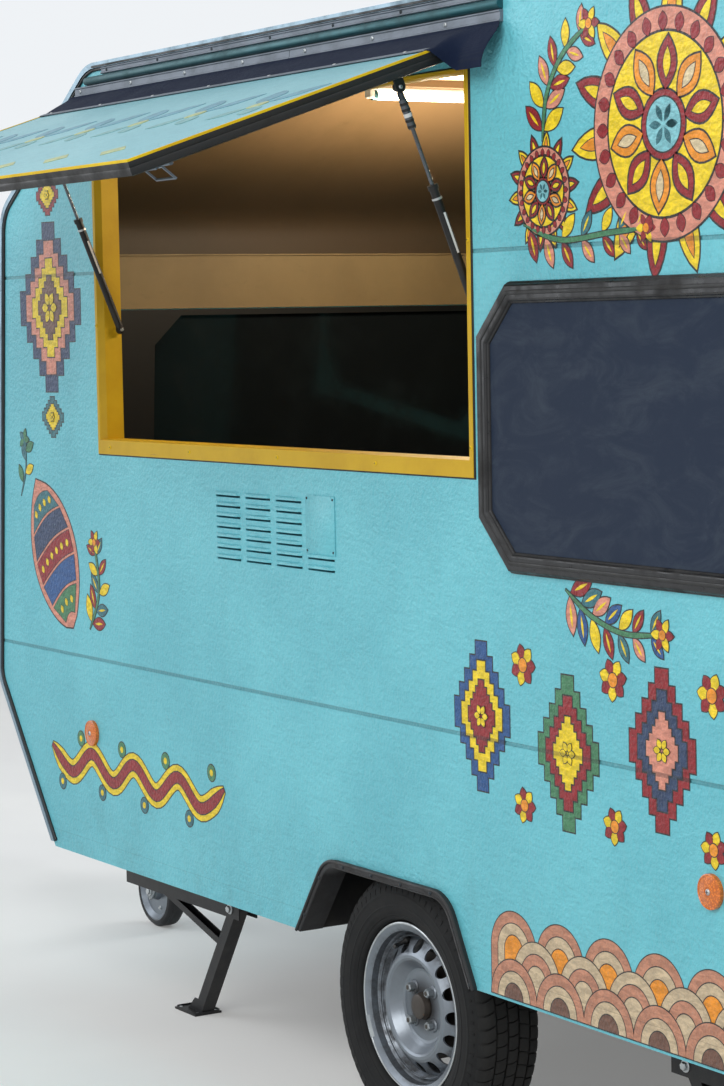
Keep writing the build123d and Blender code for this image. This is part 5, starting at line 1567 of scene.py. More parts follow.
@dataclass
class Bodywork:
    """Shell: painted sheets, edge profiles, vent, reflectors, lamps and arch trims."""

    insert_inset: float = 0.0175
    top_line_z: float = 2.3825
    louvre_start: Point = (-0.727, 1.209)
    louvre_size: Point = (0.112, 0.009)
    louvre_pitch: Point = (0.137, 0.024)
    louvre_counts: tuple[int, int] = (4, 7)
    louvre_gap: float = 0.0048
    last_louvres: int = 2
    reflector_x: Point = (-1.4, 1.07)
    reflector_z: float = 0.725
    arch: tuple[Triple, ...] = ((-0.37, 0.4, 0.0), (-0.249, 0.567, 0.07), (0.213, 0.567, 0.07),
        (0.302, 0.4, 0.0))

    def build(self) -> None:
        """Dress the shell and add its fittings."""
        dress(Palette.BODY, "serving_side_wall", "door_side_wall", "front_wall", "rear_wall")
        dress(Palette.ROOF, "roof")
        dress(Palette.EDGE, "edge_mouldings")
        dress(Palette.BLACK_TRIM, "arch_trims")
        dress(Palette.PLASTIC_BOX, "wheel_boxes")
        dress(Palette.FLOOR_BOARD, "floor")
        dress(Palette.MILKY, "roof_light")
        dress(Palette.PLATE, "blank_plate")
        self.edge_inserts()
        self.louvres()
        self.reflectors()
        self.arch_fittings()
        self.tail_lamps()
        self.plate_frame()
        self.roof_light_rim()
        self.roof_seams()

    def edge_inserts(self) -> None:
        """Black filler strip inside each side's edge profile, and its line under the roof."""
        solid = Solid()
        section = [(-0.0035, -0.001), (0.0035, -0.001), (0.0035, 0.0035), (0.0018, 0.0055),
            (-0.0018, 0.0055), (-0.0035, 0.0035)]
        for face, sign in SIDES:
            path = [face.at(sign * u, v) for u, v in body_side(self.insert_inset, 14)]
            solid.sweep(path, section, face.out, Palette.SEAL)
            ends = sorted(sign * u for u in (-1.295, 0.965))
            line = [face.at(u, self.top_line_z, 0.0078) for u in ends]
            solid.sweep(line, [(-0.0028, 0.0), (0.0028, 0.0), (0.0022, 0.0022), (-0.0022, 0.0022)],
                face.out, Palette.SEAL)
        solid.piece("edge_filler_strips", "body", "black_rubber")

    def louvres(self) -> None:
        """Pressed hood over every slot of the vent, and a cover plate where they end."""
        solid = Solid()
        columns, rows = self.louvre_counts
        width, height = self.louvre_size
        for c in range(columns):
            for r in range(rows):
                if c == columns - 1 and r >= self.last_louvres:
                    continue
                left = self.louvre_start[0] + c * self.louvre_pitch[0] - 0.002
                low = self.louvre_start[1] + r * self.louvre_pitch[1] + self.louvre_gap
                high = low + height
                skins = []
                for i in range(15):
                    t = i / 14
                    rise = min(1.0, math.sin(math.pi * t) * 3.2) ** 0.7
                    u = left + (width + 0.004) * t
                    lift = 0.0068 * rise
                    outer = [(high, 0.0), (high - height * 0.28, lift * 0.62),
                        (high - height * 0.55, lift * 0.93), (low + height * 0.12, lift),
                        (low + height * 0.06, lift * 0.97)]
                    inner = [(v, max(-0.0006, e - 0.0012)) for v, e in outer[::-1]]
                    skins.append([SERVING.at(u, v, e + 0.0002) for v, e in outer + inner])
                solid.rows(skins, Palette.BODY, True, False, True)
        left = self.louvre_start[0] + (columns - 1) * self.louvre_pitch[0] + width / 2
        middle = self.louvre_start[1] + 4.2 * self.louvre_pitch[1]
        solid.block(SERVING.at(left, middle, 0.0011), (width + 0.01, 0.128, 0.002), Palette.BODY,
            turned(SERVING), 0.0008)
        for du in (-1, 1):
            for dv in (-1, 1):
                solid.screw(SERVING.at(left + du * 0.054, middle + dv * 0.057, 0.0021), SERVING.out,
                    Palette.DARK_SCREW, 0.0028)
        solid.piece("vent_louvres", "body", "body_paint", 50.0)

    def reflectors(self) -> None:
        """Round amber reflectors with a rim, a domed lens and a screw."""
        solid = Solid()
        base = [(0.0, 0.0), (0.0, 0.0325), (0.005, 0.033), (0.0085, 0.0322), (0.0092, 0.03),
            (0.008, 0.029), (0.0086, 0.025), (0.0104, 0.017), (0.0114, 0.0085), (0.01, 0.0078),
            (0.0098, 0.0)]
        for face, sign in SIDES:
            for x in self.reflector_x:
                foot = face.at(sign * x, self.reflector_z)
                solid.lathe(base, foot, face.out, Palette.AMBER, 48)
                solid.screw(foot + face.out * 0.0097, face.out, Palette.SCREW, 0.0062, 0.9)
        solid.piece("amber_reflectors", "body", "amber_lens", 40.0, ["reflectors"])

    def arch_fittings(self) -> None:
        """Rolled lip and screws of the wheel arch trims."""
        solid = Solid()
        lip = [(-0.0015, -0.05), (0.0022, -0.05), (0.0022, 0.0095), (0.0008, 0.0112), (-0.0015, 0.01)]
        bead = [(-0.004, 0.0), (0.004, 0.0), (0.0032, 0.0028), (0.0, 0.0042), (-0.0032, 0.0028)]
        for face, sign in SIDES:
            inner = [(sign * u, v) for u, v in rounded(self.arch, 10)]
            outer = [(sign * u, v) for u, v in rounded([(u, v, r) for (u, v), r in zip([(-0.3855, 0.4),
                (-0.2585, 0.58), (0.2225, 0.58), (0.3165, 0.4)], (0.0, 0.08, 0.08, 0.0))], 10)]
            solid.sweep(lay(face, inner), lip, face.out, Palette.BLACK_TRIM)
            solid.sweep(lay(face, outer, 0.0088), bead, face.out, Palette.BLACK_TRIM)
            middle = [((a[0] + b[0]) / 2, (a[1] + b[1]) / 2) for a, b in zip(inner, outer)]
            for i, (u, v) in enumerate(along_line(middle, 0.115, 0.05)):
                solid.screw(face.at(u, v, 0.009), face.out, Palette.DARK_SCREW, 0.0045, 0.5 * i)
        solid.piece("arch_lips", "body", "black_plastic")

    def tail_lamps(self) -> None:
        """Tail lamps with a tray, three lenses and screws."""
        solid = Solid()
        turn = turned(REAR_SKIRT)
        for sign in (-1, 1):
            middle = sign * 0.78
            solid.block(REAR_SKIRT.at(middle, 0.0, 0.007), (0.19, 0.09, 0.014), Palette.BLACK_TRIM, turn,
                0.003)
            for offset, width, finish in ((0.0615, 0.056, Palette.AMBER), (0.0, 0.062, Palette.RED_LENS),
                    (-0.0615, 0.056, Palette.RED_LENS)):
                here = REAR_SKIRT.at(middle + sign * offset, 0.0, 0.0255)
                solid.block(here, (width, 0.08, 0.026), finish, turn, 0.005)
                for k in range(-3, 4):
                    rib = REAR_SKIRT.at(middle + sign * offset, k * 0.0105, 0.0388)
                    solid.block(rib, (width - 0.012, 0.0022, 0.0016), finish, turn, 0.0005)
            for u, v in ((0.0308, 0.0), (-0.0308, 0.0)):
                solid.screw(REAR_SKIRT.at(middle + u, v, 0.014), REAR_SKIRT.out, Palette.SCREW, 0.0035)
        solid.piece("tail_lamp_lenses", "body", "red_lens", 35.0, ["tail_lamps"])

    def plate_frame(self) -> None:
        """Holder round the blank rear plate, with its screws."""
        solid = Solid()
        path = lay(REAR_SKIRT, box_outline(-0.262, -0.0595, 0.262, 0.0595))
        solid.sweep(path, [(-0.004, 0.0), (0.004, 0.0), (0.004, 0.01), (0.0, 0.013), (-0.004, 0.01)],
            REAR_SKIRT.out, Palette.BLACK_TRIM, True)
        for u in (-0.2, 0.2):
            solid.screw(REAR_SKIRT.at(u, 0.03, 0.0105), REAR_SKIRT.out, Palette.SCREW, 0.005)
        solid.piece("plate_holder", "body", "black_plastic")

    def roof_light_rim(self) -> None:
        """Flange and screws of the roof light."""
        solid = Solid()
        top = Face(spot(0.42, 0, ROOF_Z), AFT, ASIDE)
        half = 0.222
        path = soft(box_outline(-half, -half, half, half), 0.045, 8)
        section = [(-0.016, 0.0), (0.014, 0.0), (0.014, 0.004), (0.01, 0.007), (-0.01, 0.009),
            (-0.014, 0.014), (-0.016, 0.012)]
        solid.sweep(lay(top, path), section, top.out, Palette.MILKY, True)
        ring = path + [path[0]]
        for i, (u, v) in enumerate(along_line(ring, 0.105, 0.04)):
            solid.screw(top.at(u * 1.01, v * 1.01, 0.0072), top.out, Palette.SCREW, 0.004, i)
        solid.piece("roof_light_rim", "body", "white_plastic")

    def roof_seams(self) -> None:
        """Sealed seams across the roof sheet, beside the roof light."""
        solid = Solid()
        for x in (-0.9, -0.16, 0.8):
            rows = []
            for i in range(41):
                y = -0.985 + 1.97 * i / 40
                rows.append([spot(x + a, y, ROOF_Z + h) for a, h in ((-0.014, 0.0), (-0.011, 0.0015),
                    (0.0, 0.0026), (0.011, 0.0015), (0.014, 0.0))])
            solid.rows(rows, Palette.EDGE, True, False, True)
        solid.piece("roof_seams", "body", "roof_sheet")


@dataclass
class ServingHatch:
    """Lifting hatch, its frame, hinge, seal and latches."""

    left: float = -1.42
    right: float = 0.332
    top: float = -0.009
    bottom: float = -0.766
    frame_left: float = -1.32
    frame_right: float = 0.34
    frame_low: float = 1.434
    frame_high: float = 2.24
    latch_x: Point = (-1.199, 0.219)
    latch_rise: float = 0.1
    panel_inset: float = 0.066
    frame_depth: float = 0.06
    frame_proud: float = 0.005
    jamb: Point = (0.0125, 0.025)
    head: Point = (0.004, 0.006)
    sill: Point = (0.035, 0.037)
    stud_foot: Point = (-0.98, 1.74)

    def build(self) -> None:
        """Dress the hatch and add what is fastened to it."""
        dress(Palette.HATCH_TOP, "hatch_door")
        dress(Palette.STRIP, "hatch_hinge")
        dress(Palette.STRIP, "hatch_latches")
        self.edge_profile()
        self.under_panel()
        self.seal()
        self.latches()
        self.frame()
        self.frame_fittings()
        self.face_paint()

    def edge_profile(self) -> None:
        """Yellow profile round the hatch's outer edge."""
        solid = Solid()
        path = lay(HATCH_TOP, box_outline(self.left, self.bottom, self.right, self.top))
        section = [(-0.0016, -0.0032), (-0.0016, 0.001), (0.0, 0.0018), (0.0026, 0.0018),
            (0.0036, 0.0004), (0.0, 0.0002), (0.0, -0.0032)]
        solid.sweep(path, section, HATCH_TOP.out, Palette.YELLOW_EDGE, True)
        solid.piece("hatch_edge_profile", "hatch", "yellow_paint")

    def under_panel(self) -> None:
        """Inner panel with its pressed border and screws."""
        solid = Solid()
        m = self.panel_inset
        inner = box_outline(-self.right + m, self.bottom + m, -self.left - m, self.top - m)
        mid_u = (inner[0][0] + inner[1][0]) / 2
        mid_v = (inner[0][1] + inner[2][1]) / 2
        size = (inner[1][0] - inner[0][0], inner[2][1] - inner[0][1], 0.003)
        solid.block(HATCH_UNDER.at(mid_u, mid_v, -0.0104), size, Palette.LINING_CREAM,
            turned(HATCH_UNDER), 0.001)
        loop = inner + [inner[0]]
        bead = [(-0.005, -0.0118), (0.005, -0.0118), (0.004, -0.006), (-0.004, -0.006)]
        solid.sweep(lay(HATCH_UNDER, grown(inner, 0.001)), bead, HATCH_UNDER.out, Palette.BLACK_TRIM,
            True)
        for i, (u, v) in enumerate(along_line(loop, 0.16, 0.08)):
            v_in = v + (0.012 if v < mid_v else -0.012)
            solid.screw(HATCH_UNDER.at(u, v_in, -0.0088), HATCH_UNDER.out, Palette.SCREW, 0.004, i)
        solid.piece("hatch_inner_panel", "hatch", "hatch_paint")

    def seal(self) -> None:
        """Black rubber seal round the hatch's inner side and over its edge."""
        solid = Solid()
        path = lay(HATCH_UNDER, box_outline(-self.right, self.bottom, -self.left, self.top - 0.012))
        section = [(-0.0012, -0.0247), (-0.002, -0.016), (-0.0008, -0.013), (-0.0022, -0.009),
            (-0.0012, 0.0012), (0.006, 0.0034), (0.018, 0.0034), (0.026, 0.0018), (0.026, 0.0002),
            (0.0008, 0.0002), (0.0008, -0.0247)]
        solid.sweep(path, section, HATCH_UNDER.out, Palette.SEAL, True)
        solid.piece("hatch_seal", "hatch", "black_rubber")

    def latches(self) -> None:
        """Screws and guide rails of the two spring latches."""
        solid = Solid()
        under = HATCH_UNDER
        for x in self.latch_x:
            u, v = -x, self.bottom + self.latch_rise
            for du in (-0.036, 0.0, 0.036):
                solid.screw(under.at(u + du, v, 0.0122), under.out, Palette.SCREW, 0.0042, du * 60)
            for dv in (-0.0128, 0.0128):
                rail = [under.at(u - 0.044, v + dv, 0.0122), under.at(u + 0.044, v + dv, 0.0122)]
                solid.sweep(rail, [(-0.0014, 0.0), (0.0014, 0.0), (0.0009, 0.0018), (-0.0009, 0.0018)],
                    under.out, Palette.STRIP)
        solid.piece("latch_fittings", "hatch", "black_plastic")

    def frame(self) -> None:
        """Yellow frame: narrow jambs that widen inwards, a thin head and a high sill."""
        solid = Solid()
        back = self.frame_proud - self.frame_depth

        def ring(jamb: float, head: float, sill: float, lift: float) -> list[Vector]:
            """Rectangle inside the frame's outer edge, at a distance from the wall's face."""
            return lay(SERVING, box_outline(self.frame_left + jamb, self.frame_low + sill,
                self.frame_right - jamb, self.frame_high - head), lift)

        inner, deep = zip(self.jamb, self.head, self.sill)
        rings = [ring(0.0, 0.0, 0.0, back), ring(0.0, 0.0, 0.0, self.frame_proud - 0.001),
            ring(0.001, 0.001, 0.001, self.frame_proud), ring(*inner, self.frame_proud),
            ring(*deep, self.frame_proud - 0.014), ring(*deep, back)]
        solid.rows(rings, Palette.YELLOW, True, True)
        for x, inward in ((self.frame_left + self.jamb[1], 1), (self.frame_right - self.jamb[1], -1)):
            solid.lathe([(-0.002, 0.0), (-0.002, 0.01), (0.007, 0.01), (0.0078, 0.009), (0.0078, 0.0)],
                spot(x, *self.stud_foot), Vector((inward, 0, 0)), Palette.YELLOW, 28)
        solid.piece("serving_frame", "body", "yellow_paint", 30.0, ["hatch_frame"])

    def frame_fittings(self) -> None:
        """Screws in the yellow frame and the sealant round it."""
        solid = Solid()
        face = SERVING
        loop = box_outline(self.frame_left, self.frame_low, self.frame_right, self.frame_high)
        bead = [(-0.0005, 0.0), (0.0035, 0.0), (0.0025, 0.0022), (-0.0005, 0.0034)]
        path = lay(face, [loop[0], loop[3], loop[2], loop[1]])
        solid.sweep(path, bead, face.out, Palette.BLACK_TRIM, True)
        inner = grown(loop, -0.0065)
        for i, (u, v) in enumerate(along_line(inner + [inner[0]], 0.41, 0.06)):
            if v > self.frame_high - 0.03:
                continue
            if v < self.frame_low + 0.03:
                v = self.frame_low + 0.018
            solid.screw(face.at(u, v, 0.005), face.out, Palette.YELLOW_EDGE, 0.0045, 0.8 * i)
        solid.piece("hatch_frame_fittings", "body", "yellow_paint")

    def face_paint(self) -> None:
        """Faded border of large leaves and dots on the hatch's outer face."""
        art = Ornament(HATCH_TOP, 31)
        p = Palette
        left, right = self.left + 0.1, self.right - 0.14
        number = 7
        for k in range(number):
            u = left + k * (right - left) / (number - 1)
            for sign in (-1, 1):
                leaf = petal((u, -0.39), 0.02, 0.15, 0.062, 90 + sign * 38, 0.8)
                art.patch(leaf, p.FADED_BLUE, Layer.FIRST, 0.0)
                leaf = petal((u, -0.39), 0.02, 0.11, 0.05, -90 + sign * 44, 0.8)
                art.patch(leaf, p.FADED_TEAL, Layer.FIRST, 0.0)
            art.patch(disc((u, -0.39), 0.024, 20), p.FADED_YELLOW, Layer.SECOND, 0.0)
            if k < number - 1:
                step = (right - left) / (number - 1) / 2
                diamond = [(u + step, -0.625), (u + step + 0.05, -0.655), (u + step, -0.685),
                    (u + step - 0.05, -0.655)]
                art.patch(diamond, p.FADED_YELLOW, Layer.FIRST, 0.0)
        art.finish("hatch_ornament", "hatch", "hatch_paint")


@dataclass
class RailsAndCanvas:
    """Screw strips and half-round rail above the hatch, and the canvas over its hinge."""

    lower: tuple[float, float, float, float] = (2.316, 2.339, 0.01, -1.392)
    upper: tuple[float, float, float, float] = (2.362, 2.378, 0.008, -1.25)
    rail_z: float = 2.35
    rail_start: float = -1.332
    end: float = 0.46
    joint: float = -0.34
    cloth_width: float = 0.0985

    def build(self) -> None:
        """Build the rails, the canvas and its clamping strip."""
        self.rails()
        self.canvas()
        self.clamping_strip()

    def rails(self) -> None:
        """Two channelled strips with screws and the half-round rail between them."""
        solid = Solid()
        for (low, high, proud, start), screw, pitch, size in ((self.lower, Palette.SCREW, 0.272, 0.005),
                (self.upper, Palette.DARK_SCREW, 0.265, 0.004)):
            tall = high - low
            lip = 0.0035
            section = [(0.0, 0.0), (0.0, proud - 0.002), (0.0015, proud), (lip, proud),
                (lip + 0.0015, proud - 0.0026), (tall - lip - 0.0015, proud - 0.0026),
                (tall - lip, proud), (tall - 0.0015, proud), (tall, proud - 0.002), (tall, 0.0)]
            spans = [(start, self.end)]
            if high < 2.35:
                spans = [(start, self.joint - 0.001), (self.joint + 0.001, self.end)]
            for one, two in spans:
                rows = [[SERVING.at(u, low + a, n) for a, n in section]
                    for u in (one, one + 0.001, two - 0.001, two)]
                solid.rows(rows, Palette.STRIP, True, False, True)
            for i, (u, v) in enumerate(along_line([(start + 0.03, 0), (self.end - 0.02, 0)], pitch)):
                solid.screw(SERVING.at(u, (low + high) / 2, proud - 0.0026), SERVING.out, screw, size,
                    0.9 * i)
        rows = []
        for u in (self.rail_start, self.rail_start + 0.004, self.end - 0.004, self.end):
            inset = 0.0012 if u in (self.rail_start, self.end) else 0.0
            ring = [(self.rail_z - 0.01 + inset, 0.0), (self.rail_z - 0.01 + inset, 0.006)]
            ring += [(self.rail_z - (0.01 - inset) * math.cos(a), 0.006 + (0.01 - inset) * math.sin(a))
                for a in (math.pi * k / 14 for k in range(1, 14))]
            ring += [(self.rail_z + 0.01 - inset, 0.006), (self.rail_z + 0.01 - inset, 0.0)]
            rows.append([SERVING.at(u, v, n) for v, n in ring])
        solid.rows(rows, Palette.RAIL, True, False, True)
        solid.piece("hatch_rail_strips", "body", "bright_rail", 30.0, ["hatch_rails"])

    def cross(self, t: float, drop: float, swell: float) -> Vector:
        """Point of the canvas across its width.

        Args:
            t: 0 at the rail and 1 at its free edge.
            drop: How far it sags, 0 on the hatch and more beyond the hatch's end.
            swell: Rise of a fold.

        Returns:
            Its y and z from the trailer's middle and the ground.
        """
        table = ((0.0, -1.0345, 2.3162), (0.1, -1.0365, 2.312), (0.3, -1.051, 2.3035),
            (0.5, -1.07, 2.2935), (0.68, -1.088, 2.283), (0.8, -1.1, 2.2755), (1.0, -1.119, 2.269))
        for (t0, y0, z0), (t1, y1, z1) in zip(table, table[1:]):
            if t <= t1:
                s = (t - t0) / (t1 - t0)
                break
        y = y0 + (y1 - y0) * s
        z = z0 + (z1 - z0) * s
        middle = math.sin(math.pi * min(1.0, t / 0.82)) if t < 0.82 else 0.0
        y += swell * middle * 0.55 + drop * t * t * 1.2
        z += swell * middle - drop * t * t
        return Vector((y, z))

    def canvas(self) -> None:
        """Canvas from the lower strip to the hatch, with folds and a free right end."""
        solid = Solid()
        draw = random.Random(7)
        folds = [(draw.uniform(9, 46), draw.uniform(0, 6.28), draw.uniform(0.3, 1.0)) for _ in range(6)]
        total = sum(w for _, _, w in folds)
        columns, across = 220, 16
        start, end = self.lower[3] - 0.028, self.end

        def surface(i: int, j: int, lift: float) -> Vector:
            """One point of the cloth's upper or lower surface.

            Args:
                i: Number of the column.
                j: Number of the point across.
                lift: Height over the cloth's lower surface.

            Returns:
                The point.
            """
            x = start + (end - start) * i / columns
            t = j / across
            swell = 0.0042 * sum(w * math.sin(f * x + p) for f, p, w in folds) / total
            beyond = min(1.0, max(0.0, (x - 0.335) / 0.04))
            free = beyond * beyond * (3 - 2 * beyond)
            place = self.cross(t, 0.04 * free, swell * (1 + 1.5 * free))
            lean = 0.01 * free * math.sin(t * 5.0)
            return spot(x + lean, place.x, place.y + lift)

        for lift in (0.001, 0.0):
            rows = [[surface(i, j, lift) for j in range(across + 1)] for i in range(columns + 1)]
            solid.rows(rows, Palette.CANVAS)
        for side in (0, across):
            solid.rows([[surface(i, side, 0.001), surface(i, side, 0.0)] for i in range(columns + 1)],
                Palette.CANVAS)
        for side in (0, columns):
            solid.rows([[surface(side, j, 0.001), surface(side, j, 0.0)] for j in range(across + 1)],
                Palette.CANVAS)
        bmesh.ops.remove_doubles(solid.mesh, verts=solid.mesh.verts, dist=1e-6)
        made = solid.piece("canvas_strip", "body", "navy_canvas", 60.0, ["canvas_flap"], False)
        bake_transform(made)

    def clamping_strip(self) -> None:
        """Thin grey strip and screws that hold the canvas to the hatch."""
        solid = Solid()
        face = HATCH_TOP
        low, high = -0.0765, -0.0605
        section = [(low, 0.0022), (low, 0.0036), (low + 0.002, 0.0044), (high - 0.002, 0.0044),
            (high, 0.0036), (high, 0.0022)]
        rows = [[face.at(u, v, n) for v, n in section] for u in (-1.412, -1.411, 0.325, 0.326)]
        solid.rows(rows, Palette.STRIP, True, False, True)
        for i, (u, v) in enumerate(along_line([(-1.36, 0), (0.32, 0)], 0.268)):
            solid.screw(face.at(u, (low + high) / 2, 0.0044), face.out, Palette.SCREW, 0.004, i)
        solid.piece("canvas_clamping_strip", "hatch", "bright_rail")


@dataclass
class GasStruts:
    """Two gas struts with their end fittings, collars and labels."""

    foot: Point = (-0.98, 1.74)
    head: Point = (-1.165, 2.2)
    places: tuple[tuple[str, float], ...] = (("front", -1.28), ("rear", 0.3))

    def build(self) -> None:
        """Dress both struts and add their end fittings, collars and labels."""
        way = Vector((0, self.head[0] - self.foot[0], self.head[1] - self.foot[1])).normalized()
        for name, x in self.places:
            dress(Palette.STRUT, f"strut_tube_{name}")
            dress(Palette.ROD, f"strut_rod_{name}")
            foot = spot(x, *self.foot)
            tube = Solid()
            for at, length, radius, finish in ((0.008, 0.026, 0.0074, Palette.DARK_SCREW),
                    (0.262, 0.005, 0.0106, Palette.SCREW)):
                tube.lathe([(0.0, radius * 0.9), (0.0008, radius), (length - 0.0008, radius),
                    (length, radius * 0.9)], foot + way * at, way, finish, 28)
            tube.sweep([foot + way * at + AFT * 0.009 for at in (0.15, 0.235)],
                [(-0.0024, -0.001), (0.0024, -0.001), (0.0022, 0.0004), (-0.0022, 0.0004)], AFT,
                Palette.WHITE_LABEL)
            inward = 1 if name == "front" else -1
            ball = Vector((inward, 0, 0))
            tube.lathe([(-0.008, 0.0), (-0.008, 0.0095), (-0.002, 0.0108), (0.004, 0.0095),
                (0.0065, 0.006), (0.007, 0.0)], foot, ball, Palette.STRUT, 28)
            tube.lathe([(0.0072, 0.0), (0.0072, 0.0042), (0.0086, 0.004), (0.009, 0.0)], foot, ball,
                Palette.SCREW, 18)
            tube.piece(f"strut_tube_fittings_{name}", f"strut_tube_{name}", "black_steel")
            rod = Solid()
            head = spot(x, *self.head)
            rod.lathe([(-0.0052, 0.0), (-0.0052, 0.0092), (0.0, 0.0104), (0.0062, 0.0092),
                (0.0072, 0.0055), (0.0072, 0.0)], head, ball, Palette.STRUT, 28)
            rod.lathe([(-0.034, 0.006), (-0.033, 0.0068), (-0.012, 0.0068), (-0.009, 0.0055)], head, way,
                Palette.DARK_SCREW, 24)
            for at in (0.412, 0.424, 0.446, 0.458):
                rod.lathe([(0.0, 0.0078), (0.001, 0.0088), (0.005, 0.0088), (0.006, 0.0078)],
                    foot + way * at, way, Palette.SEAL, 24)
            rod.lathe([(0.0, 0.0079), (0.0005, 0.0084), (0.0075, 0.0084), (0.008, 0.0079)],
                foot + way * 0.434, way, Palette.WHITE_LABEL, 24)
            rod.piece(f"strut_rod_fittings_{name}", f"strut_rod_{name}", "black_steel")
            self.lug_cover(name, head, -ball)

    def lug_cover(self, name: str, head: Vector, outward: Vector) -> None:
        """Black plastic cover over the hatch's lug at one strut's head.

        Args:
            name: Which strut.
            head: Middle of the rod's eye.
            outward: Direction from the eye to the lug.
        """
        solid = Solid()
        up = -HATCH_UNDER.out
        plate = Face(head + outward * 0.0085, up.cross(outward), up)
        top = (HATCH_UNDER.origin - head).dot(up) - 0.001

        def outline(radius: float) -> list[Point]:
            """Round end below, straight sides up to the hatch."""
            return [(-radius, top), *arc((0.0, 0.0), radius, 180, 360, 20), (radius, top)]

        solid.prism(lay(plate, outline(0.0112), 0.0001), outward * 0.0012, Palette.STRUT)
        solid.sweep(lay(plate, outline(0.0107)), [(-0.0005, -0.0028), (0.0005, -0.0028), (0.0005, 0.001),
            (-0.0005, 0.001)], outward, Palette.STRUT)
        solid.screw(plate.at(0.0, 0.0, 0.0013), outward, Palette.SCREW, 0.0045, 0.3)
        solid.piece(f"strut_lug_cover_{name}", "hatch", "black_plastic")


@dataclass
class Windows:
    """Rubber-framed windows, and the chalk board that fills the one beside the hatch."""

    corner: float = 0.1
    frame: float = 0.034
    height: float = 0.557
    board: Triple = (0.366, 1.396, 1.257)
    side_window: Triple = (-1.18, -0.15, 1.257)
    end_width: float = 1.24
    end_z: float = 1.535

    def build(self) -> None:
        """Dress frames, panes and board, and add beads and catches."""
        dress(Palette.WINDOW_RUBBER, "board_frame", "window_frames")
        dress(Palette.PANE, "window_panes")
        dress(Palette.SLATE, "menu_board")
        solid = Solid()
        left, right, low = self.board
        self.beads(solid, SERVING, (left + right) / 2, low + self.height / 2, right - left)
        left, right, low = self.side_window
        middle = -(left + right) / 2
        self.beads(solid, DOOR, middle, low + self.height / 2, right - left)
        for face in self.end_faces():
            self.beads(solid, face, 0.0, 0.0, self.end_width)
        solid.piece("window_beads", "body", "black_rubber")
        self.stays()

    def end_faces(self) -> list[Face]:
        """Faces of the front and rear windows.

        Returns:
            The front face and the rear one.
        """
        lean = math.atan2(SKIRT[0] - EAVES[0], EAVES[1] - SKIRT[1])
        faces = []
        for end in (-1, 1):
            reach = SKIRT[0] - (self.end_z - SKIRT[1]) * math.tan(lean)
            origin = spot(BODY_MIDDLE + end * reach, 0.0, self.end_z)
            up = Vector((-end * math.sin(lean), 0, math.cos(lean)))
            faces.append(Face(origin, Vector((0, end, 0)), up))
        return faces

    def octagon(self, u: float, v: float, length: float, inset: float) -> list[Point]:
        """Window shape with cut corners, shrunk by inset.

        Args:
            u: Its middle along the face.
            v: Its middle up the face.
            length: Its outer length.
            inset: Metres inside the outer line.

        Returns:
            Its corners.
        """
        cut = self.corner - inset * (2 - math.sqrt(2))
        x, y = length / 2 - inset, self.height / 2 - inset
        return [(u - x, v - y + cut), (u - x + cut, v - y), (u + x - cut, v - y), (u + x, v - y + cut),
            (u + x, v + y - cut), (u + x - cut, v + y), (u - x + cut, v + y), (u - x, v + y - cut)]

    def beads(self, solid: Solid, face: Face, u: float, v: float, length: float) -> None:
        """Outer lip, locking strip and inner lip of one rubber frame.

        Args:
            solid: Takes the faces.
            face: The face that the window lies on.
            u: Its middle along the face.
            v: Its middle up the face.
            length: Its outer length.
        """
        def loop(inset: float, section: Sequence[Point], finish: Finish, radius: float) -> None:
            """Sweep one section round the window."""
            path = lay(face, soft(self.octagon(u, v, length, inset), radius))
            solid.sweep(path, section, face.out, finish, True)

        loop(0.0, [(-0.005, 0.0), (0.004, 0.0), (0.004, 0.0045), (0.0, 0.007), (-0.0035, 0.005)],
            Palette.WINDOW_RUBBER, 0.012)
        loop(0.017, [(-0.0045, 0.0135), (-0.0035, 0.0152), (0.0, 0.016), (0.0035, 0.0152),
            (0.0045, 0.0135)], Palette.SEAL, 0.01)
        loop(0.0335, [(-0.0035, 0.0042), (0.0045, 0.0042), (0.0035, 0.007), (0.0, 0.0095),
            (-0.0035, 0.0085)], Palette.WINDOW_RUBBER, 0.008)

    def stays(self) -> None:
        """Hinge strip and catches of the opening windows."""
        solid = Solid()
        places = [(DOOR, 0.665, 1.5355, 1.03)]
        places += [(face, 0.0, 0.0, self.end_width) for face in self.end_faces()]
        for face, u, v, length in places:
            half = length / 2 - self.corner
            top = v + self.height / 2 - 0.004
            section = [(top - 0.006, 0.0138), (top - 0.006, 0.016), (top, 0.0185), (top + 0.008, 0.016),
                (top + 0.01, 0.0), (top + 0.004, 0.0)]
            rows = [[face.at(u + s, b, n) for b, n in section] for s in (-half, -half + 0.002,
                half - 0.002, half)]
            solid.rows(rows, Palette.EDGE, True, False, True)
            for s in (-half * 0.72, half * 0.72):
                foot = face.at(u + s, v - self.height / 2 + 0.075, 0.004)
                solid.lathe([(0.0, 0.0), (0.0, 0.012), (0.003, 0.013), (0.006, 0.011), (0.007, 0.0)],
                    foot, face.out, Palette.PLASTIC_BOX, 28)
        solid.piece("window_hinge_strips", "body", "bright_rail")


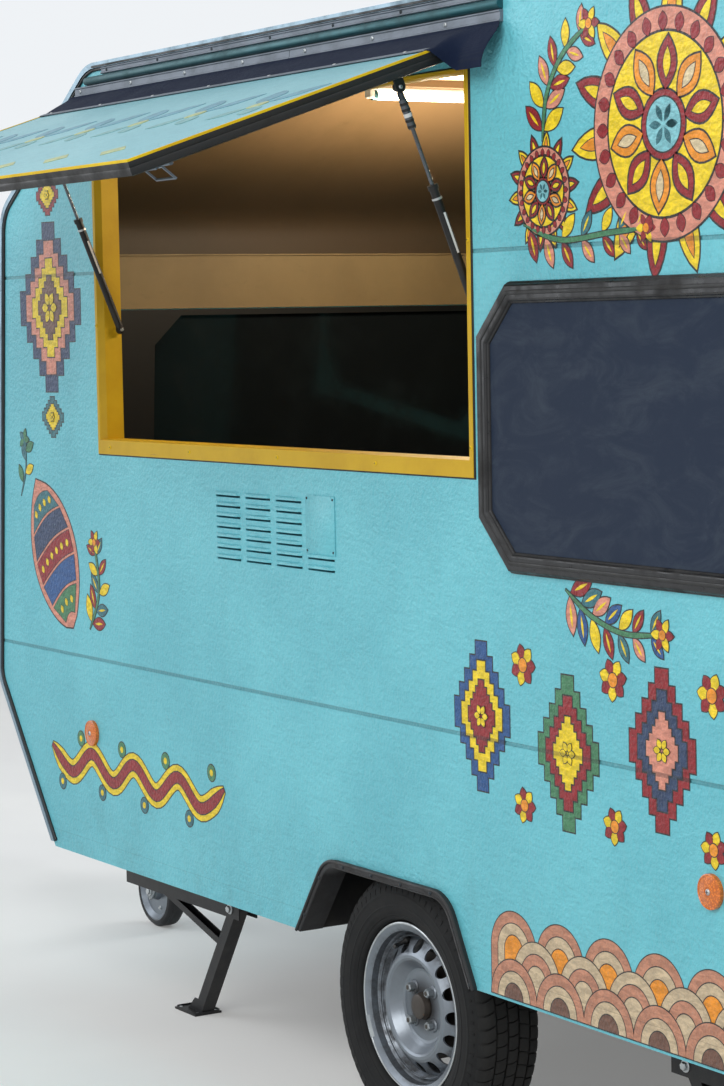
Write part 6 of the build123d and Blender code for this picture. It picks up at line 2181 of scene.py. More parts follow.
@dataclass
class Mural:
    """Painted ornament of the trailer's sides."""

    scale_radius: float = 0.0775
    sill_z: float = 0.408
    wave_z: float = 0.64
    wave_pitch: float = 0.115

    def build(self) -> None:
        """Paint both sides."""
        self.flower_garland()
        self.lozenge_panel()
        self.left_leaves()
        self.small_sprigs()
        self.lozenge_chain()
        self.scaled_border()
        self.door_side()

    def flower_garland(self) -> None:
        """Large flower above the board with two smaller ones on one stem."""
        p = Palette
        art = Ornament(SERVING, 3)
        art.rosette((0.955, 2.085), 0.205)
        art.rosette((0.585, 1.985), 0.082)
        art.garland([(0.52, 1.925), (0.64, 1.892), (0.79, 1.9), (0.9, 1.905)],
            (p.RED, p.YELLOW_ART, p.SALMON, p.TEAL), 0.07, 0.009, 7)
        art.garland([(0.585, 2.08), (0.6, 2.165), (0.65, 2.235), (0.735, 2.285)],
            (p.YELLOW_ART, p.RED, p.SALMON), 0.075, 0.009, 6)
        art.finish("ornament_rosette")

    def lozenge_panel(self) -> None:
        """Tall stepped lozenge beside the hatch, with a small one above and below it."""
        p = Palette
        art = Ornament(SERVING, 5)
        art.lozenge((-1.585, 1.8), 0.175, 0.215, (p.NAVY, p.SALMON, p.YELLOW_ART, p.BROWN))
        for v, colours in ((2.085, (p.RED, p.YELLOW_ART)), (1.52, (p.TEAL, p.YELLOW_ART))):
            art.lozenge((-1.585, v), 0.062, 0.05, colours)
        art.finish("ornament_lozenge_panel")

    def left_leaves(self) -> None:
        """Banded leaf near the front, and a waved line with dots round it."""
        p = Palette
        art = Ornament(SERVING, 9)
        art.feather((-1.5, 0.985), 0.42, 0.25, 118, (p.GREEN, p.BLUE, p.RED, p.NAVY, p.TEAL))
        art.garland([(-1.4, 0.99), (-1.345, 1.09), (-1.365, 1.21)], (p.RED, p.YELLOW_ART, p.TEAL), 0.075,
            0.008, 5)
        pitch, z = self.wave_pitch, self.wave_z
        wave = curve([(-1.64 + pitch * i, z + 0.03 * (-1) ** i) for i in range(9)], 8)
        for half, finish, layer in ((0.03, p.YELLOW_ART, Layer.GROUND), (0.013, p.RED, Layer.FIRST)):
            art.patch(band(wave, -half, half, 0.06), finish, layer, 0.003)
        for i in range(8):
            u = -1.585 + pitch * i
            v = z - 0.062 * (-1) ** i
            if abs(u - Bodywork.reflector_x[0]) < 0.06 and v > 0.66:
                continue
            art.patch(disc((u, v), 0.019, 20), (p.TEAL, p.GREEN)[i % 2], Layer.FIRST, 0.0025)
            art.patch(disc((u, v), 0.008, 14), p.YELLOW_ART, Layer.SECOND, 0.0)
        art.finish("ornament_leaf_and_wave")

    def small_sprigs(self) -> None:
        """Small twigs round the hatch and the board."""
        p = Palette
        art = Ornament(SERVING, 13)
        art.sprig((-1.79, 1.31), 0.15, 70, (p.GREEN, p.YELLOW_ART, p.TEAL))
        art.garland([(0.64, 1.232), (0.72, 1.19), (0.82, 1.165), (0.935, 1.172)],
            (p.SALMON, p.RED, p.BLUE, p.TEAL, p.YELLOW_ART), 0.078, 0.009, 7)
        art.sprig((1.22, 1.105), 0.2, 80, (p.TEAL, p.NAVY, p.GREEN))
        art.finish("ornament_sprigs")

    def lozenge_chain(self) -> None:
        """Row of stepped lozenges below the board, with small flowers between them."""
        p = Palette
        art = Ornament(SERVING, 17)
        rows = ((p.BLUE, p.YELLOW_ART, p.RED), (p.GREEN, p.RED, p.YELLOW_ART), (p.RED, p.NAVY, p.SALMON),
            (p.TEAL, p.YELLOW_ART, p.GREEN))
        for k, colours in enumerate(rows):
            u = 0.35 + 0.29 * k
            art.lozenge((u, 0.96 - 0.04 * (k % 2)), 0.096, 0.15, colours)
            if k < len(rows) - 1:
                for v, size in ((1.075, 0.03), (0.8, 0.026)):
                    middle = (u + 0.145, v)
                    art.petals(middle, size * 0.3, size * 1.35, size * 0.8, 7, (p.RED, p.YELLOW_ART),
                        Layer.FIRST, 10 * k, 0.8, 0.002)
                    art.patch(disc(middle, size * 0.45, 18), p.ORANGE, Layer.SECOND, 0.002)
        art.finish("ornament_lozenge_chain")

    def scaled_border(self) -> None:
        """Border of overlapping scales along the sill, behind the wheel arch."""
        p = Palette
        art = Ornament(SERVING, 21)
        art.scales(0.372, 1.302, self.sill_z, self.scale_radius, ((p.CLAY, p.SAND, p.ORANGE),
            (p.SAND, p.CLAY, p.SAND), (p.CLAY, p.SAND, p.BROWN)))
        art.finish("ornament_scaled_border")

    def door_side(self) -> None:
        """Ornament of the door side, in the same colours."""
        p = Palette
        art = Ornament(DOOR, 41)
        art.lozenge((1.54, 1.08), 0.165, 0.205, (p.NAVY, p.SALMON, p.YELLOW_ART, p.BROWN))
        art.rosette((-1.205, 1.56), 0.165)
        art.feather((0.08, 0.7), 0.46, 0.25, 74, (p.RED, p.BLUE, p.GREEN, p.NAVY, p.TEAL))
        art.garland([(0.95, 0.7), (0.8, 0.86), (0.62, 0.93), (0.42, 0.9)],
            (p.TEAL, p.RED, p.YELLOW_ART, p.BLUE), 0.095, 0.01, 9)
        art.garland([(-1.42, 0.66), (-1.3, 0.8), (-1.26, 0.98), (-1.33, 1.16)],
            (p.GREEN, p.YELLOW_ART, p.RED, p.TEAL), 0.09, 0.01, 8)
        art.sprig((1.62, 1.52), 0.22, 95, (p.TEAL, p.YELLOW_ART, p.NAVY))
        art.finish("ornament_door_side")


@dataclass
class Cabin:
    """Inside: lining in three colours, ceiling, lamps, counter and its edge."""

    half: float = 0.99
    floor_z: float = 0.425
    skirt_z: float = 0.9
    cream_z: float = 1.795
    tan_z: float = 1.94
    hole_inset: float = 0.034
    lamp_places: ClassVar[tuple[Point, ...]] = ((-1.1, -0.06), (-0.54, -0.305))
    lamp_size: Triple = (0.03, 0.6, 0.026)
    lamp_top: float = 2.363
    ceiling_z: float = 2.3605
    side_y: float = 0.9925
    sheet: float = 0.003
    tube_radius: float = 0.013
    holder: Point = (0.03, 0.014)

    def build(self) -> None:
        """Line the cabin and dress what stands in it."""
        dress(Palette.COUNTER, "counter")
        self.end_lining()
        self.ceiling()
        self.side_lining()
        self.counter_edge()
        self.lamps()

    def wall_line(self) -> list[Point]:
        """Inner line of the front wall from the floor to the roof."""
        line = [p for p in body_side(0.0315, 10) if p[0] < -1.3 and p[1] > 0.42]
        return sorted(line, key=lambda p: p[1])

    def at_height(self, line: Sequence[Point], z: float) -> Point:
        """Point of a rising line at a height.

        Args:
            line: The line's points from below.
            z: The height.

        Returns:
            The point.
        """
        for (x0, z0), (x1, z1) in zip(line, line[1:]):
            if z0 <= z <= z1 and z1 > z0:
                t = (z - z0) / (z1 - z0)
                return (x0 + (x1 - x0) * t, z)
        return line[-1] if z > line[-1][1] else (line[0][0], z)

    def band(self, solid: Solid, low: float, high: float, y0: float, y1: float, finish: Finish,
            end: int) -> None:
        """One band of lining on the front or rear wall.

        Args:
            solid: Takes the faces.
            low: Lower edge.
            high: Upper edge.
            y0: One side.
            y1: Other side.
            finish: Its finish.
            end: -1 at the front, 1 at the rear.
        """
        line = self.wall_line()
        steps = max(2, int((high - low) / 0.02))
        points = [self.at_height(line, low + (high - low) * i / steps) for i in range(steps + 1)]
        if end > 0:
            points = [(2 * BODY_MIDDLE - x, z) for x, z in points]
        rows = []
        for x, z in points:
            back = x - end * self.sheet
            rows.append([spot(x, y0, z), spot(x, y1, z), spot(back, y1, z), spot(back, y0, z)])
        solid.rows(rows, finish, True, False, True)

    def end_lining(self) -> None:
        """Front and rear walls: dark below and round the window, cream band, tan above."""
        solid = Solid()
        half = self.half
        windows = Windows()
        for end, face in zip((-1, 1), windows.end_faces()):
            self.band(solid, self.floor_z, self.skirt_z, -half, half, Palette.LINING_DARK, end)
            low, high = ((z - windows.end_z) / face.up.z for z in (self.skirt_z, self.cream_z))
            hole = windows.octagon(0.0, 0.0, windows.end_width, self.hole_inset)
            left = sorted((p for p in hole if p[0] < 0), key=lambda p: p[1])
            for sign in (-1, 1):
                edge = [(-sign * u, v) for u, v in left]
                outline = [(0.0, low), (0.0, edge[0][1]), *edge, (0.0, edge[-1][1]), (0.0, high),
                    (sign * half, high), (sign * half, low)]
                solid.prism(lay(face, outline, -0.0305), face.out * -self.sheet, Palette.LINING_DARK)
            self.band(solid, self.cream_z, self.tan_z, -half, half, Palette.LINING_CREAM, end)
            self.band(solid, self.tan_z + 0.0005, 2.35, -half, half, Palette.LINING_TAN, end)
            trim = self.at_height(self.wall_line(), self.tan_z)
            x = trim[0] if end < 0 else 2 * BODY_MIDDLE - trim[0]
            solid.block(spot(x - end * 0.005, 0, self.tan_z), (0.004, 2 * half, 0.005),
                Palette.LINING_CREAM, None, 0.001)
        solid.piece("end_linings", "body", "plywood_floor")

    def ceiling(self) -> None:
        """Ceiling panels with the roof light's opening left free, and cover strips."""
        solid = Solid()
        z = self.ceiling_z
        for x0, x1, y0, y1 in ((-1.325, 0.205, -0.99, 0.99), (0.635, 0.995, -0.99, 0.99),
                (0.205, 0.635, -0.99, -0.215), (0.205, 0.635, 0.215, 0.99)):
            middle, size = spot((x0 + x1) / 2, (y0 + y1) / 2, z), (x1 - x0, y1 - y0, 0.0026)
            solid.block(middle, size, Palette.LINING_TAN, None, 0.0005)
        for x in (-0.82, 0.66):
            solid.block(spot(x, 0, z - 0.0025), (0.004, 1.96, 0.003), Palette.LINING_DARK, None, 0.0008)
        solid.piece("ceiling_lining", "body", "plywood_floor")

    def side_lining(self) -> None:
        """Lining of the two sides, left open at window, door and hatch."""
        solid = Solid()
        spans = {Side.DOOR: ((-1.6, -1.19, 0.66, 1.8), (-1.19, -0.14, 0.66, 1.245),
            (-0.14, 0.465, 0.66, 1.8), (1.095, 1.27, 0.5, 1.8)), Side.SERVING: ((-1.6, -1.33, 0.66, 1.8),
            (-1.33, 0.35, 0.66, 1.4), (0.35, 0.395, 0.66, 1.8), (0.395, 1.27, 0.66, 1.28))}
        upper = {Side.DOOR: ((-1.6, 0.465), (1.095, 1.27)), Side.SERVING: ((-1.6, -1.33), (0.35, 1.27))}
        for side, boxes in spans.items():
            panels = [(*box, Palette.LINING_DARK) for box in boxes]
            for x0, x1 in upper[side]:
                top = 2.23 if x0 > -1.5 and x1 < 1.2 else 2.16
                panels += [(x0, x1, 1.824, 1.94, Palette.LINING_CREAM),
                    (x0, x1, 1.941, top, Palette.LINING_TAN)]
            for x0, x1, z0, z1, finish in panels:
                middle = spot((x0 + x1) / 2, side.value * self.side_y, (z0 + z1) / 2)
                solid.block(middle, (x1 - x0, self.sheet, z1 - z0), finish, None, 0.0005)
        solid.piece("side_linings", "body", "plywood_floor")

    def counter_edge(self) -> None:
        """Metal edge and upstand of the counter."""
        solid = Solid()
        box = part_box("counter")
        x0, x1 = box[0].x, box[1].x
        y0, y1 = box[0].y, box[1].y
        z = box[1].z
        section = [(0.0, -0.0335), (0.0, 0.0012), (-0.016, 0.0012), (-0.016, 0.0004), (-0.0006, 0.0002),
            (-0.0006, -0.0335)]
        rows = [[Vector((x, y1 + 0.0008 + a, z + b)) for a, b in section] for x in (x0, x1)]
        solid.rows(rows, Palette.EDGE, True, False, True)
        solid.block(Vector(((x0 + x1) / 2, y0 + 0.004, z + 0.012)), (x1 - x0, 0.006, 0.024), Palette.EDGE,
            None, 0.002)
        solid.piece("counter_edging", "body", "counter_board")

    def lamps(self) -> None:
        """Ceiling lamps: tan base, milky holders and the lit tube with its caps."""
        solid = Solid()
        _, long, tall = self.lamp_size
        tube_z = self.lamp_top - 0.058 + self.tube_radius
        for x, y in self.lamp_places:
            solid.block(spot(x, y, self.lamp_top - tall / 2), self.lamp_size, Palette.LINING_TAN, None, 0.004)
            for end in (-1, 1):
                middle = spot(x, y + end * (long - self.holder[1]) / 2, self.lamp_top - tall - 0.0135)
                solid.block(middle, (*self.holder, 0.0285), Palette.MILKY, None, 0.003)
                cap = spot(x, y + end * (long / 2 - self.holder[1] + 0.001), tube_z)
                solid.lathe([(0.0, 0.0), (0.0, self.tube_radius), (0.012, self.tube_radius),
                    (0.014, self.tube_radius - 0.002)], cap, Vector((0, -end, 0)), Palette.RAIL, 28)
            reach = long / 2 - self.holder[1] - 0.01
            radius = self.tube_radius - 0.0008
            solid.lathe([(-reach, 0.0), (-reach, radius), (reach, radius), (reach, 0.0)],
                spot(x, y, tube_z), ASIDE, Palette.LAMP, 36)
        solid.piece("tube_lamps", "body", "lamp_tube", 32.0, ["ceiling_lamps"])


@dataclass
class RoadWheel:
    """Steel road wheel: bolts, valve and a tyre with ribs, blocks and sidewall rings."""

    name: str
    sign: int
    radius: float = 0.293
    rim_middle: float = 0.918
    blocks: int = 62
    break_edge: float = 0.0006
    groove_radius: float = 0.2835
    side_ribs: int = 72
    bolt_circle: float = 0.05

    @property
    def out(self) -> Vector:
        """Direction from the trailer's middle to the wheel's outer side."""
        return Vector((0, self.sign, 0))

    @property
    def middle(self) -> Vector:
        """Middle of the rim."""
        return spot(0, self.sign * self.rim_middle, self.radius)

    def build(self) -> None:
        """Dress the rim and the drum, then build bolts, valve and tyre."""
        dress(Palette.RIM, f"wheel_rim_{self.name}")
        dress(Palette.DRUM, f"brake_drum_{self.name}")
        self.rim_fittings()
        self.tyre()

    def around(self, angle: float, radius: float, out: float) -> Vector:
        """Point at an angle and radius about the axle, out from the rim's middle."""
        return self.middle + Vector((math.cos(angle), 0, math.sin(angle))) * radius + self.out * out

    def rim_fittings(self) -> None:
        """Wheel bolts on their cones, hub cap, polished flange, valve and balance weight."""
        solid = Solid()
        for k in range(4):
            angle = math.radians(45 + 90 * k)
            foot = self.around(angle, self.bolt_circle, 0.03)
            solid.lathe([(0.0, 0.015), (0.0012, 0.0152), (0.0035, 0.0128), (0.0042, 0.0095),
                (0.0042, 0.0)], foot, self.out, Palette.RIM, 28)
            head = foot + self.out * 0.004
            solid.lathe([(0.0, 0.01), (0.012, 0.01), (0.0145, 0.008), (0.0145, 0.0)], head, self.out,
                Palette.ZINC, 6)
            solid.lathe([(0.014, 0.0052), (0.0152, 0.0048), (0.0156, 0.0)], head, self.out, Palette.DRUM,
                16)
        cap = [(0.03, 0.029), (0.033, 0.0296), (0.036, 0.0286), (0.04, 0.0276), (0.0455, 0.0262),
            (0.0475, 0.023), (0.048, 0.012), (0.0482, 0.0)]
        solid.lathe(cap, self.middle, self.out, Palette.DRUM, 40)
        flange = [(0.0665, 0.1782), (0.068, 0.179), (0.0684, 0.1812), (0.0676, 0.183), (0.064, 0.1834),
            (0.0615, 0.1826)]
        solid.lathe(flange, self.middle, self.out, Palette.SCREW, 128, True)
        bead = [(0.04, 0.1498), (0.0412, 0.1508), (0.044, 0.1512), (0.0452, 0.1524), (0.043, 0.1534),
            (0.04, 0.1528)]
        solid.lathe(bead, self.middle, self.out, Palette.RIM, 128, True)
        stem = self.around(math.radians(112), 0.142, 0.04)
        lean = self.out * 0.9 - (self.around(math.radians(112), 1.0, 0.0) - self.middle) * 0.25
        solid.lathe([(-0.012, 0.0068), (0.0, 0.0072), (0.004, 0.005), (0.02, 0.0044), (0.021, 0.0052),
            (0.031, 0.0052), (0.033, 0.0036), (0.033, 0.0)], stem, lean, Palette.SEAL, 18)
        weight = []
        for k in range(9):
            angle = math.radians(196 + 2.0 * k)
            weight.append([self.around(angle, r, o) for r, o in ((0.1715, 0.06), (0.1715, 0.0635),
                (0.1755, 0.0668), (0.179, 0.07), (0.1812, 0.0695), (0.1778, 0.065))])
        solid.rows(weight, Palette.ZINC, True, False, True)
        solid.piece(f"wheel_fittings_{self.name}", f"wheel_{self.name}", "silver_steel", 30.0)

    def crown(self, out: float) -> float:
        """Radius of the tread's surface at a distance from the rim's middle.

        Args:
            out: The distance.

        Returns:
            The radius.
        """
        table = ((0.0, 0.293), (0.043, 0.2912), (0.059, 0.287), (0.071, 0.278), (0.083, 0.256))
        a = abs(out)
        for (x0, r0), (x1, r1) in zip(table, table[1:]):
            if a <= x1:
                return r0 + (r1 - r0) * (a - x0) / (x1 - x0)
        return table[-1][1]

    def tyre(self) -> None:
        """Carcass with its sidewall rings, and five ribs of skewed tread blocks."""
        solid = Solid()
        half = [(0.043, 0.1664), (0.056, 0.1684), (0.0562, 0.1838), (0.06, 0.1866), (0.0668, 0.1884),
            (0.0716, 0.1904), (0.0742, 0.1938), (0.075, 0.1975), (0.0768, 0.199), (0.0782, 0.204),
            (0.0796, 0.2058), (0.0806, 0.212), (0.0813, 0.218), (0.0822, 0.2192), (0.0822, 0.2208),
            (0.0814, 0.2222), (0.0822, 0.23), (0.0826, 0.238), (0.0824, 0.242), (0.083, 0.2432),
            (0.0828, 0.2452), (0.0818, 0.2464), (0.0812, 0.251), (0.08, 0.2565), (0.078, 0.262),
            (0.0756, 0.268), (0.0715, 0.2738), (0.066, 0.279), (0.059, 0.2822), (0.043, 0.285),
            (0.02, 0.2858), (0.0, 0.286)]
        inner = [(0.0, 0.277), (-0.05, 0.274), (-0.069, 0.26), (-0.073, 0.235), (-0.07, 0.21),
            (-0.056, 0.192), (-0.043, 0.176)]
        ring = half[::-1][:-1]
        left = [(-o, r) for o, r in ring[1:]] + [(-0.043, 0.1664)]
        closed = half + left + inner[::-1][:-1] + [(0.0, 0.277)] + [(-o, r) for o, r in inner[1:]]
        solid.lathe(closed, self.middle, self.out, Palette.TYRE, 144, True)
        ribs = ((-0.074, -0.0435, 0.03), (-0.0385, -0.016, 0.018), (-0.011, 0.011, -0.016),
            (0.016, 0.0385, -0.018), (0.0435, 0.074, -0.03))
        step = 2 * math.pi / self.blocks
        for index, (low, high, skew) in enumerate(ribs):
            across = [low + (high - low) * k / 6 for k in range(7)]
            gap = 0.085 if index in (0, 4) else 0.055
            phase = 0.37 * index * step
            for b in range(self.blocks):
                rows = []
                for k in range(4):
                    t = gap + (1 - 2 * gap) * k / 3
                    row = []
                    for n, o in enumerate(across + [high, low]):
                        share = (o - low) / (high - low)
                        bend = skew * (share - 0.5) + 0.35 * skew * math.sin(math.pi * share)
                        ends = self.break_edge if k in (0, 3) else 0.0
                        edge = self.break_edge if o in (low, high) else 0.0
                        radius = self.crown(o) - ends - edge
                        if n >= len(across):
                            radius = min(self.crown(o) - 0.004, self.groove_radius)
                        row.append(self.around(phase + (b + t) * step + bend, radius, o))
                    rows.append(row)
                solid.rows(rows, Palette.TYRE, True, False, True)
        for k in range(self.side_ribs):
            angle = 2 * math.pi * k / self.side_ribs
            for side in (-1, 1):
                rows = []
                for r, lift in ((0.2495, 0.0), (0.25, 0.0008), (0.26, 0.0008), (0.262, 0.0)):
                    base = 0.0812 - (r - 0.2495) * 0.18
                    rows.append([self.around(angle + d, r, side * (base - 0.002 + e))
                        for d, e in ((-0.01, 0.0), (-0.009, 0.0022 + lift), (0.009, 0.0022 + lift),
                        (0.01, 0.0))])
                solid.rows(rows, Palette.TYRE, True, False, True)
        solid.piece(f"road_tyre_{self.name}", f"wheel_{self.name}", "tyre_rubber", 34.0,
            [f"tyre_{self.name}"])


@dataclass
class Chassis:
    """Galvanised frame, axle, drawbar, coupling and jockey wheel."""

    shaft_z: float = 0.4425
    gaiter: Point = (-3.13, -3.022)
    jockey: Triple = (-2.21, -0.395, 0.105)
    jockey_trail: float = 0.05

    def build(self) -> None:
        """Dress the chassis and add bolts, gaiter and small parts."""
        dress(Palette.ZINC, "chassis_rails", "cross_members", "axle_tube", "overrun_device",
            "jockey_clamp", "jockey_fork", "jockey_inner_tube")
        dress(Palette.ENAMEL, "swing_arms", "coupling_head", "handbrake_lever")
        dress(Palette.RIM, "jockey_rim")
        dress(Palette.BLACK_TRIM, "jockey_tyre")
        self.drawbar_bolts()
        self.bellows()
        self.coupling_parts()
        self.jockey_parts()

    def drawbar_bolts(self) -> None:
        """Bolts of the overrun device, the axle brackets and the cross members."""
        solid = Solid()
        for x in (-3.0, -2.86, -2.72, -2.6):
            for sign in (-1, 1):
                solid.screw(spot(x, sign * 0.052, 0.485), UP, Palette.SCREW, 0.01, 0, True)
        for x in (-1.38, -0.7, 0.56, 1.18):
            for sign in (-1, 1):
                for dz in (0.335, 0.375):
                    solid.screw(spot(x + 0.02, sign * 0.58, dz), Vector((0, sign, 0)), Palette.SCREW,
                        0.008, 0, True)
        solid.piece("chassis_bolts", "body", "galvanised")

    def bellows(self) -> None:
        """Rubber gaiter between overrun device and coupling."""
        solid = Solid()
        start, end = self.gaiter
        folds = 8
        section = [(0.0, 0.0255), (0.0, 0.03)]
        length = end - start - 0.004
        for k in range(folds):
            a = length * (k + 0.1) / folds
            section += [(a, 0.031), (a + length * 0.28 / folds, 0.0352),
                (a + length * 0.42 / folds, 0.0358), (a + length * 0.56 / folds, 0.0352),
                (a + length * 0.82 / folds, 0.031)]
        section += [(length, 0.033), (length, 0.0255)]
        solid.lathe(section, spot(start + 0.002, 0, self.shaft_z), AFT, Palette.SEAL, 40)
        for a in (0.004, length - 0.008):
            solid.lathe([(a, 0.0335), (a + 0.0005, 0.0365), (a + 0.0065, 0.0365), (a + 0.007, 0.0335)],
                spot(start + 0.002, 0, self.shaft_z), AFT, Palette.ZINC, 40)
        solid.piece("overrun_gaiter", "body", "black_rubber")

    def coupling_parts(self) -> None:
        """Bolts of the coupling and grip of the hand brake."""
        solid = Solid()
        for x in (-3.16, -3.205):
            for sign in (-1, 1):
                solid.screw(spot(x, sign * 0.0392, self.shaft_z + 0.005), Vector((0, sign, 0)),
                    Palette.SCREW, 0.009, 0, True)
        solid.piece("coupling_bolts", "body", "galvanised")
        grip = Solid()
        low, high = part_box("handbrake_lever")[:2]
        way = Vector((low.x - high.x, 0, low.z - high.z)).normalized()
        top = Vector((high.x - 0.012, (low.y + high.y) / 2, high.z - 0.008))
        section = [(-0.008, 0.0), (-0.006, 0.014), (0.0, 0.0185), (0.004, 0.0195)]
        for k in range(6):
            a = 0.01 + k * 0.018
            section += [(a, 0.0195), (a + 0.004, 0.0178), (a + 0.012, 0.0178), (a + 0.016, 0.0195)]
        section += [(0.124, 0.0195), (0.128, 0.017), (0.128, 0.0)]
        grip.lathe(section, top, way, Palette.SEAL, 28)
        grip.piece("handbrake_grip", "body", "black_rubber")

    def jockey_parts(self) -> None:
        """Hub covers, bolts, tread ribs and nuts of the jockey wheel; collar, grip and bolt above it."""
        x, y, z = self.jockey
        wheel = Solid()
        axle = spot(x - self.jockey_trail, y, z)
        for sign in (-1, 1):
            way = Vector((0, sign, 0))
            wheel.lathe([(0.0285, 0.0), (0.0285, 0.0245), (0.032, 0.0235), (0.033, 0.012), (0.033, 0.0)],
                axle, way, Palette.ZINC, 32)
            for k in range(5):
                angle = 2 * math.pi * k / 5
                foot = axle + Vector((math.cos(angle), 0, math.sin(angle))) * 0.052 + way * 0.015
                wheel.screw(foot, way, Palette.SCREW, 0.0045, 0, True)
        for out in (-0.0165, -0.0055, 0.0055, 0.0165):
            ring = [(out - 0.0036, 0.1035), (out - 0.0028, 0.1046), (out + 0.0028, 0.1046),
                (out + 0.0036, 0.1035)]
            wheel.lathe(ring, axle, ASIDE, Palette.BLACK_TRIM, 64, True)
        wheel.piece("jockey_wheel_fittings", "jockey_roller", "silver_steel")
        fork = Solid()
        for sign in (-1, 1):
            fork.screw(axle + Vector((0, sign * 0.0402, 0)), Vector((0, sign, 0)), Palette.SCREW, 0.009,
                0, True)
        fork.piece("jockey_axle_nuts", "jockey_swivel", "galvanised")
        clamp = Solid()
        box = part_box("jockey_clamp")
        clamp.lathe([(0.0, 0.0245), (0.001, 0.0262), (0.012, 0.0262), (0.014, 0.0245)], spot(x, y, 0.628),
            UP, Palette.BLACK_TRIM, 40)
        clamp.lathe([(0.0, 0.0), (0.0, 0.0105), (0.006, 0.0118), (0.03, 0.0112), (0.06, 0.0118),
            (0.072, 0.0105), (0.074, 0.0)], Vector((box[1].x - 0.02, ORIGIN.y + y, box[1].z - 0.076)), UP,
            Palette.BLACK_TRIM, 24)
        clamp.screw(spot(x, y - 0.036, 0.33), Vector((0, -1, 0)), Palette.SCREW, 0.01, 0, True)
        clamp.piece("jockey_clamp_fittings", "body", "galvanised")


@dataclass
class CornerSteadies:
    """Four folding corner steadies."""

    names: tuple[str, ...] = ("front_left", "rear_left", "front_right", "rear_right")
    hinge_half: float = 0.902
    hinge_z: float = 0.305
    reach: float = 0.577
    half_width: float = 0.8

    def build(self) -> None:
        """Dress the steadies and add pins, spindle threads and foot edges."""
        dress(Palette.ENAMEL, "steady_bases")
        threads = Solid()
        for name in self.names:
            dress(Palette.ENAMEL, f"steady_leg_{name}")
            dress(Palette.ENAMEL, f"steady_brace_{name}")
            end = -1 if name.startswith("front") else 1
            side = -1 if name.endswith("left") else 1
            hinge_x = BODY_MIDDLE + end * self.hinge_half
            for s in (-1, 1):
                threads.screw(spot(hinge_x, side * self.half_width + s * 0.0262, self.hinge_z),
                    Vector((0, s, 0)), Palette.SCREW, 0.009, 0, True)
            tip = hinge_x + end * self.reach
            ridges = [(0.0, 0.0), (0.0, 0.0056)]
            for k in range(60):
                a = 0.002 + k * 0.0031
                ridges += [(a, 0.0056), (a + 0.0015, 0.0066)]
            ridges += [(0.19, 0.0056), (0.19, 0.0)]
            threads.lathe(ridges, spot(tip - end * 0.012, side * self.half_width, self.hinge_z),
                Vector((-end, 0, 0)), Palette.ZINC, 18)
            threads.lathe([(0.0, 0.0), (0.0, 0.0105), (0.012, 0.0105), (0.012, 0.0)],
                spot(tip, side * self.half_width, self.hinge_z), Vector((-end, 0, 0)), Palette.SCREW, 6)
            self.foot_details(name, end, side, hinge_x)
        threads.piece("steady_spindles", "body", "galvanised")

    def foot_details(self, name: str, end: int, side: int, hinge_x: float) -> None:
        """Turned-up rim and rivets of one foot plate.

        Args:
            name: The steady's name.
            end: -1 at the front, 1 at the rear.
            side: -1 on the serving side, 1 on the door side.
            hinge_x: Place of the leg's hinge; not used.
        """
        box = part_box(f"steady_leg_{name}")
        solid = Solid()
        low_x = box[0].x if end < 0 else box[1].x - 0.11
        middle = Vector((low_x + 0.055, ORIGIN.y + side * self.half_width, 0.005))
        plate = Face(middle, AFT, ASIDE)
        path = soft(box_outline(-0.0535, -0.0365, 0.0535, 0.0365), 0.012)
        solid.sweep(lay(plate, path), [(-0.0015, -0.0005), (0.0015, -0.0005), (0.0012, 0.0038),
            (-0.0012, 0.0038)], plate.out, Palette.ENAMEL, True)
        for u in (-0.044, 0.044):
            for v in (-0.026, 0.026):
                solid.lathe([(-0.0003, 0.005), (0.0014, 0.0044), (0.0022, 0.0022), (0.0023, 0.0)],
                    plate.at(u, v), plate.out, Palette.SCREW, 14)
        solid.piece(f"steady_foot_edge_{name}", f"steady_leg_{name}", "black_steel")


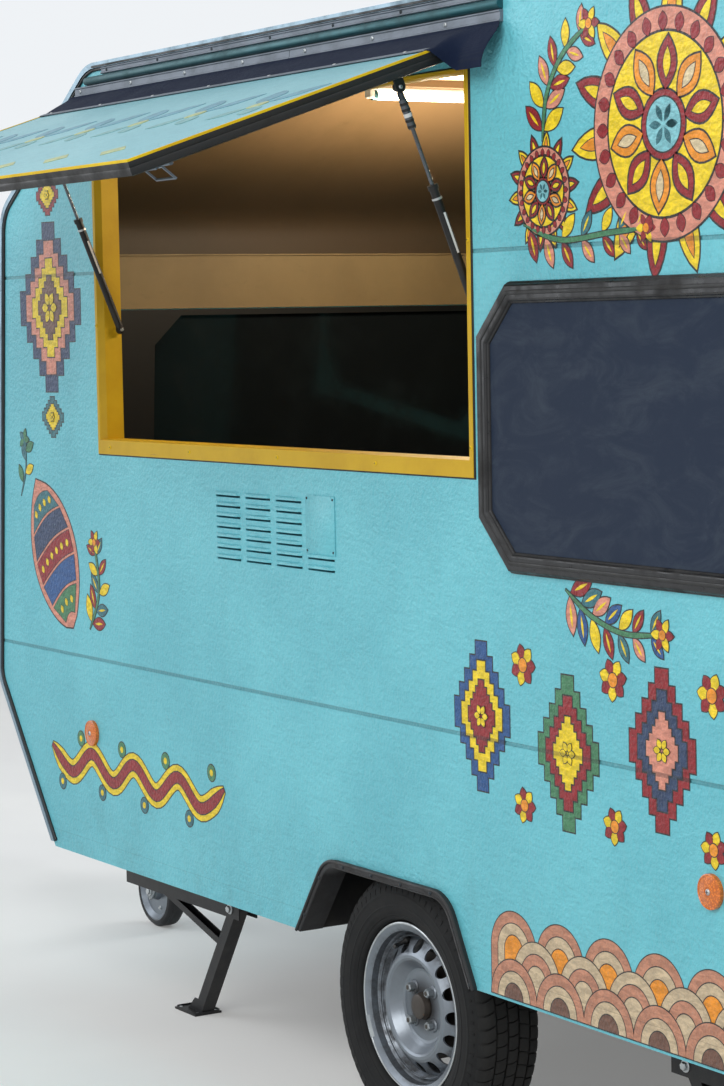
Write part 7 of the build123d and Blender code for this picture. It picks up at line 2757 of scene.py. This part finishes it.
@dataclass
class EntranceDoor:
    """Entrance door of the far side, with seal, handle and lock."""

    left: float = 0.48
    width: float = 0.6
    low: float = 0.47
    tall: float = 1.69
    corner: float = 0.07

    def build(self) -> None:
        """Dress the door, its handle and its hinges, and add seal and lock."""
        dress(Palette.BODY, "entrance_door")
        dress(Palette.STRIP, "door_hinge_pins")
        dress(Palette.BLACK_TRIM, "door_handle")
        self.seal()
        self.lock()

    def loop(self, inset: float) -> list[Point]:
        """Door outline on the door side's face, shrunk by inset.

        Args:
            inset: Metres inside the outer line.

        Returns:
            The outline.
        """
        left, right = -(self.left + self.width) + inset, -self.left - inset
        low, high = self.low + inset, self.low + self.tall - inset
        return soft(box_outline(left, low, right, high), self.corner - inset, 8)

    def seal(self) -> None:
        """Rubber lip of the door and the aluminium surround."""
        lip = Solid()
        lip.sweep(lay(DOOR, self.loop(0.0062)), [(-0.0012, -0.012), (0.0012, -0.012), (0.0012, 0.0005),
            (-0.0012, 0.0005)], DOOR.out, Palette.SEAL, True)
        bead = Solid()
        lip.piece("door_rubber_lip", "entrance_door", "black_rubber")
        bead.sweep(lay(DOOR, self.loop(-0.008)), [(-0.0075, 0.0), (0.0065, 0.0), (0.006, 0.0022),
            (0.0, 0.0034), (-0.0065, 0.0022)], DOOR.out, Palette.EDGE, True)
        bead.piece("door_surround", "body", "bright_rail")

    def lock(self) -> None:
        """Escutcheon, lock cylinder and screws of the handle."""
        solid = Solid()
        u, v = -1.01, 1.18
        turn = turned(DOOR)
        solid.block(DOOR.at(u, v, 0.0022), (0.068, 0.166, 0.0045), Palette.EDGE, turn, 0.002)
        solid.lathe([(0.0, 0.0115), (0.006, 0.0115), (0.0075, 0.0095), (0.0075, 0.0)],
            DOOR.at(u, v - 0.108, 0.0), DOOR.out, Palette.SCREW, 28)
        solid.block(DOOR.at(u, v - 0.108, 0.008), (0.0016, 0.009, 0.0012), Palette.SEAL, turn)
        for dv in (-0.078, 0.078):
            for du in (-0.028, 0.028):
                solid.screw(DOOR.at(u + du, v + dv, 0.0044), DOOR.out, Palette.SCREW, 0.0035, du * 90)
        solid.piece("door_lock", "entrance_door", "black_plastic")


@dataclass
class Studio:
    """Pale floor, soft lamps and the camera."""

    camera_at: Triple = (4.906, -4.115, 1.739)
    yaw: float = 58.27
    pitch: float = 4.46
    roll: float = -1.08
    lens: float = 92.37
    sky: float = 0.4
    cabin_power: float = 4.2
    cabin_lamp_z: float = 2.19

    def build(self) -> None:
        """Set up floor, light and camera."""
        self.floor()
        self.world()
        self.lamps()
        self.camera()

    def floor(self) -> None:
        """Pale matt floor with a faint mottle."""
        w = NodeWriter("studio_floor")
        base = w.mix(w.cloud(0.3, 0.7, 0.9, 4.0, 0.5), "#E8E8E6", "#E2E2E1")
        seen = w.node("ShaderNodeLightPath")
        straight = seen.outputs["Is Camera Ray"]
        for ray in ("Is Glossy Ray", "Is Transmission Ray"):
            straight = w.maths("MAXIMUM", straight, seen.outputs[ray])
        fill = w.times(straight, 0.2)
        material = w.ready(Base_Color=base, Roughness=0.85, Emission_Color=base, Emission_Strength=fill)
        mesh = bmesh.new()
        reach = 60.0
        number = 40
        points = [[mesh.verts.new((-reach + 2 * reach * i / number, -reach + 2 * reach * j / number,
            -0.0004)) for j in range(number + 1)] for i in range(number + 1)]
        for i in range(number):
            for j in range(number):
                mesh.faces.new((points[i][j], points[i + 1][j], points[i + 1][j + 1], points[i][j + 1]))
        data = bpy.data.meshes.new("studio_floor")
        mesh.to_mesh(data)
        mesh.free()
        data.materials.append(material)
        made = bpy.data.objects.new("studio_floor", data)
        bpy.context.scene.collection.objects.link(made)

    def world(self) -> None:
        """Even pale surroundings, white where the camera and reflections see them."""
        world = bpy.data.worlds.new("studio_light")
        bpy.context.scene.world = world
        world.use_nodes = True
        tree = world.node_tree
        background = tree.nodes["Background"]
        light = tree.nodes.new("ShaderNodeLightPath")
        strength = tree.nodes.new("ShaderNodeMapRange")
        strength.inputs["To Min"].default_value = self.sky
        strength.inputs["To Max"].default_value = 0.92
        seen = light.outputs["Is Camera Ray"]
        for ray in ("Is Glossy Ray", "Is Transmission Ray"):
            either = tree.nodes.new("ShaderNodeMath")
            either.operation = "MAXIMUM"
            tree.links.new(seen, either.inputs[0])
            tree.links.new(light.outputs[ray], either.inputs[1])
            seen = either.outputs[0]
        tree.links.new(seen, strength.inputs["Value"])
        tree.links.new(strength.outputs["Result"], background.inputs["Strength"])
        background.inputs["Color"].default_value = (0.94, 0.97, 1.0, 1.0)
        bpy.context.scene.view_settings.view_transform = "Standard"

    def lamp(self, name: str, kind: str, place: Vector, power: float, colour: Triple) -> Object:
        """Hang one lamp.

        Args:
            name: Its name.
            kind: Blender's name of its kind.
            place: Where it hangs.
            power: Its power in watts.
            colour: Its red, green and blue.

        Returns:
            The lamp's object.
        """
        light = bpy.data.lights.new(name, kind)
        light.energy = power
        light.color = colour
        made = bpy.data.objects.new(name, light)
        made.location = place
        bpy.context.scene.collection.objects.link(made)
        return made

    def lamps(self) -> None:
        """Large soft lamps outside, and two rows of warm ones under the cabin's ceiling."""
        target = spot(0.0, 0.0, 1.2)
        for name, place, size, power, colour in (("key_lamp", (3.6, -6.4, 5.2), 5.0, 345,
                (1.0, 0.985, 0.96)), ("fill_lamp", (-5.6, -5.2, 3.8), 5.0, 130, (0.93, 0.96, 1.0)),
                ("back_lamp", (-1.0, 6.0, 5.6), 5.0, 260, (0.96, 0.98, 1.0))):
            made = self.lamp(name, "AREA", spot(*place), power, colour)
            made.data.size = size
            made.rotation_euler = (target - made.location).to_track_quat("-Z", "Y").to_euler()
        for number, (x, y) in enumerate(Cabin.lamp_places, 1):
            for k in range(4):
                place = spot(x, y - 0.225 + 0.15 * k, self.cabin_lamp_z)
                made = self.lamp(f"cabin_lamp_{number}_{k}", "POINT", place, self.cabin_power,
                    (1.0, 0.83, 0.62))
                made.data.shadow_soft_size = 0.012

    def camera(self) -> None:
        """Camera worked out from the photo."""
        yaw, pitch, roll = (math.radians(a) for a in (self.yaw, self.pitch, self.roll))
        ahead = Vector((-math.sin(yaw) * math.cos(pitch), math.cos(yaw) * math.cos(pitch),
            -math.sin(pitch)))
        right = Vector((math.cos(yaw), math.sin(yaw), 0))
        up = right.cross(ahead)
        turned_right = right * math.cos(roll) + up * math.sin(roll)
        turned_up = up * math.cos(roll) - right * math.sin(roll)
        data = bpy.data.cameras.new("camera")
        data.sensor_fit = "AUTO"
        data.sensor_width = 36
        data.lens = self.lens
        data.clip_end = 200
        made = bpy.data.objects.new("camera", data)
        axes = Matrix((turned_right, turned_up, -ahead)).transposed()
        made.matrix_world = Matrix.Translation(spot(*self.camera_at)) @ axes.to_4x4()
        bpy.context.scene.collection.objects.link(made)
        bpy.context.scene.camera = made


def main() -> None:
    """Build every sub-assembly in order."""
    Studio().build()
    for part in (Bodywork(), ServingHatch(), RailsAndCanvas(), GasStruts(), Windows(), Mural(), Cabin(),
            RoadWheel("left", -1), RoadWheel("right", 1), Chassis(), CornerSteadies(), EntranceDoor()):
        part.build()
        log.info("%s is built", type(part).__name__)


if __name__ == "__main__":
    main()
